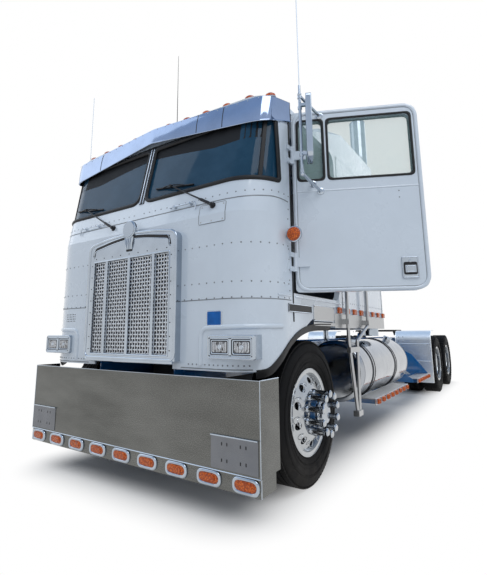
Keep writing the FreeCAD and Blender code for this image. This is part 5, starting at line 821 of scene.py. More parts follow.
def shield_posts():
    form = Form()
    for side in (1, -1):
        spots = [(side * (POST_AT + 0.004), level) for level in spread(SHIELD_LOW, SHIELD_TOP, 12)]
        form.join(cab_strip(spots, strip(0.030, 0.018, 0.003), -SHIELD_SET))
    piece("corner_glass_posts", form, "cab", SEAL)


SHIELD_HEAD = 2.758


def header_top(along):
    """The band over the glass drops a little towards the corners, under the visor."""
    return 2.80 - 0.03 * abs(along)


def sun_and_shade_strip_low(along):
    """The dark strip on the glass, part tinted sun strip and part painted shade of the visor, grows deeper
    away from the divider.
    """
    return 2.668 - 0.137 * min(abs(along), 0.7) ** 1.3


def header_and_shade_strips():
    # The black band over the glass is part black header, part painted shade under the visor.
    header = cab_panel(spread(-1.24, 1.24, 61), fixed(SHIELD_HEAD), header_top, 0.003)
    piece("header_band", header, "cab", SEAL)
    # Part tinted sun strip, part painted shade of the visor on the glass.
    strips = Form()
    for side in (1, -1):
        alongs = [side * along for along in spread(0.04, POST_AT - 0.008, 24)]
        strips.join(cab_panel(alongs, sun_and_shade_strip_low, fixed(SHIELD_TOP), 0.0008, -SHIELD_SET))
    piece("sun_strips", strips, "cab", STRIP_TINT_AND_SHADE)


# Sun visor: one bright folded sheet with seams, rivets, a rolled lower edge and a dark underside that is
# painted shade
VISOR_LOWER = [(0, -0.684, 2.814), (1.152, -0.668, 2.682), (1.223, -0.372, 2.770)]
VISOR_UPPER = [(0, -0.652, 2.968), (1.168, -0.634, 2.898), (1.223, -0.372, 2.935)]
VISOR_ROUNDING = (0, 0.145, 0.03, 0.145, 0)
VISOR_SEAMS = (-0.72, 0.52, 0.78)


def both_ways(points):
    """A half run from the middle, opened out into the whole run from right to left."""
    return [(-x, y, z) for x, y, z in reversed(points[1:])] + list(points)


def visor_edge(half, along):
    """A point on an edge of the visor's front, off the middle."""
    share = abs(along) / half[1][0]
    point = at(*half[0]).lerp(at(*half[1]), share)
    return Vector((along, point.y, point.z))


def visor_face(low, top, share):
    """A point between the visor's edges, where its front swells a little."""
    return low.lerp(top, share) + Vector((0, -0.006 * math.sin(math.pi * share), 0))


def visor_sheet():
    """The sheet's two faces, with the folds rounded by short steps."""
    stations = []
    for half in (VISOR_LOWER, VISOR_UPPER):
        stations.append(rounded_path([at(*point) for point in both_ways(half)], VISOR_ROUNDING, 9))
    lower, upper = stations
    inward = Vector((0, 0.004, 0))
    rows = []
    for share in spread(0.0, 1.0, 7):
        rows.append([visor_face(low, top, share) for low, top in zip(lower, upper)])
    rows += [[point + inward for point in row] for row in reversed(rows)]
    return band(rows, around=False, along=True), lower, upper


def visor_details():
    sheet, lower, upper = visor_sheet()
    piece("visor_sheet", sheet, "cab", VISOR, instead="sun_visor")
    edge = [point + Vector((0, 0.003, 0.004)) for point in lower]
    piece("visor_rolled_edge", tube(edge, 0.0065, 8), "cab", VISOR)
    lean = Vector((0, -0.97, 0.2))
    seams = Form()
    for along in VISOR_SEAMS:
        low, top = visor_edge(VISOR_LOWER, along), visor_edge(VISOR_UPPER, along)
        run = [visor_face(low, top, share) for share in spread(0, 1, 7)]
        seams.join(swept(run, strip(0.007, 0.0016, 0.0005), up=lean))
    piece("visor_seams", seams, "cab", PLASTIC)
    spots = []
    for along in spread(-1.10, 1.10, 24):
        low, top = visor_edge(VISOR_LOWER, along), visor_edge(VISOR_UPPER, along)
        spots.append((low.lerp(top, 0.93) + Vector((0, -0.002, 0)), lean))
    piece("visor_rivets", studs(spots, 0.005, 0.003), "cab", CHROME)
    # Painted shade: a dark sheet just behind the visor stands for the shade under it.
    rows = []
    for offset in (Vector((0, 0.008, 0.004)), Vector((0, 0.0095, 0.004))):
        ends = [point + offset for point in lower], [point + offset for point in upper]
        rows += list(ends if not rows else reversed(ends))
    piece("visor_dark_underside", band(rows, around=False, along=True), "cab", PLASTIC)
    arms = Form()
    for along in (-0.78, -0.36, 0.36, 0.78):
        low = visor_edge(VISOR_LOWER, along) + Vector((0, 0.012, 0.03))
        wall = cab_skin(along, 2.80)[0]
        arms.join(tube([low, wall + Vector((0, 0, 0.01))], 0.008, 8))
    piece("visor_arms", arms, "cab", BLACK)


# Wipers, their linkage and the roof aerial, in place of the plain solids
WIPER_PIVOTS = (0.80, -0.30)
WIPER_PIVOT_HIGH = 2.053
WIPER_REACH = (-0.448, 0.258)


def wiper(pivot_x):
    """Pivot cap, spring head, tapered arm and hub for one wiper."""
    seat, out = cab_skin(pivot_x, WIPER_PIVOT_HIGH)
    hub_x, hub_z = pivot_x + WIPER_REACH[0], WIPER_PIVOT_HIGH + WIPER_REACH[1]
    hub = cab_skin(hub_x, hub_z)[0] + Vector((0, -0.030, 0))
    start = seat + out * 0.026
    form = turned([(0, 0.024), (0.006, 0.024), (0.009, 0.017), (0.030, 0.015), (0.034, 0.009)], 16, "Z")
    form = form.placed(facing(seat, out))
    middle = start.lerp(hub, 0.5) + Vector((0, -0.016, 0))
    run = [start, start.lerp(middle, 0.42), start.lerp(middle, 0.5), middle, middle.lerp(hub, 0.5), hub]
    widths = (0.011, 0.012, 0.007, 0.006, 0.0055, 0.005)
    rows = []
    across = (hub - start).cross(out).normalized()
    for spot, width in zip(run, widths):
        rows.append([spot + across * u * width + out * v * 0.006 for u, v in circle(1.0, 10)])
    form.join(band(rows, capped=True))
    tip = turned([(-0.016, 0.007), (-0.012, 0.011), (0.010, 0.011), (0.014, 0.006)], 12, "Y")
    return form.join(tip.placed(Matrix.Translation(hub)))


def wiper_blade(pivot_x):
    """Carrier bows over a thin rubber that lies on the glass."""
    hub_x, hub_z = pivot_x + WIPER_REACH[0], WIPER_PIVOT_HIGH + WIPER_REACH[1]
    drop = -0.126
    spots = [(hub_x + off, hub_z + 0.004 + off * drop) for off in spread(-0.21, 0.21, 15)]
    rubber = cab_strip(spots, [(0.004, 0), (0.0015, 0.012), (-0.0015, 0.012), (-0.004, 0)], -SHIELD_SET)
    carrier = cab_strip(spots, strip(0.010, 0.006), -0.003)
    bow = []
    for off in spread(-0.12, 0.12, 9):
        point, out = cab_skin(hub_x + off, hub_z + 0.004 + off * drop)
        bow.append(point + out * (0.003 + 0.022 * (1 - (off / 0.12) ** 2)))
    carrier.join(tube(bow, 0.0045, 8))
    return rubber, carrier


def aerial():
    foot = at(0, -0.35, 2.962)
    form = turned([(0, 0.030), (0.008, 0.028), (0.012, 0.016), (0.030, 0.013), (0.034, 0.008)], 16, "Z")
    form = form.placed(Matrix.Translation(foot))
    coil = [
        foot + Vector((0.008 * math.cos(k), 0.008 * math.sin(k), 0.034 + 0.0018 * k)) for k in range(40)
    ]
    form.join(tube(coil, 0.0022, 6))
    rod = [foot + Vector((0, 0, 0.03)), at(0, -0.35, 3.4), at(0, -0.35, 3.9)]
    rows = [
        [point + Vector((u * r, v * r, 0)) for u, v in circle(1, 8)]
        for point, r in zip(rod, (0.004, 0.003, 0.0016))
    ]
    return form.join(band(rows, capped=True))


def wiper_set():
    arms, rubbers = Form(), Form()
    for pivot_x in WIPER_PIVOTS:
        rubber, carrier = wiper_blade(pivot_x)
        arms.join(wiper(pivot_x), carrier)
        rubbers.join(rubber)
    piece("wiper_arms", arms, "cab", PLASTIC, instead="wipers_and_aerial")
    piece("wiper_rubbers", rubbers, "cab", SEAL)
    piece("roof_aerial", aerial(), "cab", BLACK)
    links = Form()
    for start, end in ((0.376, 0.640), (-0.454, -0.770)):
        spots = [(start + (end - start) * share, 2.108) for share in spread(0, 1, 6)]
        hits = [cab_skin(*spot, 0.020)[0] for spot in spots]
        sag = Vector((0, 0, -0.055))
        links.join(
            tube(rounded_path([hits[0] + Vector((0, 0.018, 0)), *hits, hits[-1] + sag], 0.02), 0.005, 8)
        )
        for share in (0.2, 0.8):
            spot, out = cab_skin(start + (end - start) * share, 2.108)
            clip = turned([(0, 0.013), (0.004, 0.013), (0.016, 0.008), (0.026, 0.008)], 12, "Z")
            links.join(clip.placed(facing(spot, out)))
    piece("wiper_links", links, "cab", CHROME)


# Cab's skin: seams, rivets, lamp brows, bare tag, service panel, joint strips, doorway rubbers
def belt_high(along):
    """Height of the belt seam, which rises a little round the corner."""
    return 2.085 + 0.023 * min(1.0, max(0.0, (abs(along) - 0.95) / 0.3))


# Each row: height, start and end along the face, and how far it climbs round the corner
RIVET_ROWS = (
    (1.755, 0.554, 1.44, 0.020),
    (1.488, 0.554, 1.44, 0.0),
    (1.380, 0.554, 1.44, 0.010),
    (0.930, 0.60, 1.08, 0.0),
)


def skin_seams():
    seams = Form()
    for side in (1, -1):
        spots = [(side * along, belt_high(along)) for along in spread(0.0, 1.44, 50)]
        seams.join(cab_strip(spots, strip(0.008, 0.0016, 0.0006)))
        for high, start, end in ((0.904, 0.53, 1.10), (1.372, 0.525, 1.47)):
            spots = [(side * along, high) for along in spread(start, end, 30)]
            seams.join(cab_strip(spots, strip(0.007, 0.0016, 0.0006)))
    piece("skin_lap_seams", seams, "cab", SEAM_SHADE)


def skin_rivets():
    rivets = []
    for side in (1, -1):
        for along in spread(0.06, 1.44, 22):
            rivets.append(cab_skin(side * along, belt_high(along) + 0.045))
        for high, start, end, rise in RIVET_ROWS:
            for along in spread(start, end, 14):
                rivets.append(cab_skin(side * along, high + rise * max(0.0, along - 0.9)))
        for high in spread(1.44, 2.05, 9):
            rivets.append(cab_skin(side * 1.452, high))
    piece("skin_rivets", studs(rivets, 0.0060, 0.0032), "cab", SEAM_SHADE)


def brow():
    """Raised moulding over each headlamp that runs round the lower corner."""
    form = Form()
    run = rounded_path([(0.708, 0.925, 0), (0.708, 1.176, 0), (1.10, 1.184, 0), (1.34, 1.186, 0)], 0.07, 7)
    for side in (1, -1):
        spots = dense([(side * point.x, point.y) for point in run], closed=False)
        form.join(cab_strip(spots, bead(0.034, 0.012, 8), -0.001))
    piece("headlamp_brows", form, "cab", WHITE)


TAG_IN, TAG_OUT, TAG_LOW, TAG_TOP = 0.764, 0.887, 1.194, 1.291


def bare_tags():
    """The front tag, left bare, and a patch of dark discs on the other side, painted as the shade inside
    vent holes.
    """
    sheet = cab_panel(spread(TAG_IN, TAG_OUT, 8), fixed(TAG_LOW), fixed(TAG_TOP), 0.003)
    piece("front_tag", sheet, "cab", TAG_BLUE)
    corners = [(TAG_IN, TAG_LOW), (TAG_OUT, TAG_LOW), (TAG_OUT, TAG_TOP), (TAG_IN, TAG_TOP)]
    edge = dense(corner_arc(corners, (0.01,) * 4, 3), 0.03)
    piece("front_tag_rim", cab_strip(edge, bead(0.008, 0.004), 0.001, closed=True), "cab", CHROME)
    # Painted shade: dark discs stand for the shade inside the vent holes.
    vents = [cab_skin(-x, z) for x in spread(0.768, 0.888, 6) for z in spread(1.256, 1.316, 4)]
    piece("front_vent_holes", studs(vents, 0.006, 0.0008), "cab", PLASTIC)


def access_panel():
    """Shallow service panel under the driver's wiper, held by screws."""
    corners = [(0.68, 1.92), (0.915, 1.92), (0.915, 2.07), (0.68, 2.07)]
    outline = dense(corner_arc(corners, (0.012,) * 4, 3), 0.02)
    piece("service_panel_edge", cab_strip(outline, strip(0.005, 0.0016, 0.0005), closed=True), "cab", SEAM_SHADE)
    sheet = cab_panel(spread(0.683, 0.912, 8), fixed(1.923), fixed(2.067), 0.0016)
    piece("service_panel", sheet, "cab", WHITE)
    screws = [cab_skin(x, z, 0.0014) for x in (0.70, 0.797, 0.895) for z in (1.937, 2.053)]
    piece("service_panel_screws", studs(screws, 0.006, 0.003), "cab", STAINLESS)


WALL_INSIDE = 1.155
DOORWAY_MIDDLE = (0.120, 2.1485)
DOORWAY_WIDE, DOORWAY_TALL = 0.988, 1.475


def doorway_rubber(side):
    """Seal on the inner side of a doorway, clear of the closed door."""
    seat = facing(at(side * WALL_INSIDE, *DOORWAY_MIDDLE), (-side, 0, 0))
    return rim(frame_of(DOORWAY_WIDE, DOORWAY_TALL, 0.036, 4), 0.013, 0.008).placed(seat)


def hinge_strips():
    form = Form()
    for side in (1, -1):
        run = [at(side * 1.2055, -0.372, z) for z in spread(1.22, 2.88, 10)]
        form.join(swept(run, strip(0.016, 0.003), up=Vector((side, 0, 0))))
    piece("front_panel_joint_strips", form, "cab", SEAL)
    piece("doorway_rubbers", doorway_rubber(1).join(doorway_rubber(-1)), "cab", SEAL)


shield_rubber()
shield_divider()
shield_posts()
header_and_shade_strips()
visor_details()
wiper_set()
skin_seams()
skin_rivets()
brow()
bare_tags()
access_panel()
hinge_strips()


# Grille: bright rolled rims, an arched slot, woven strips and a plain medallion
GRILLE_FACE = -0.878
GRILLE_IN = 0.448
MESH_LOW, MESH_TOP = 0.981, 1.750
MEDALLION_HIGH = 1.980


def front_path(points, face):
    return [at(x, face, z) for x, z in points]


def grille_rims():
    outer = [
        (-0.512, 0.953), (0.512, 0.953), (0.512, 1.894), (0.30, 1.929), (0, 1.948), (-0.30, 1.929),
        (-0.512, 1.894),
    ]
    path = rounded_path(front_path(outer, GRILLE_FACE), 0.055, 6, closed=True)
    form = swept(path, bead(0.022, 0.009), closed=True, up=AHEAD)
    inner = [(-GRILLE_IN, MESH_LOW), (GRILLE_IN, MESH_LOW), (GRILLE_IN, MESH_TOP), (-GRILLE_IN, MESH_TOP)]
    path = rounded_path(front_path(inner, GRILLE_FACE), 0.006, 2, closed=True)
    form.join(swept(path, bead(0.014, 0.006), closed=True, up=AHEAD))
    for share in (-0.62, 0.0, 0.62):
        x = GRILLE_IN * share
        run = front_path([(x, z) for z in spread(MESH_LOW, MESH_TOP, 8)], GRILLE_FACE)
        form.join(swept(run, bead(0.027, 0.008), up=AHEAD))
    lip = [(-0.50, 0.938), (0.50, 0.938)]
    form.join(swept(front_path(lip, GRILLE_FACE + 0.004), bead(0.030, 0.010), up=AHEAD))
    piece("grille_bright_rims", form, "cab", CHROME)


def grille_slot():
    points = [
        (-0.452, 1.80), (-0.440, 1.862), (-0.20, 1.900), (0, 1.918), (0.20, 1.900), (0.440, 1.862),
        (0.452, 1.80),
    ]
    path = rounded_path(front_path(points, GRILLE_FACE), 0.045, 5)
    piece("grille_slot", swept(path, strip(0.024, 0.0022), up=AHEAD), "cab", PLASTIC)
    lips = Form()
    for off in (0.0145, -0.0145):
        lips.join(tube([point + Vector((0, -0.002, off)) for point in path], 0.003, 6))
    piece("grille_slot_lips", lips, "cab", CHROME)


def woven(across, upward, ahead):
    """Flat strips woven over and under each other."""
    form = Form()
    wide = 0.0052
    lift = 0.0028
    for lines, others, upright in ((across, upward, True), (upward, across, False)):
        for k, line in enumerate(lines):
            rows = []
            stops = [
                other + part * (others[1] - others[0]) / 2 for other in others[:-1] for part in (0, 1)
            ] + [others[-1]]
            for m, stop in enumerate(stops):
                over = (1 if (m // 2 + k) % 2 else -1) if m % 2 == 0 else 0
                y = ahead + lift * over * (1 if upright else -1)
                section = ((-wide, 0), (0, -0.0024), (wide, 0), (0, 0.001))
                if upright:
                    rows.append([at(line + u, y + v, stop) for u, v in section])
                else:
                    rows.append([at(stop, y + v, line + u) for u, v in section])
            form.join(band(rows))
    return form


def grille_weave():
    across = spread(-GRILLE_IN + 0.010, GRILLE_IN - 0.010, 31)
    upward = spread(MESH_LOW + 0.010, MESH_TOP - 0.010, 27)
    piece("grille_weave", woven(across, upward, -0.862), "cab", WEAVE, sharp=60.0, instead="grille_mesh")
    # Painted shade: a dark sheet behind the weave stands for the shade seen through its holes.
    backing = slab(at(-0.447, -0.846, MESH_LOW + 0.001), at(0.447, -0.842, MESH_TOP - 0.001), 0.001)
    piece("grille_dark_backing", backing, "cab", PLASTIC)


def medallion():
    """A plain round boss with rings and flutes over a ribbed drop; it bears no mark."""
    seat = facing(at(0, -0.883, MEDALLION_HIGH), (0, -1, 0))
    rings = turned(
        [
            (0, 0.074), (0.008, 0.074), (0.012, 0.068), (0.008, 0.060), (0.008, 0.040),
            (0.014, 0.034), (0.015, 0.0),
        ], 40, "Z"
    )
    form = rings.placed(seat)
    for k in range(20):
        turn = math.tau * k / 20
        direction = Vector((math.cos(turn), math.sin(turn), 0))
        ray = [direction * 0.041 + Vector((0, 0, 0.010)), direction * 0.059 + Vector((0, 0, 0.010))]
        form.join(tube(ray, 0.0032, 6).placed(seat))
    piece("medallion", form, "cab", CHROME)
    drop = Form()
    for share in (-0.75, -0.25, 0.25, 0.75):
        top = at(share * 0.058, -0.8845, 1.915)
        low = at(share * 0.034, -0.8815, 1.815)
        drop.join(tube([top, top.lerp(low, 0.5) + Vector((0, -0.006, 0)), low], 0.0085, 8))
    piece("medallion_ribs", drop, "cab", CHROME)
    back = [(-0.050, 1.925), (0.050, 1.925), (0.030, 1.800), (-0.030, 1.800)]
    rows = [front_path(back, GRILLE_FACE - depth) for depth in (0.0, 0.006)]
    piece("medallion_back", band(rows, capped=True), "cab", PLASTIC)


def grille_rivets():
    spots = [(x, 1.778) for x in spread(-0.42, 0.42, 9)]
    spots += [(side * 0.468, z) for side in (1, -1) for z in spread(1.02, 1.72, 8)]
    hits = [(at(x, GRILLE_FACE, z), AHEAD) for x, z in spots]
    piece("grille_rivets", studs(hits, 0.005, 0.003), "cab", BLACK)


# Headlamps: rims, fluted units and screws
UNIT_LEFTS = (0.811, 0.987)
UNIT_WIDE, UNIT_HIGH = 0.150, 0.098
LAMP_MIDDLE_HIGH = 1.051


def headlamp_details():
    rims, lenses, shields, screws, gaps = Form(), Form(), Form(), Form(), Form()
    for left in UNIT_LEFTS:
        seat = facing(at(left + UNIT_WIDE / 2, -0.837, LAMP_MIDDLE_HIGH), (0, -1, 0))
        outline = frame_of(UNIT_WIDE, UNIT_HIGH, 0.012)
        rims.join(rim(outline, 0.010, 0.006).placed(seat))
        gaps.join(stacked([(0, drawn_in(outline, 0.006)), (0.0025, drawn_in(outline, 0.007))]).placed(seat))
        gaps.join(rim(drawn_in(outline, -0.004), 0.005, 0.004).placed(seat))
        crown = [
            (0, drawn_in(outline, 0.014)),
            (0.0035, drawn_in(outline, 0.015)),
            (0.0060, drawn_in(outline, 0.030)),
        ]
        lenses.join(stacked(crown).placed(seat))
        shields.join(turned([(0.005, 0.016), (0.008, 0.014), (0.009, 0.004)], 16, "Z").placed(seat))
        pockets = [facing(at(left + UNIT_WIDE / 2 + x, -0.846, LAMP_MIDDLE_HIGH + z), (0, -1, 0))
                   for x in (-0.082, 0.082) for z in (-0.056, 0.056)]
        for pocket in pockets:
            screws.join(turned([(0, 0.005), (0.002, 0.0045), (0.0025, 0.001)], 8, "Z").placed(pocket))
    bezel = facing(at(0.973, -0.845, LAMP_MIDDLE_HIGH), (0, -1, 0))
    for inset, wide in ((0.0, 0.012), (0.016, 0.006)):
        rims.join(rim(drawn_in(frame_of(0.368, 0.156, 0.022), inset), wide, 0.004).placed(bezel))
    # Painted shade: dark plates and rings fill the gaps round and under each lamp unit.
    piece("headlamp_gaps", gaps.mirrored(), "cab", PLASTIC)
    piece("headlamp_rims", rims.mirrored(), "cab", CHROME)
    piece("headlamp_fluted_glass", lenses.mirrored(), "cab", LAMP_GLASS)
    piece("headlamp_bulb_shields", shields.mirrored(), "cab", CHROME)
    piece("headlamp_screws", screws.mirrored(), "cab", BLACK)


# Bumper: oval lamp bezels, bright edges painted as highlights, bare plate holders
OVALS = 9
OVAL_REACH = 1.110
OVAL_HIGH = 0.2515
OVAL_FACE = -0.8765


def bumper_details():
    bezels, lenses, gaps = Form(), Form(), Form()
    for x in spread(-OVAL_REACH, OVAL_REACH, OVALS):
        seat = facing(at(x, OVAL_FACE, OVAL_HIGH), (0, -1, 0))
        outline = frame_of(0.196, 0.098, 0.048, 6)
        bezels.join(rim(outline, 0.024, 0.015).placed(seat))
        gaps.join(stacked([(0, drawn_in(outline, 0.010)), (0.003, drawn_in(outline, 0.011))]).placed(seat))
        inner = drawn_in(outline, 0.0175)
        crown = [(0.002, inner), (0.007, inner), (0.0110, drawn_in(outline, 0.024))]
        lenses.join(stacked(crown).placed(seat))
    piece("bumper_lamp_bezels", bezels, "chassis", CHROME)
    # Painted shade: dark plates fill the gap inside each lamp bezel.
    piece("bumper_lamp_gaps", gaps, "chassis", PLASTIC)
    piece("bumper_lamp_lenses", lenses, "chassis", AMBER)
    # Painted highlight: lighter chrome rods along the edges of the dark bumper plate.
    edges = Form()
    top = [(-1.2195, -0.652), (-1.2195, -0.8835), (1.2195, -0.8835), (1.2195, -0.652)]
    edges.join(tube([at(x, y, 0.8555) for x, y in top], 0.0032, 6))
    for x in (-1.219, 1.219):
        edges.join(tube([at(x, -0.883, 0.31), at(x, -0.883, 0.855)], 0.0030, 6))
        edges.join(tube([at(x, -0.876, 0.20), at(x, -0.876, 0.305)], 0.0030, 6))
    edges.join(tube([at(-1.218, -0.884, 0.305), at(1.218, -0.884, 0.305)], 0.0035, 6))
    piece("bumper_bright_edges", edges, "chassis", CHROME)


def bare_plates():
    """Two bare plate holders low on the bumper, with turned top flanges and slots."""
    sheets, flanges, slots = Form(), Form(), Form()
    for left, right, low, top in ((0.855, 1.205, 0.318, 0.513), (-1.205, -0.866, 0.318, 0.505)):
        middle = at((left + right) / 2, -0.884, (low + top) / 2)
        seat = facing(middle, (0, -1, 0))
        sheets.join(plate(frame_of(right - left, top - low, 0.006), 0.004).placed(seat))
        flanges.join(slab(at(left, -0.897, top - 0.004), at(right, -0.884, top + 0.004), 0.001))
        for x in (-0.09, -0.05, 0.05, 0.09):
            for z in (-0.045, 0.05):
                hole = frame_of(0.010, 0.022, 0.004, 2)
                slots.join(stacked([(0.0035, hole), (0.0046, drawn_in(hole, 0.001))]).placed(
                    seat @ Matrix.Translation((x, z, 0))))
    piece("bumper_plate_holders", sheets, "chassis", HOLDER)
    piece("bumper_plate_flanges", flanges, "chassis", CHROME)
    # Painted shade: dark plates stand for the shade inside the holder's slots.
    piece("bumper_plate_slots", slots, "chassis", PLASTIC)


# Lamps on the cab: roof markers, side rows and round lamps ahead of the doors
def amber_dome(seat, radius, high, base=0.012):
    lens = turned(
        [
            (base, radius * 0.94), (base + high * 0.55, radius * 0.86),
            (base + high * 0.9, radius * 0.5), (base + high, 0),
        ],
        24, "Z",
    )
    ring = turned([(0, radius), (base * 0.8, radius), (base, radius * 0.95)], 24, "Z")
    return lens.placed(seat), ring.placed(seat)


SIDE_ROW = (0.532, 2.002)
MARKER_OFFS = (0.11, 0.326, 0.542, 0.758, 0.974, 1.128)


def cab_lamps():
    lenses, rings = Form(), Form()
    for off in MARKER_OFFS:
        for side in (1, -1):
            x = side * off
            foot = at(x, -0.556 if off < 1.1 else -0.505, 2.982 - abs(x) * 0.043)
            lens, ring = amber_dome(facing(foot, (0, -0.12, 1), (0, 1, 0)), 0.046, 0.034)
            lenses.join(lens)
            rings.join(ring)
    for k in range(8):
        y = SIDE_ROW[0] + (SIDE_ROW[1] - SIDE_ROW[0]) * k / 7
        for side in (1, -1):
            seat = facing(at(side * 1.2055, y, 1.340), (side, 0, 0))
            outline = frame_of(0.088, 0.060, 0.010, 3)
            rings.join(stacked([(0, outline), (0.008, outline)]).placed(seat))
            inner = drawn_in(outline, 0.003)
            lenses.join(
                stacked([(0.008, inner), (0.022, inner), (0.026, drawn_in(outline, 0.009))]).placed(seat)
            )
    for side in (1, -1):
        seat = facing(at(side * 1.266, -0.446, 1.845), (0, -1, 0))
        lens, ring = amber_dome(seat, 0.055, 0.026, 0.010)
        back, _ = amber_dome(facing(at(side * 1.266, -0.446, 1.845), (0, 1, 0)), 0.055, 0.028, 0.0)
        lenses.join(lens, back)
        rings.join(
            turned([(-0.006, 0.055), (-0.004, 0.060), (0.008, 0.060), (0.010, 0.055)], 28, "Z").placed(seat),
            ring,
        )
        rings.join(tube([at(side * 1.206, -0.440, 1.845), at(side * 1.222, -0.446, 1.845)], 0.012, 10))
    piece("cab_amber_lenses", lenses, "cab", AMBER, instead="cab_lamps")
    piece("cab_lamp_rings", rings, "cab", CHROME)


# Wheel arches: smooth rubber lips and a bright bead over them
ARCH_RUN = (
    (-0.722, 0.893), (-0.655, 0.902), (-0.590, 0.960), (-0.481, 1.059),
    (-0.319, 1.144), (-0.140, 1.190), (0.040, 1.205), (0.330, 1.208),
)


def skin_at(y, high, out=0.0):
    """A point on the cab's left side and corner by its distance behind the axle."""
    low, top = 0.30, 2.2
    for _ in range(30):
        middle = (low + top) / 2
        if cab_skin(middle, high)[0].y - AXLE < y:
            low = middle
        else:
            top = middle
    return cab_skin(low, high, out)


def arch_lips():
    run = rounded_path([(y, z, 0) for y, z in ARCH_RUN], 0.12, 6)
    hits = [skin_at(point.x, point.y, -0.004) for point in run]
    path = [hit[0] for hit in hits]
    ups = [hit[1] for hit in hits]
    section = [
        (-0.010, 0), (-0.008, 0.012), (0.012, 0.010), (0.045, -0.004), (0.048, -0.016), (-0.010, -0.012)
    ]
    form = swept(path, section, up=ups)
    piece("arch_rubber_lips", form.mirrored(), "cab", SEAL, instead="arch_lips")
    trim = swept([point + up * 0.006 for point, up in hits], bead(0.010, 0.004), up=ups)
    piece("arch_bright_beads", trim.mirrored(), "cab", CHROME)


grille_rims()
grille_slot()
grille_weave()
medallion()
grille_rivets()
headlamp_details()
bumper_details()
bare_plates()
cab_lamps()
arch_lips()


# Tyres with their tread and sidewall rings, in place of the plain solids
TYRE_HALF = 0.140
STEER_MIDDLE = 1.154 - 0.140
DRIVE_MIDDLE = 1.220 - 0.140
TWIN_PITCH = 0.330
DRIVE_SPOTS = {"middle": 5.95, "rear": 7.27}


def tyre_shell(middle, crown):
    """The tyre's body as a turned section: bead, sidewall rings, shoulder and the tread's floor."""
    side = [
        (0.110, 0.302), (0.112, 0.327), (0.121, 0.334), (0.124, 0.340), (0.1275, 0.343), (0.128, 0.350),
        (0.1320, 0.356), (0.1365, 0.385), (0.1370, 0.388), (0.1385, 0.390), (0.1395, 0.430),
        (0.1400, 0.434), (0.1385, 0.438), (0.1380, 0.462), (0.1392, 0.465), (0.1375, 0.469),
        (0.1345, 0.490), (0.1330, 0.493),
    ]
    shoulder = [
        (0.131, 0.502), (0.1285, crown - 0.018), (0.124, crown - 0.010), (0.117, crown - 0.004),
        (0.100, crown),
    ]
    half = side + shoulder
    section = [(-x, r) for x, r in half] + [(x, r) for x, r in reversed(half)]
    rows = []
    for x, radius in section + [(0.110, 0.302)]:
        rows.append([(middle + x, u, v) for u, v in circle(radius, 72)])
    return band(rows, along=True)


def ribs(middle, bounds, blocks, gap, low, top, slant=0.0, zigzag=0.0):
    """One ring of tread: blocks between two distances off the middle."""
    form = Form()
    pitch = math.tau / blocks
    start, end = bounds
    for k in range(blocks):
        rows = []
        for share in (0.0, 0.5, 1.0):
            turn = pitch * (k + share * (1 - gap))
            wave = zigzag * (0.5 - abs(share - 0.5)) * 2
            lean = slant * pitch * (1 if start > 0 else -1)
            row = []
            for x, radius, off in (
                (start + wave, low, 0), (start + wave, top, 0),
                (end + wave, top, lean), (end + wave, low, lean),
            ):
                angle = turn + off
                row.append((middle + x, radius * math.cos(angle), radius * math.sin(angle)))
            rows.append(row)
        form.join(band(rows, capped=True))
    return form


def steer_tread(middle):
    """Five ribs with narrow sipes and zigzag grooves."""
    form = Form()
    for bounds in ((-0.116, -0.074), (-0.066, -0.030), (-0.022, 0.022), (0.030, 0.066), (0.074, 0.116)):
        form.join(ribs(middle, bounds, 90, 0.06, 0.526, 0.5385, zigzag=0.002))
    return form


# Each tread row of a drive tyre: its two edges and how far its lugs slant
DRIVE_ROWS = (
    ((-0.116, -0.066), 0.12),
    ((-0.056, -0.006), 0.25),
    ((0.006, 0.056), 0.25),
    ((0.066, 0.116), 0.12),
)


def drive_tread(middle):
    """Deep lug blocks: two staggered shoulders and two middle rows."""
    form = Form()
    for bounds, slant in DRIVE_ROWS:
        form.join(ribs(middle, bounds, 52, 0.20, 0.518, 0.5385, slant=slant, zigzag=0.004))
    return form


def sidewall_lugs(middle, side):
    """Short lugs on the shoulder of a drive tyre."""
    form = Form()
    for k in range(52):
        turn = math.tau * (k + 0.4) / 52
        ahead = Vector((0, math.cos(turn), math.sin(turn)))
        across = Vector((0, -math.sin(turn), math.cos(turn)))
        rows = []
        for radius, out in ((0.492, 0.1345), (0.525, 0.1255)):
            middle_at = Vector((middle + side * out, 0, 0)) + ahead * radius
            lift = Vector((side * 0.0035, 0, 0))
            rows.append([middle_at + across * 0.010, middle_at + across * 0.009 + lift,
                         middle_at - across * 0.009 + lift, middle_at - across * 0.010])
        form.join(band(rows, capped=True))
    return form


def mould_rings(middle, side):
    form = Form()
    for radius in (0.372, 0.400, 0.448, 0.455):
        spots = [(middle + side * 0.1385, u, v) for u, v in circle(radius, 72)]
        form.join(tube(spots, 0.0022, 5, closed=True))
    return form


def tyre(middle, drive):
    tread = drive_tread(middle) if drive else steer_tread(middle)
    shell = tyre_shell(middle, 0.520 if drive else 0.527)
    shell.join(tread)
    for side in (1, -1):
        shell.join(mould_rings(middle, side))
        if drive:
            shell.join(sidewall_lugs(middle, side))
    return shell


def set_at(form, y, side):
    """A wheel's form, drawn about the left side's X axis, put in its place."""
    moved = form.placed(Matrix.Translation((0, AXLE + y, HUB_HIGH)))
    return moved if side > 0 else moved.placed(Matrix.Scale(-1, 4, (1, 0, 0)))


SIDES = (("left", 1), ("right", -1))


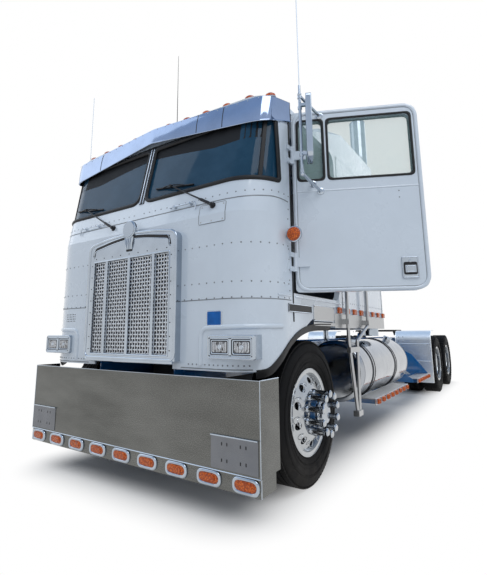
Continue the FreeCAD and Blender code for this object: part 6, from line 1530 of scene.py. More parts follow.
def tyres():
    steer = tyre(STEER_MIDDLE, False)
    twins = tyre(DRIVE_MIDDLE, True).join(tyre(DRIVE_MIDDLE - TWIN_PITCH, True))
    for label, side in SIDES:
        piece(f"tyre_treaded_front_{label}", set_at(steer, 0, side), f"front_wheel_{label}", TYRE,
              instead=f"tyre_front_{label}")
        for spot, y in DRIVE_SPOTS.items():
            piece(f"tyres_treaded_{spot}_{label}", set_at(twins, y, side), f"{spot}_wheels_{label}", TYRE,
                  instead=f"tyres_{spot}_{label}")


# Wheels: rim lips, hand hole edges, long lug covers, hub sleeve, valve
BOLT_FACE = 1.166
LUGS = 10
BOLT_CIRCLE = 0.143
HAND_CIRCLE, HAND_HOLE = 0.228, 0.029


def around(count, radius, start=0.5):
    """Evenly spaced spots on a circle about the wheel's axis."""
    turns = [math.tau * (k + start) / count for k in range(count)]
    return [(radius * math.cos(turn), radius * math.sin(turn)) for turn in turns]


def lug_cover(long):
    """A tapered cover with a wide round foot, rings and a domed tip."""
    profile = [
        (-0.002, 0.0310), (0.006, 0.0315), (0.010, 0.0300), (0.020, 0.0290), (0.028, 0.0245),
        (0.040, 0.0222),
        (long - 0.036, 0.0205), (long - 0.028, 0.0225), (long - 0.018, 0.0268), (long - 0.006, 0.0272),
        (long + 0.0005, 0.0215), (long + 0.0015, 0.0),
    ]
    return turned(profile, 18)


def steer_dressing():
    covers = Form()
    for y, z in around(LUGS, BOLT_CIRCLE):
        covers.join(lug_cover(0.148).placed(Matrix.Translation((BOLT_FACE, y, z))))
    rings = Form()
    lip = [(1.1335, u, v) for u, v in circle(0.3215, 72)]
    rings.join(tube(lip, 0.0045, 8, closed=True))
    inner = [(1.128, u, v) for u, v in circle(0.296, 64)]
    rings.join(tube(inner, 0.0030, 6, closed=True))
    for y, z in around(LUGS, HAND_CIRCLE, 0.25):
        spots = [(1.150, y + u, z + v) for u, v in circle(HAND_HOLE + 0.001, 20)]
        rings.join(tube(spots, 0.0022, 6, closed=True))
    hub_run = (
        (0.002, 0.098), (0.070, 0.096), (0.078, 0.090), (0.080, 0.082),
        (0.100, 0.080), (0.106, 0.074), (0.107, 0.030), (0.107, 0),
    )
    hub = turned([(BOLT_FACE + along, radius) for along, radius in hub_run], 40)
    caps = studs(
        [((BOLT_FACE + 0.081, y, z), (1, 0, 0)) for y, z in around(8, 0.0885, 0.0)], 0.007, 0.007, 6
    )
    sleeve_run = ((0.012, 0.0985), (0.014, 0.101), (0.050, 0.100), (0.052, 0.0975))
    sleeve = turned([(BOLT_FACE + along, radius) for along, radius in sleeve_run], 40)
    valve = tube([(1.150, 0.262, 0.04), (1.166, 0.250, 0.038), (1.176, 0.235, 0.036)], 0.005, 8)
    return covers.join(valve), rings, hub.join(caps), sleeve


def drive_dressing():
    bolt = DRIVE_MIDDLE + TYRE_HALF - 0.285
    covers = Form()
    for y, z in around(LUGS, BOLT_CIRCLE):
        covers.join(lug_cover(0.073).placed(Matrix.Translation((bolt, y, z))))
    rings = tube([(1.1995, u, v) for u, v in circle(0.3215, 72)], 0.0045, 8, closed=True)
    rings.join(tube([(1.190, u, v) for u, v in circle(0.292, 64)], 0.0030, 6, closed=True))
    hub = turned(
        [(bolt + 0.004, 0.093), (bolt + 0.062, 0.092), (bolt + 0.071, 0.086), (bolt + 0.072, 0.0)], 40
    )
    hub.join(studs([((bolt + 0.0715, y, z), (1, 0, 0)) for y, z in around(8, 0.072, 0.0)], 0.008, 0.008, 6))
    return covers, rings, hub


def wheels():
    covers, rings, hub, sleeve = steer_dressing()
    drive_covers, drive_rings, drive_hub = drive_dressing()
    for label, side in SIDES:
        body = f"front_wheel_{label}"
        piece(f"lug_covers_front_{label}", set_at(covers, 0, side), body, LUG_CHROME)
        piece(f"rim_rings_front_{label}", set_at(rings, 0, side), body, ALLOY)
        piece(f"hub_front_{label}", set_at(hub, 0, side), body, LUG_CHROME)
        piece(f"hub_sleeve_front_{label}", set_at(sleeve, 0, side), body, BLUE)
        for spot, y in DRIVE_SPOTS.items():
            body = f"{spot}_wheels_{label}"
            piece(f"lug_covers_{spot}_{label}", set_at(drive_covers, y, side), body, LUG_CHROME)
            piece(f"rim_rings_{spot}_{label}", set_at(drive_rings, y, side), body, ALLOY)
            piece(f"hub_{spot}_{label}", set_at(drive_hub, y, side), body, CHROME)


tyres()
wheels()


# Cab's side: bare badge plates, bright panels, sill beads and the sleeper's seams
# Low edge, top edge, front, rear and thickness
SIDE_BADGE = (1.288, 1.350, -0.455, -0.052, 0.004)
SIDE_PANEL = (1.232, 1.362, -0.022, 0.430, 0.003)


def side_dressing():
    plates, badges, rims_form, screws = Form(), Form(), Form(), []
    for sheets, low, high, start, end, thick in ((badges, *SIDE_BADGE), (plates, *SIDE_PANEL)):
        outline = frame_of(end - start, high - low, 0.006)
        seat = facing(at(CAB_HALF, (start + end) / 2, (low + high) / 2), (1, 0, 0))
        sheets.join(plate(outline, thick).placed(seat))
        rims_form.join(rim(outline, 0.008, thick + 0.002).placed(seat))
        screws += [(at(1.205 + thick, y, z), (1, 0, 0)) for y in (start + 0.015, end - 0.015)
                   for z in (low + 0.012, high - 0.012)]
    low_trim = [at(1.205, y, 1.210) for y in spread(-0.034, 0.432, 6)]
    plates.join(swept(low_trim, strip(0.030, 0.007, 0.002), up=Vector((1, 0, 0))))
    piece("side_panels_bright", plates.mirrored(), "cab", STAINLESS)
    piece("side_badges_bare", badges.mirrored(), "cab", PLASTIC)
    piece("side_panels_rims", rims_form.mirrored(), "cab", CHROME)
    piece("side_panels_screws", studs(screws, 0.005, 0.003).mirrored(), "cab", BLACK)
    belt = Form()
    for side in (1, -1):
        spots = [(side * along, 1.405) for along in spread(1.30, 1.46, 6)]
        belt.join(cab_strip(spots, bead(0.016, 0.006)))
        run = [at(side * 1.205, y, 1.402) for y in spread(-0.335, 0.60, 12)]
        belt.join(swept(run, bead(0.016, 0.006), up=Vector((side, 0, 0))))
    piece("doorsill_beads", belt, "cab", WHITE)


def sleeper_panels():
    """Lap seams, rivets and vertical pressings on the sleeper's sides and back."""
    seams, rivets = Form(), []
    for side in (1, -1):
        for y in (0.66, 1.34, 2.02):
            run = [at(side * 1.205, y, z) for z in spread(1.32, 2.88, 12)]
            seams.join(swept(run, strip(0.010, 0.002, 0.0006), up=Vector((side, 0, 0))))
            rivets += [(at(side * 1.205, y + 0.02, z), (side, 0, 0)) for z in spread(1.34, 2.86, 26)]
        for z in (1.42, 2.88):
            rivets += [(at(side * 1.205, y, z), (side, 0, 0)) for y in spread(0.70, 2.0, 22)]
    for x in (-0.75, 0.0, 0.75):
        run = [at(x, 2.060, z) for z in spread(1.22, 2.88, 12)]
        seams.join(swept(run, strip(0.010, 0.002, 0.0006), up=Vector((0, 1, 0))))
        rivets += [(at(x + 0.02, 2.060, z), (0, 1, 0)) for z in spread(1.24, 2.86, 26)]
    piece("sleeper_lap_seams", seams, "cab", SEAM_SHADE)
    piece("sleeper_rivets", studs(rivets, 0.0055, 0.003), "cab", SEAM_SHADE)


# Fuel tanks: weld rings, strap edges, filler necks and caps
TANK_OFF, TANK_HIGH, TANK_RADIUS = 0.880, 0.740, 0.318
TANK_FRONT, TANK_END = 1.200, 3.280
STRAP_SPOTS = (1.574, 2.552)
STRAP_HALF = 0.031
CAP_SPOTS = (1.42, 2.95)
CAP_LEAN = (0.38, 0, 0.92)


def tank_details():
    rings, straps, caps, necks = Form(), Form(), Form(), Form()
    for y in (TANK_FRONT + 0.050, TANK_END - 0.050):
        spots = [at(TANK_OFF + u, y, TANK_HIGH + v) for u, v in circle(TANK_RADIUS + 0.0005, 72)]
        rings.join(tube(spots, 0.0035, 6, closed=True))
    for y in STRAP_SPOTS:
        for edge in (-STRAP_HALF, STRAP_HALF):
            spots = [at(TANK_OFF + u, y + edge, TANK_HIGH + v) for u, v in circle(TANK_RADIUS + 0.0055, 72)]
            straps.join(tube(spots, 0.0042, 6, closed=True))
    for y in CAP_SPOTS:
        seat = facing(at(TANK_OFF + 0.12, y, TANK_HIGH + 0.292), CAP_LEAN, (0, 1, 0))
        necks.join(
            turned([(-0.01, 0.055), (0.012, 0.052), (0.014, 0.046), (0.030, 0.046)], 32, "Z").placed(seat)
        )
        caps.join(
            turned([(0.026, 0.056), (0.050, 0.056), (0.056, 0.050), (0.057, 0.0)], 32, "Z").placed(seat)
        )
        for turn in (0.3, 2.4, 4.5):
            arm = Vector((math.cos(turn), math.sin(turn), 0))
            ear = [arm * 0.045 + Vector((0, 0, 0.05)), arm * 0.066 + Vector((0, 0, 0.044))]
            caps.join(tube(ear, 0.006, 8).placed(seat))
    piece("tank_weld_rings", rings.mirrored(), "chassis", TANK)
    piece("tank_strap_edges", straps.mirrored(), "chassis", SEAL)
    piece("tank_filler_necks", necks.mirrored(), "chassis", TANK)
    piece("tank_caps", caps.mirrored(), "chassis", CHROME)


# Running boards: lamps, tread bars and rolled edges
BOARD_RUNS = ((1.460, 3.040, 8), (3.720, 4.740, 6))
BOARD_TOP, BOARD_OUT, BOARD_IN = 0.445, 1.222, 1.022


def board_lamps():
    lenses, feet = Form(), Form()
    for first, last, count in BOARD_RUNS:
        for k in range(count):
            y = first + (last - first) * (k + 0.5) / count
            seat = facing(at(BOARD_OUT, y, 0.414), (1, 0, 0))
            outline = frame_of(0.092, 0.058, 0.012, 3)
            feet.join(stacked([(0, outline), (0.005, outline)]).placed(seat))
            inner = drawn_in(outline, 0.003)
            lenses.join(
                stacked([(0.005, inner), (0.021, inner), (0.026, drawn_in(outline, 0.010))]).placed(seat)
            )
            for off in (-0.024, 0.0, 0.024):
                ridge = [Vector((off, -0.020, 0.0255)), Vector((off, 0.020, 0.0255))]
                lenses.join(tube(ridge, 0.004, 6).placed(seat))
    piece("board_lamp_lenses", lenses.mirrored(), "chassis", AMBER)
    piece("board_lamp_feet", feet.mirrored(), "chassis", CHROME)


def board_tread():
    bars, rolls = Form(), Form()
    for first, last, _ in BOARD_RUNS:
        for x in spread(BOARD_IN + 0.018, BOARD_OUT - 0.018, 9):
            run = [at(x, y, BOARD_TOP) for y in spread(first + 0.02, last - 0.02, 8)]
            bars.join(swept(run, bead(0.012, 0.004, 4), up=RISE))
        for x, drop, radius in ((BOARD_OUT - 0.003, 0.002, 0.0045), (BOARD_IN + 0.002, 0.0, 0.004)):
            run = [at(x, y, BOARD_TOP - drop) for y in (first, last)]
            rolls.join(tube(run, radius, 8))
    piece("board_tread_bars", bars.mirrored(), "chassis", STAINLESS)
    piece("board_rolled_edges", rolls.mirrored(), "chassis", CHROME)


# Quarter fenders: rolled edges, cross beads and bolts
QUARTER_FRONT, QUARTER_REAR = 5.200, 5.545
QUARTER_LOW, QUARTER_TOP = 0.240, 1.172
QUARTER_IN, QUARTER_OUT = 0.602, 1.218


def fender_details():
    corners = [(QUARTER_REAR, QUARTER_TOP), (QUARTER_FRONT, QUARTER_TOP), (QUARTER_FRONT, QUARTER_LOW)]
    curve = rounded_path([(y, z, 0) for y, z in corners], 0.170, 12)
    edges = Form()
    for x in (QUARTER_OUT, QUARTER_IN):
        edges.join(tube([at(x, point.x, point.y) for point in curve], 0.006, 8))
    for y, z in ((QUARTER_REAR, QUARTER_TOP - 0.001), (QUARTER_FRONT + 0.002, QUARTER_LOW + 0.003)):
        edges.join(tube([at(QUARTER_IN, y, z), at(QUARTER_OUT, y, z)], 0.006, 8))
    for z in (0.62, 0.93):
        run = [at(x, 5.199, z) for x in spread(0.62, 1.20, 6)]
        edges.join(swept(run, bead(0.016, 0.005), up=AHEAD))
    piece("fender_rolled_edges", edges.mirrored(), "chassis", FENDER)
    bolts = [(at(x, 5.198, z), (0, -1, 0)) for x in (0.66, 0.74) for z in (0.78, 0.86, 0.98, 1.06)]
    piece("fender_bolts", studs(bolts, 0.011, 0.008, 6).mirrored(), "chassis", STAINLESS)


side_dressing()
sleeper_panels()
tank_details()
board_lamps()
board_tread()
fender_details()


# Doors: rubbers, trim panel, handles, mirror glass and brackets, drawn on the closed left door
DOOR_FRONT, DOOR_END, DOOR_LOW, DOOR_TOP = -0.350, 0.590, 1.435, 2.862
DOOR_FACE, DOOR_BACK = 1.205, 1.155
DOOR_LIGHTS = ((-0.310, -0.108), (-0.082, 0.540))
LIGHT_LOW, LIGHT_TOP = 2.290, 2.790
POST_OUT, POST_BACK, MIRROR_AT = 1.465, -0.280, -0.220


def door_seat(outward, start, end, low, high):
    """Where a form sits on the door's outer or inner skin, with the outline it covers."""
    face = DOOR_FACE if outward > 0 else DOOR_BACK
    return facing(at(face, (start + end) / 2, (low + high) / 2), (outward, 0, 0)), end - start, high - low


def door_edge_seat(outward, inset):
    """The same for an outline drawn in from the door's own edges."""
    return door_seat(outward, DOOR_FRONT + inset, DOOR_END - inset, DOOR_LOW + inset, DOOR_TOP - inset)


def door_rubbers():
    form = Form()
    for start, end in DOOR_LIGHTS:
        for outward in (1, -1):
            seat, wide, tall = door_seat(
                outward, start - 0.007, end + 0.007, LIGHT_LOW - 0.007, LIGHT_TOP + 0.007
            )
            form.join(rim(frame_of(wide, tall, 0.040, 5), 0.019, 0.006).placed(seat))
    seat, wide, tall = door_edge_seat(-1, 0.012)
    return form.join(rim(frame_of(wide, tall, 0.085, 6), 0.016, 0.007).placed(seat))


def door_border():
    """Rounded lip of the pressed door skin, with the belt line under the window."""
    seat, wide, tall = door_edge_seat(1, 0.004)
    form = rim(frame_of(wide, tall, 0.098, 7), 0.022, 0.007).placed(seat)
    belt = [at(DOOR_FACE, y, 2.205) for y in spread(DOOR_FRONT + 0.03, DOOR_END - 0.03, 8)]
    return form.join(swept(belt, bead(0.012, 0.003), up=Vector((1, 0, 0))))


def door_seams():
    seat, wide, tall = door_edge_seat(1, 0.027)
    form = rim(frame_of(wide, tall, 0.078, 7), 0.004, 0.001).placed(seat)
    screws = [(at(DOOR_FACE, 0.420, z), (1, 0, 0)) for z in (2.170, 2.120)]
    return form.join(studs(screws, 0.005, 0.003))


# Front, rear, low and top edges on the door's inner side
TRIM_BOARD = (-0.285, 0.515, 1.500, 2.215)
MAP_POCKET = (-0.250, 0.240, 1.530, 1.720)


def door_trim_panel():
    """Padded board, map pocket and armrest on the door's inner side."""
    seat, wide, tall = door_seat(-1, *TRIM_BOARD)
    outline = frame_of(wide, tall, 0.045, 5)
    form = stacked([(0, outline), (0.009, outline), (0.013, drawn_in(outline, 0.006))]).placed(seat)
    seat, wide, tall = door_seat(-1, *MAP_POCKET)
    pocket = frame_of(wide, tall, 0.030, 4)
    form.join(stacked([(0.010, pocket), (0.030, pocket), (0.034, drawn_in(pocket, 0.006))]).placed(seat))
    rest = slab(at(DOOR_BACK - 0.055, -0.02, 1.905), at(DOOR_BACK - 0.008, 0.36, 1.955), 0.012)
    return form.join(rest)


def door_inner_controls():
    """Pull handle and window crank: small controls that stay fixed."""
    form = Form()
    pull = [at(DOOR_BACK, 0.30, 2.06), at(DOOR_BACK - 0.045, 0.31, 2.06), at(DOOR_BACK - 0.045, 0.45, 2.06),
            at(DOOR_BACK, 0.46, 2.06)]
    form.join(tube(rounded_path(pull, 0.02, 4), 0.007, 8))
    hub = facing(at(DOOR_BACK - 0.012, 0.02, 2.08), (-1, 0, 0))
    form.join(turned([(0, 0.024), (0.012, 0.022), (0.016, 0.016), (0.017, 0)], 20, "Z").placed(hub))
    arm = [at(DOOR_BACK - 0.024, 0.02, 2.08), at(DOOR_BACK - 0.030, -0.07, 2.02)]
    form.join(tube(arm, 0.006, 8))
    form.join(tube([arm[1], arm[1] - Vector((0.035, 0, 0))], 0.009, 10))
    return form


def door_handle():
    seat = facing(at(DOOR_FACE + 0.0083, 0.455, 1.595), (1, 0, 0))
    form = rim(frame_of(0.112, 0.152, 0.008), 0.008, 0.004).placed(seat)
    grip = frame_of(0.066, 0.046, 0.008)
    paddle = facing(at(DOOR_FACE + 0.0163, 0.455, 1.582), (1, 0, 0))
    form.join(rim(grip, 0.007, 0.003).placed(paddle))
    lock = facing(at(DOOR_FACE + 0.0083, 0.455, 1.640), (1, 0, 0))
    return form.join(
        turned([(0, 0.011), (0.005, 0.010), (0.006, 0.006), (0.0061, 0)], 20, "Z").placed(lock)
    )


def door_recess():
    """The dark bowl behind the paddle."""
    seat = facing(at(DOOR_FACE + 0.0083, 0.455, 1.588), (1, 0, 0))
    return plate(frame_of(0.092, 0.092, 0.014), 0.0012).placed(seat)


MIRROR_MIDDLE = 2.580
CLAMP_HIGHS = (2.262, 2.385, 2.748, 2.832)
ARM_FEET = ((-0.198, 2.260), (-0.142, 2.200), (-0.129, 2.820))


def mirror_frame():
    """Beaded rims of the mirror's head, clamps on its post and the arms' feet."""
    form = Form()
    outline = frame_of(0.176, 0.478, 0.028, 5)
    for outward in (1, -1):
        seat = facing(at(POST_OUT, MIRROR_AT + outward * 0.015, MIRROR_MIDDLE), (0, outward, 0))
        form.join(rim(outline, 0.012, 0.005).placed(seat))
    for z in CLAMP_HIGHS:
        ring = turned([(-0.012, 0.0135), (-0.010, 0.0155), (0.010, 0.0155), (0.012, 0.0135)], 16, "Z")
        form.join(ring.placed(Matrix.Translation(at(POST_OUT, POST_BACK, z))))
    for y, z in ARM_FEET:
        seat = facing(at(DOOR_FACE, y, z), (1, 0, 0))
        form.join(
            turned([(0, 0.028), (0.004, 0.027), (0.006, 0.018), (0.012, 0.013)], 20, "Z").placed(seat)
        )
        screws = [(at(DOOR_FACE + 0.004, y + 0.02 * math.cos(a), z + 0.02 * math.sin(a)), (1, 0, 0))
                  for a in (0.5, 2.6, 4.7)]
        form.join(studs(screws, 0.004, 0.003, 6))
    return form


def mirror_glass():
    seat = facing(at(POST_OUT, MIRROR_AT + 0.015, MIRROR_MIDDLE), (0, 1, 0))
    outline = frame_of(0.158, 0.460, 0.022, 5)
    return stacked([(0, outline), (0.002, outline), (0.0028, drawn_in(outline, 0.002))]).placed(seat)


def doors():
    dressing = (
        ("rubbers", door_rubbers(), SEAL, "black_rubber"),
        ("border", door_border(), WHITE, "white_paint"),
        ("seams", door_seams(), SEAM_SHADE, "white_paint"),
        ("handle_recess", door_recess(), PLASTIC, "black_plastic"),
        ("trim_panel", door_trim_panel(), TRIM_GREY, "grey_fabric"),
        ("inner_controls", door_inner_controls(), PLASTIC, "black_plastic"),
        ("handle_rims", door_handle(), CHROME, "chrome"),
        ("mirror_frame", mirror_frame(), CHROME, "chrome"),
        ("mirror_glass", mirror_glass(), MIRROR, "chrome"),
    )
    for label, side in SIDES:
        for name, form, material, slot in dressing:
            piece(f"door_{name}_{label}", on_door(form, side), f"door_{label}", material)


doors()


# Inside the cab: soft seats and bunk on their bases, dash details and wall linings
def baked(thing, modifier_frame):
    """The mesh a temporary object shows at a frame, as points and faces."""
    bpy.context.scene.frame_set(modifier_frame)
    shown = thing.evaluated_get(bpy.context.evaluated_depsgraph_get())
    mesh = shown.to_mesh()
    form = Form([vertex.co for vertex in mesh.vertices], [list(face.vertices) for face in mesh.polygons])
    shown.to_mesh_clear()
    return form


def temporary(form):
    return stood("simulated", meshed("simulated", form))


def inflated(form, voxel, cap):
    """A closed form swollen by cloth pressure; no point moves by more than the cap."""
    thing = temporary(form)
    shell = thing.modifiers.new("Skin", "REMESH")
    shell.mode = "VOXEL"
    shell.voxel_size = voxel
    start = baked(thing, 1)
    bpy.data.objects.remove(thing)
    thing = temporary(start)
    cloth = thing.modifiers.new("Cloth", "CLOTH")
    cloth.settings.use_pressure = True
    cloth.settings.uniform_pressure_force = 4.0
    cloth.settings.effector_weights.gravity = 0.0
    for count in range(2, 17):
        bpy.context.scene.frame_set(count)
    swollen = baked(thing, 17)
    bpy.data.objects.remove(thing)
    bpy.context.scene.frame_set(1)
    for k, point in enumerate(start.points):
        move = swollen.points[k] - point
        if move.length > cap:
            move *= cap / move.length
        start.points[k] = point + move
    return start


def pressed(form, axis, lines, half, deep, outward):
    """Sewn channels: points near each line sink against the outward direction."""
    outward = Vector(outward)
    for k, point in enumerate(form.points):
        for line in lines:
            near = abs(point[axis] - line) / half
            if near < 1.0:
                form.points[k] = form.points[k] - outward * deep * (1 - near * near) ** 2
    return form


def flat_below(form, level):
    """The underside rests flat on its base."""
    for point in form.points:
        point.z = max(point.z, level)
    return form


SEAT_OFF, SEAT_FRONT, SEAT_DEEP, SEAT_TOP = 0.620, 0.090, 0.480, 1.960
FLOOR = 1.4303


def seat_cushion():
    low = at(SEAT_OFF - 0.238, SEAT_FRONT + 0.012, SEAT_TOP - 0.126)
    high = at(SEAT_OFF + 0.238, SEAT_FRONT + SEAT_DEEP - 0.05, SEAT_TOP - 0.016)
    form = inflated(slab(low, high, 0.030), 0.013, 0.014)
    lines = [SEAT_OFF + off for off in (-0.13, 0.13)]
    form = pressed(form, 0, lines, 0.016, 0.010, (0, 0, 1))
    return flat_below(form, at(0, 0, SEAT_TOP - 0.130).z)


def seat_back():
    """The back leans like its solid, 9 degrees, with two upright channels and a cross one."""
    form = inflated(slab((-0.212, -0.046, 0.0), (0.212, 0.046, 0.740), 0.030), 0.013, 0.013)
    form = pressed(form, 0, (-0.12, 0.12), 0.016, 0.009, (0, -1, 0))
    form = pressed(form, 2, (0.50,), 0.016, 0.009, (0, -1, 0))
    lean = Matrix.Rotation(-math.atan2(0.120, 0.770), 4, "X")
    foot = at(SEAT_OFF, SEAT_FRONT + SEAT_DEEP - 0.056, SEAT_TOP - 0.112)
    return form.placed(Matrix.Translation(foot) @ lean)


def piping(form, axis, level, reach):
    """A sewn cord round a cushion, laid on its surface by casting towards the middle."""
    tree = BVHTree.FromPolygons(form.points, form.faces)
    low = Vector([min(point[k] for point in form.points) for k in range(3)])
    high = Vector([max(point[k] for point in form.points) for k in range(3)])
    middle = (low + high) / 2
    middle[axis] = level
    others = [k for k in range(3) if k != axis]
    spots = []
    wide, tall = (high[k] - low[k] + reach for k in others)
    for u, v in frame_of(wide, tall, 0.05, 5):
        start = middle.copy()
        start[others[0]] += u
        start[others[1]] += v
        spot = tree.ray_cast(start, (middle - start).normalized())[0]
        if spot is not None:
            spots.append(spot)
    return tube(dense(spots, 0.03), 0.0035, 6, closed=True)


def seats():
    cushion, back = seat_cushion(), seat_back()
    bases = Form().join(
        slab(at(0.428, SEAT_FRONT + 0.03, FLOOR), at(0.812, SEAT_FRONT + 0.38, SEAT_TOP - 0.130), 0.012),
        slab(at(0.44, 0.505, SEAT_TOP - 0.19), at(0.80, 0.555, SEAT_TOP - 0.09), 0.010),
    )
    for label, side in SIDES:
        turn = Matrix.Scale(side, 4, (1, 0, 0))
        soft = piece(f"seat_cushion_{label}", cushion.placed(turn), "cab", SEAT_CLOTH, 60.0)
        soft = piece(f"seat_back_{label}", back.placed(turn), "cab", SEAT_CLOTH, 60.0)
    bunk_low, bunk_high = (-1.150, 1.256), (1.150, 2.004)
    box = slab(at(*bunk_low, FLOOR), at(*bunk_high, 1.856), 0.012)
    bases = bases.mirrored().join(box)
    for x in (-0.58, 0.58):
        seat = facing(at(x, 1.2565, 1.64), (0, -1, 0))
        bases.join(rim(frame_of(0.90, 0.30, 0.03), 0.014, 0.006).placed(seat))
    piece("seat_and_bunk_bases", bases, "cab", TRIM_GREY, instead="seats_and_bunk")
    bed = slab(at(-1.128, 1.272, 1.862), at(1.128, 1.988, 1.988), 0.035)
    mattress = inflated(bed, 0.024, 0.016)
    mattress = pressed(mattress, 0, spread(-0.94, 0.94, 9), 0.03, 0.008, (0, 0, 1))
    mattress = flat_below(mattress, at(0, 0, 1.857).z)
    soft = piece("bunk_mattress", mattress, "cab", BUNK_CLOTH, 60.0)
    cords = piping(cushion, 2, at(0, 0, SEAT_TOP - 0.034).z, 0.2)
    piece("seat_piping", cords.mirrored(), "cab", SEAL)
    bed_cord = piping(mattress, 2, at(0, 0, 1.975).z, 0.2)
    piece("bunk_piping", bed_cord, "cab", SEAL)


GAUGES = (0.47, 0.60, 0.73, 0.86)
AIR_VENTS = (-0.80, -0.30, 0.20)


def dash_details():
    """Gauge rims, vents and the steering wheel's hub pad."""
    rims_form, dark = Form(), Form()
    for x in GAUGES:
        seat = facing(at(x, -0.082, 2.06), (0, 1, 0.25))
        rims_form.join(
            turned([(0, 0.046), (0.010, 0.046), (0.012, 0.042), (0.008, 0.038)], 28, "Z").placed(seat)
        )
        dark.join(turned([(0.002, 0.038), (0.009, 0.037), (0.0092, 0)], 28, "Z").placed(seat))
    for x in AIR_VENTS:
        for z in spread(2.02, 2.10, 5):
            seat = [at(x - 0.07, -0.062, z), at(x + 0.07, -0.062, z)]
            dark.join(swept(seat, bead(0.008, 0.006), up=Vector((0, 1, 0))))
    hub = facing(at(SEAT_OFF, 0.149, 2.068), (0, 0.469, 0.883), (0, 1, 0))
    dark.join(turned([(0, 0.052), (0.020, 0.050), (0.028, 0.040), (0.030, 0)], 28, "Z").placed(hub))
    piece("dash_gauge_rims", rims_form, "cab", CHROME)
    piece("dash_dark_parts", dark, "cab", PLASTIC)


def linings():
    """Buttons and welts of the padded lining inside the sleeper."""
    buttons, welts = [], Form()
    for side in (1, -1):
        for y in spread(0.80, 1.90, 5):
            for z in spread(2.15, 2.80, 4):
                buttons.append((at(side * 1.1545, y, z), (-side, 0, 0)))
    for x in spread(-0.96, 0.96, 9):
        buttons += [(at(x, 2.0095, z), (0, -1, 0)) for z in spread(2.15, 2.80, 4)]
        run = [at(x + 0.12, 2.0095, z) for z in spread(2.08, 2.88, 6)]
        welts.join(swept(run, bead(0.010, 0.004), up=AHEAD))
    piece("lining_buttons", studs(buttons, 0.011, 0.005), "cab", TRIM_GREY)
    piece("lining_welts", welts, "cab", TRIM_GREY)


seats()
dash_details()
linings()


# Chassis: frame bolts, stack bands, fifth wheel's release, U-bolts, radiator and engine
FRAME_HALF = 0.430


def frame_bolts():
    places = [(y, z) for y in spread(1.95, 7.90, 22) for z in (0.83, 0.97)]
    places += [(y + off, 0.90) for y in DRIVE_SPOTS.values() for off in (-0.22, -0.11, 0.11, 0.22)]
    spots = [(at(FRAME_HALF, y, z), (1, 0, 0)) for y, z in places]
    piece("frame_bolts", studs(spots, 0.013, 0.010, 6).mirrored(), "chassis", BLACK, 20.0)


# Height, half width and thickness of each clamp
STACK_BANDS = ((1.24, 0.026, 0.005), (1.95, 0.030, 0.006), (2.62, 0.030, 0.006), (3.30, 0.026, 0.005))
STACK_OFF, STACK_AT, STACK_RADIUS = 0.980, 2.250, 0.102


def stack_bands():
    """Band clamps, weld beads and rolled tips of the exhaust stacks."""
    form = Form()
    for z, high, stand in STACK_BANDS:
        proud = STACK_RADIUS + stand
        profile = [(-high, 0.1015), (-high * 0.8, proud), (high * 0.8, proud), (high, 0.1015)]
        form.join(turned(profile, 48, "Z").placed(Matrix.Translation(at(STACK_OFF, STACK_AT, z))))
        form.join(slab(at(0.955, 2.348, z - 0.016), at(1.005, 2.372, z + 0.016), 0.003))
    for z in (1.105, 4.032):
        spots = [at(STACK_OFF + u, STACK_AT + v, z) for u, v in circle(0.1005, 48)]
        form.join(tube(spots, 0.0045, 6, closed=True))
    piece("stack_bands", form.mirrored(), "chassis", CHROME)


def fifth_wheel_fittings():
    pull = [at(0.40, 6.32, 1.125), at(0.545, 6.32, 1.125), at(0.560, 6.35, 1.125), at(0.560, 6.40, 1.125)]
    form = tube(rounded_path(pull, 0.02, 4), 0.008, 8)
    spots = [(at(side * 0.457, y, 1.165), (side, 0, 0)) for side in (1, -1) for y in (5.95, 6.12, 6.28)]
    form.join(studs(spots, 0.012, 0.008, 6))
    piece("fifth_wheel_release", form, "fifth_wheel", BLACK, 20.0)


U_BOLT = ((0.36, 0.36), (0.36, 0.70), (0.46, 0.70), (0.46, 0.36))


def axle_clips():
    """U-bolts over the drive axles."""
    form = Form()
    for y in DRIVE_SPOTS.values():
        for off in (-0.075, 0.075):
            bow = [at(x, y + off, z) for x, z in U_BOLT]
            form.join(tube(rounded_path(bow, 0.03, 4), 0.010, 8))
    piece("axle_u_bolts", form.mirrored(), "chassis", BLACK)


def radiator_core():
    fins = Form()
    for x in spread(-0.372, 0.372, 49):
        run = [at(x, -0.7055, 1.07), at(x, -0.7055, 1.62)]
        fins.join(swept(run, strip(0.004, 0.004, 0.001), up=AHEAD))
    for z in (1.060, 1.630):
        run = [at(-0.385, -0.706, z), at(0.385, -0.706, z)]
        fins.join(swept(run, bead(0.030, 0.010), up=AHEAD))
    piece("radiator_fins", fins, "chassis", BLACK)


ENGINE_FRONT, ENGINE_TOP = -0.25, 1.560
# Place across, height and radius
PULLEYS = ((0.0, 0.78, 0.105), (0.16, 1.08, 0.070), (-0.17, 1.12, 0.060), (0.0, 1.30, 0.085))


def engine_dressing():
    ribs_form = Form()
    for y in spread(-0.15, 0.85, 11):
        run = [at(x, y, ENGINE_TOP) for x in (-0.20, 0.20)]
        ribs_form.join(swept(run, bead(0.020, 0.008), up=RISE))
    for x, z, radius in PULLEYS:
        seat = facing(at(x, ENGINE_FRONT, z), (0, -1, 0))
        profile = [(0, radius * 0.4), (0.010, radius * 0.4), (0.011, radius), (0.020, radius * 0.86)]
        profile += [(0.029, radius), (0.031, radius * 0.35), (0.042, radius * 0.3), (0.043, 0)]
        ribs_form.join(turned(profile, 32, "Z").placed(seat))
    piece("engine_ribs_and_pulleys", ribs_form, "chassis", CAST)


frame_bolts()
stack_bands()
fifth_wheel_fittings()
axle_clips()
radiator_core()
engine_dressing()


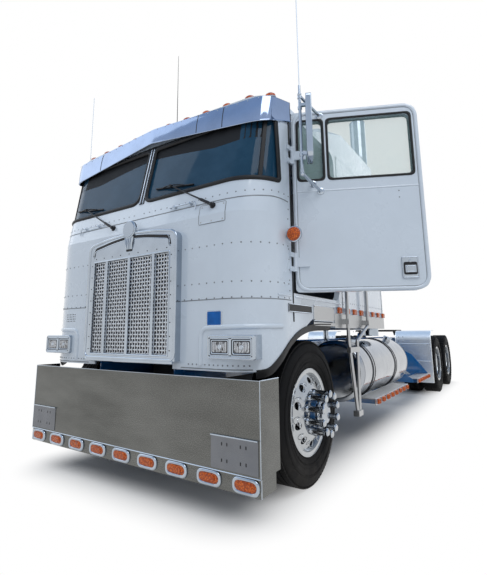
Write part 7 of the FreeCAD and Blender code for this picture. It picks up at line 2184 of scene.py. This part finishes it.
# Studio: floor, soft light and the camera at the photograph's place
FLOOR_HALF = 40.0
SHADE_HALF = 0.80
SHADE_MIDDLE = 3.55
SHADE_LONG = 4.15
SHADE_FADE = 0.62
LAMPS = (
    ("key", (6.0, -9.0, 9.0), 7.0, 420.0, (1.0, 0.985, 0.96)),
    ("fill", (-9.0, -9.0, 7.0), 8.0, 170.0, (0.92, 0.96, 1.0)),
    ("rear", (4.0, 9.0, 8.0), 6.0, 160.0, (0.95, 0.97, 1.0)),
)
SKY_SIDE = (0.52, 0.55, 0.59, 1)
SKY_OVERHEAD = (0.50, 0.56, 0.64, 1)
MIRRORED_OVERHEAD = (0.42, 0.56, 0.78, 1)


def shown(tree):
    """One for rays that see the backdrop: from the camera, off gloss and through glass."""
    rays = add(tree, "ShaderNodeLightPath").outputs
    glass_or_gloss = math_of(tree, "MAXIMUM", rays["Is Glossy Ray"], rays["Is Transmission Ray"])
    return math_of(tree, "MAXIMUM", rays["Is Camera Ray"], glass_or_gloss)


def floor_piece():
    corners = [(-1, -1), (1, -1), (1, 1), (-1, 1)]
    spots = [(x * FLOOR_HALF, y * FLOOR_HALF, GROUND) for x, y in corners]
    mesh = meshed("floor", Form(spots, [(0, 1, 2, 3)]))
    floor = stood("floor", mesh)
    material, tree, shader = finish("Pale floor", Roughness=0.9, Specular_IOR_Level=0.1)
    shader.inputs["Base Color"].default_value = (0.60, 0.60, 0.60, 1)
    spot = add(tree, "ShaderNodeSeparateXYZ", {0: place(tree)}).outputs
    beside = math_of(tree, "SUBTRACT", math_of(tree, "ABSOLUTE", spot["X"]), SHADE_HALF)
    behind = math_of(tree, "ABSOLUTE", math_of(tree, "SUBTRACT", spot["Y"], AXLE + SHADE_MIDDLE))
    beyond = math_of(tree, "SUBTRACT", behind, SHADE_LONG)
    away = [math_of(tree, "POWER", math_of(tree, "MAXIMUM", run), 2.0) for run in (beside, beyond)]
    off = math_of(tree, "SQRT", math_of(tree, "ADD", *away))
    far = add(tree, "ShaderNodeMapRange", {"Value": off, "From Min": 0.0, "From Max": SHADE_FADE})
    far.interpolation_type = "SMOOTHSTEP"
    far = far.outputs["Result"]
    white = add(tree, "ShaderNodeEmission", {"Color": (1, 1, 1, 1), "Strength": 1.0}).outputs[0]
    share = math_of(tree, "MULTIPLY", shown(tree), far)
    mix = add(tree, "ShaderNodeMixShader", {0: share, 1: shader.outputs[0], 2: white})
    tree.links.new(mix.outputs[0], tree.nodes["Material Output"].inputs["Surface"])
    mesh.materials.append(material)


def sky():
    """White behind the truck, a soft blue overhead that only the metal shows."""
    world = bpy.data.worlds.new("Studio")
    bpy.context.scene.world = world
    world.use_nodes = True
    tree = world.node_tree
    up = add(
        tree, "ShaderNodeSeparateXYZ", {0: add(tree, "ShaderNodeTexCoord").outputs["Generated"]}
    ).outputs["Z"]
    high = ranged(tree, up, 0.0, 1.0, 0.10, 0.75)
    lit = mixed(tree, high, SKY_SIDE, SKY_OVERHEAD)
    glossy = add(tree, "ShaderNodeLightPath").outputs["Is Glossy Ray"]
    blue = math_of(tree, "MULTIPLY", glossy, high)
    backdrop = mixed(tree, blue, (1, 1, 1, 1), MIRRORED_OVERHEAD)
    tree.links.new(mixed(tree, shown(tree), lit, backdrop), tree.nodes["Background"].inputs["Color"])


def lamps():
    for name, spot, width, power, color in LAMPS:
        data = bpy.data.lights.new(name, "AREA")
        data.size = width
        data.energy = power
        data.color = color
        lamp = stood(name, data)
        lamp.location = spot
        towards = Vector((0, AXLE / 2, 0)) - lamp.location
        lamp.rotation_euler = towards.to_track_quat("-Z", "Y").to_euler()


def camera():
    """The photograph's camera: low, off the left front corner, tipped up."""
    yaw, pitch, roll = (math.radians(angle) for angle in (34.596, 9.877, -0.305))
    ahead = Vector((-math.sin(yaw) * math.cos(pitch), math.cos(yaw) * math.cos(pitch), math.sin(pitch)))
    data = bpy.data.cameras.new("camera")
    data.lens = 24.94
    data.shift_x = 0.015
    data.shift_y = -0.0405
    data.clip_end = 200.0
    thing = stood("camera", data)
    turn = ahead.to_track_quat("-Z", "Y").to_matrix().to_4x4()
    seat = Matrix.Translation(at(2.502, -2.997, 1.138))
    thing.matrix_world = seat @ turn @ Matrix.Rotation(roll, 4, "Z")
    bpy.context.scene.camera = thing


floor_piece()
sky()
lamps()
camera()
bpy.context.scene.view_settings.view_transform = "Standard"
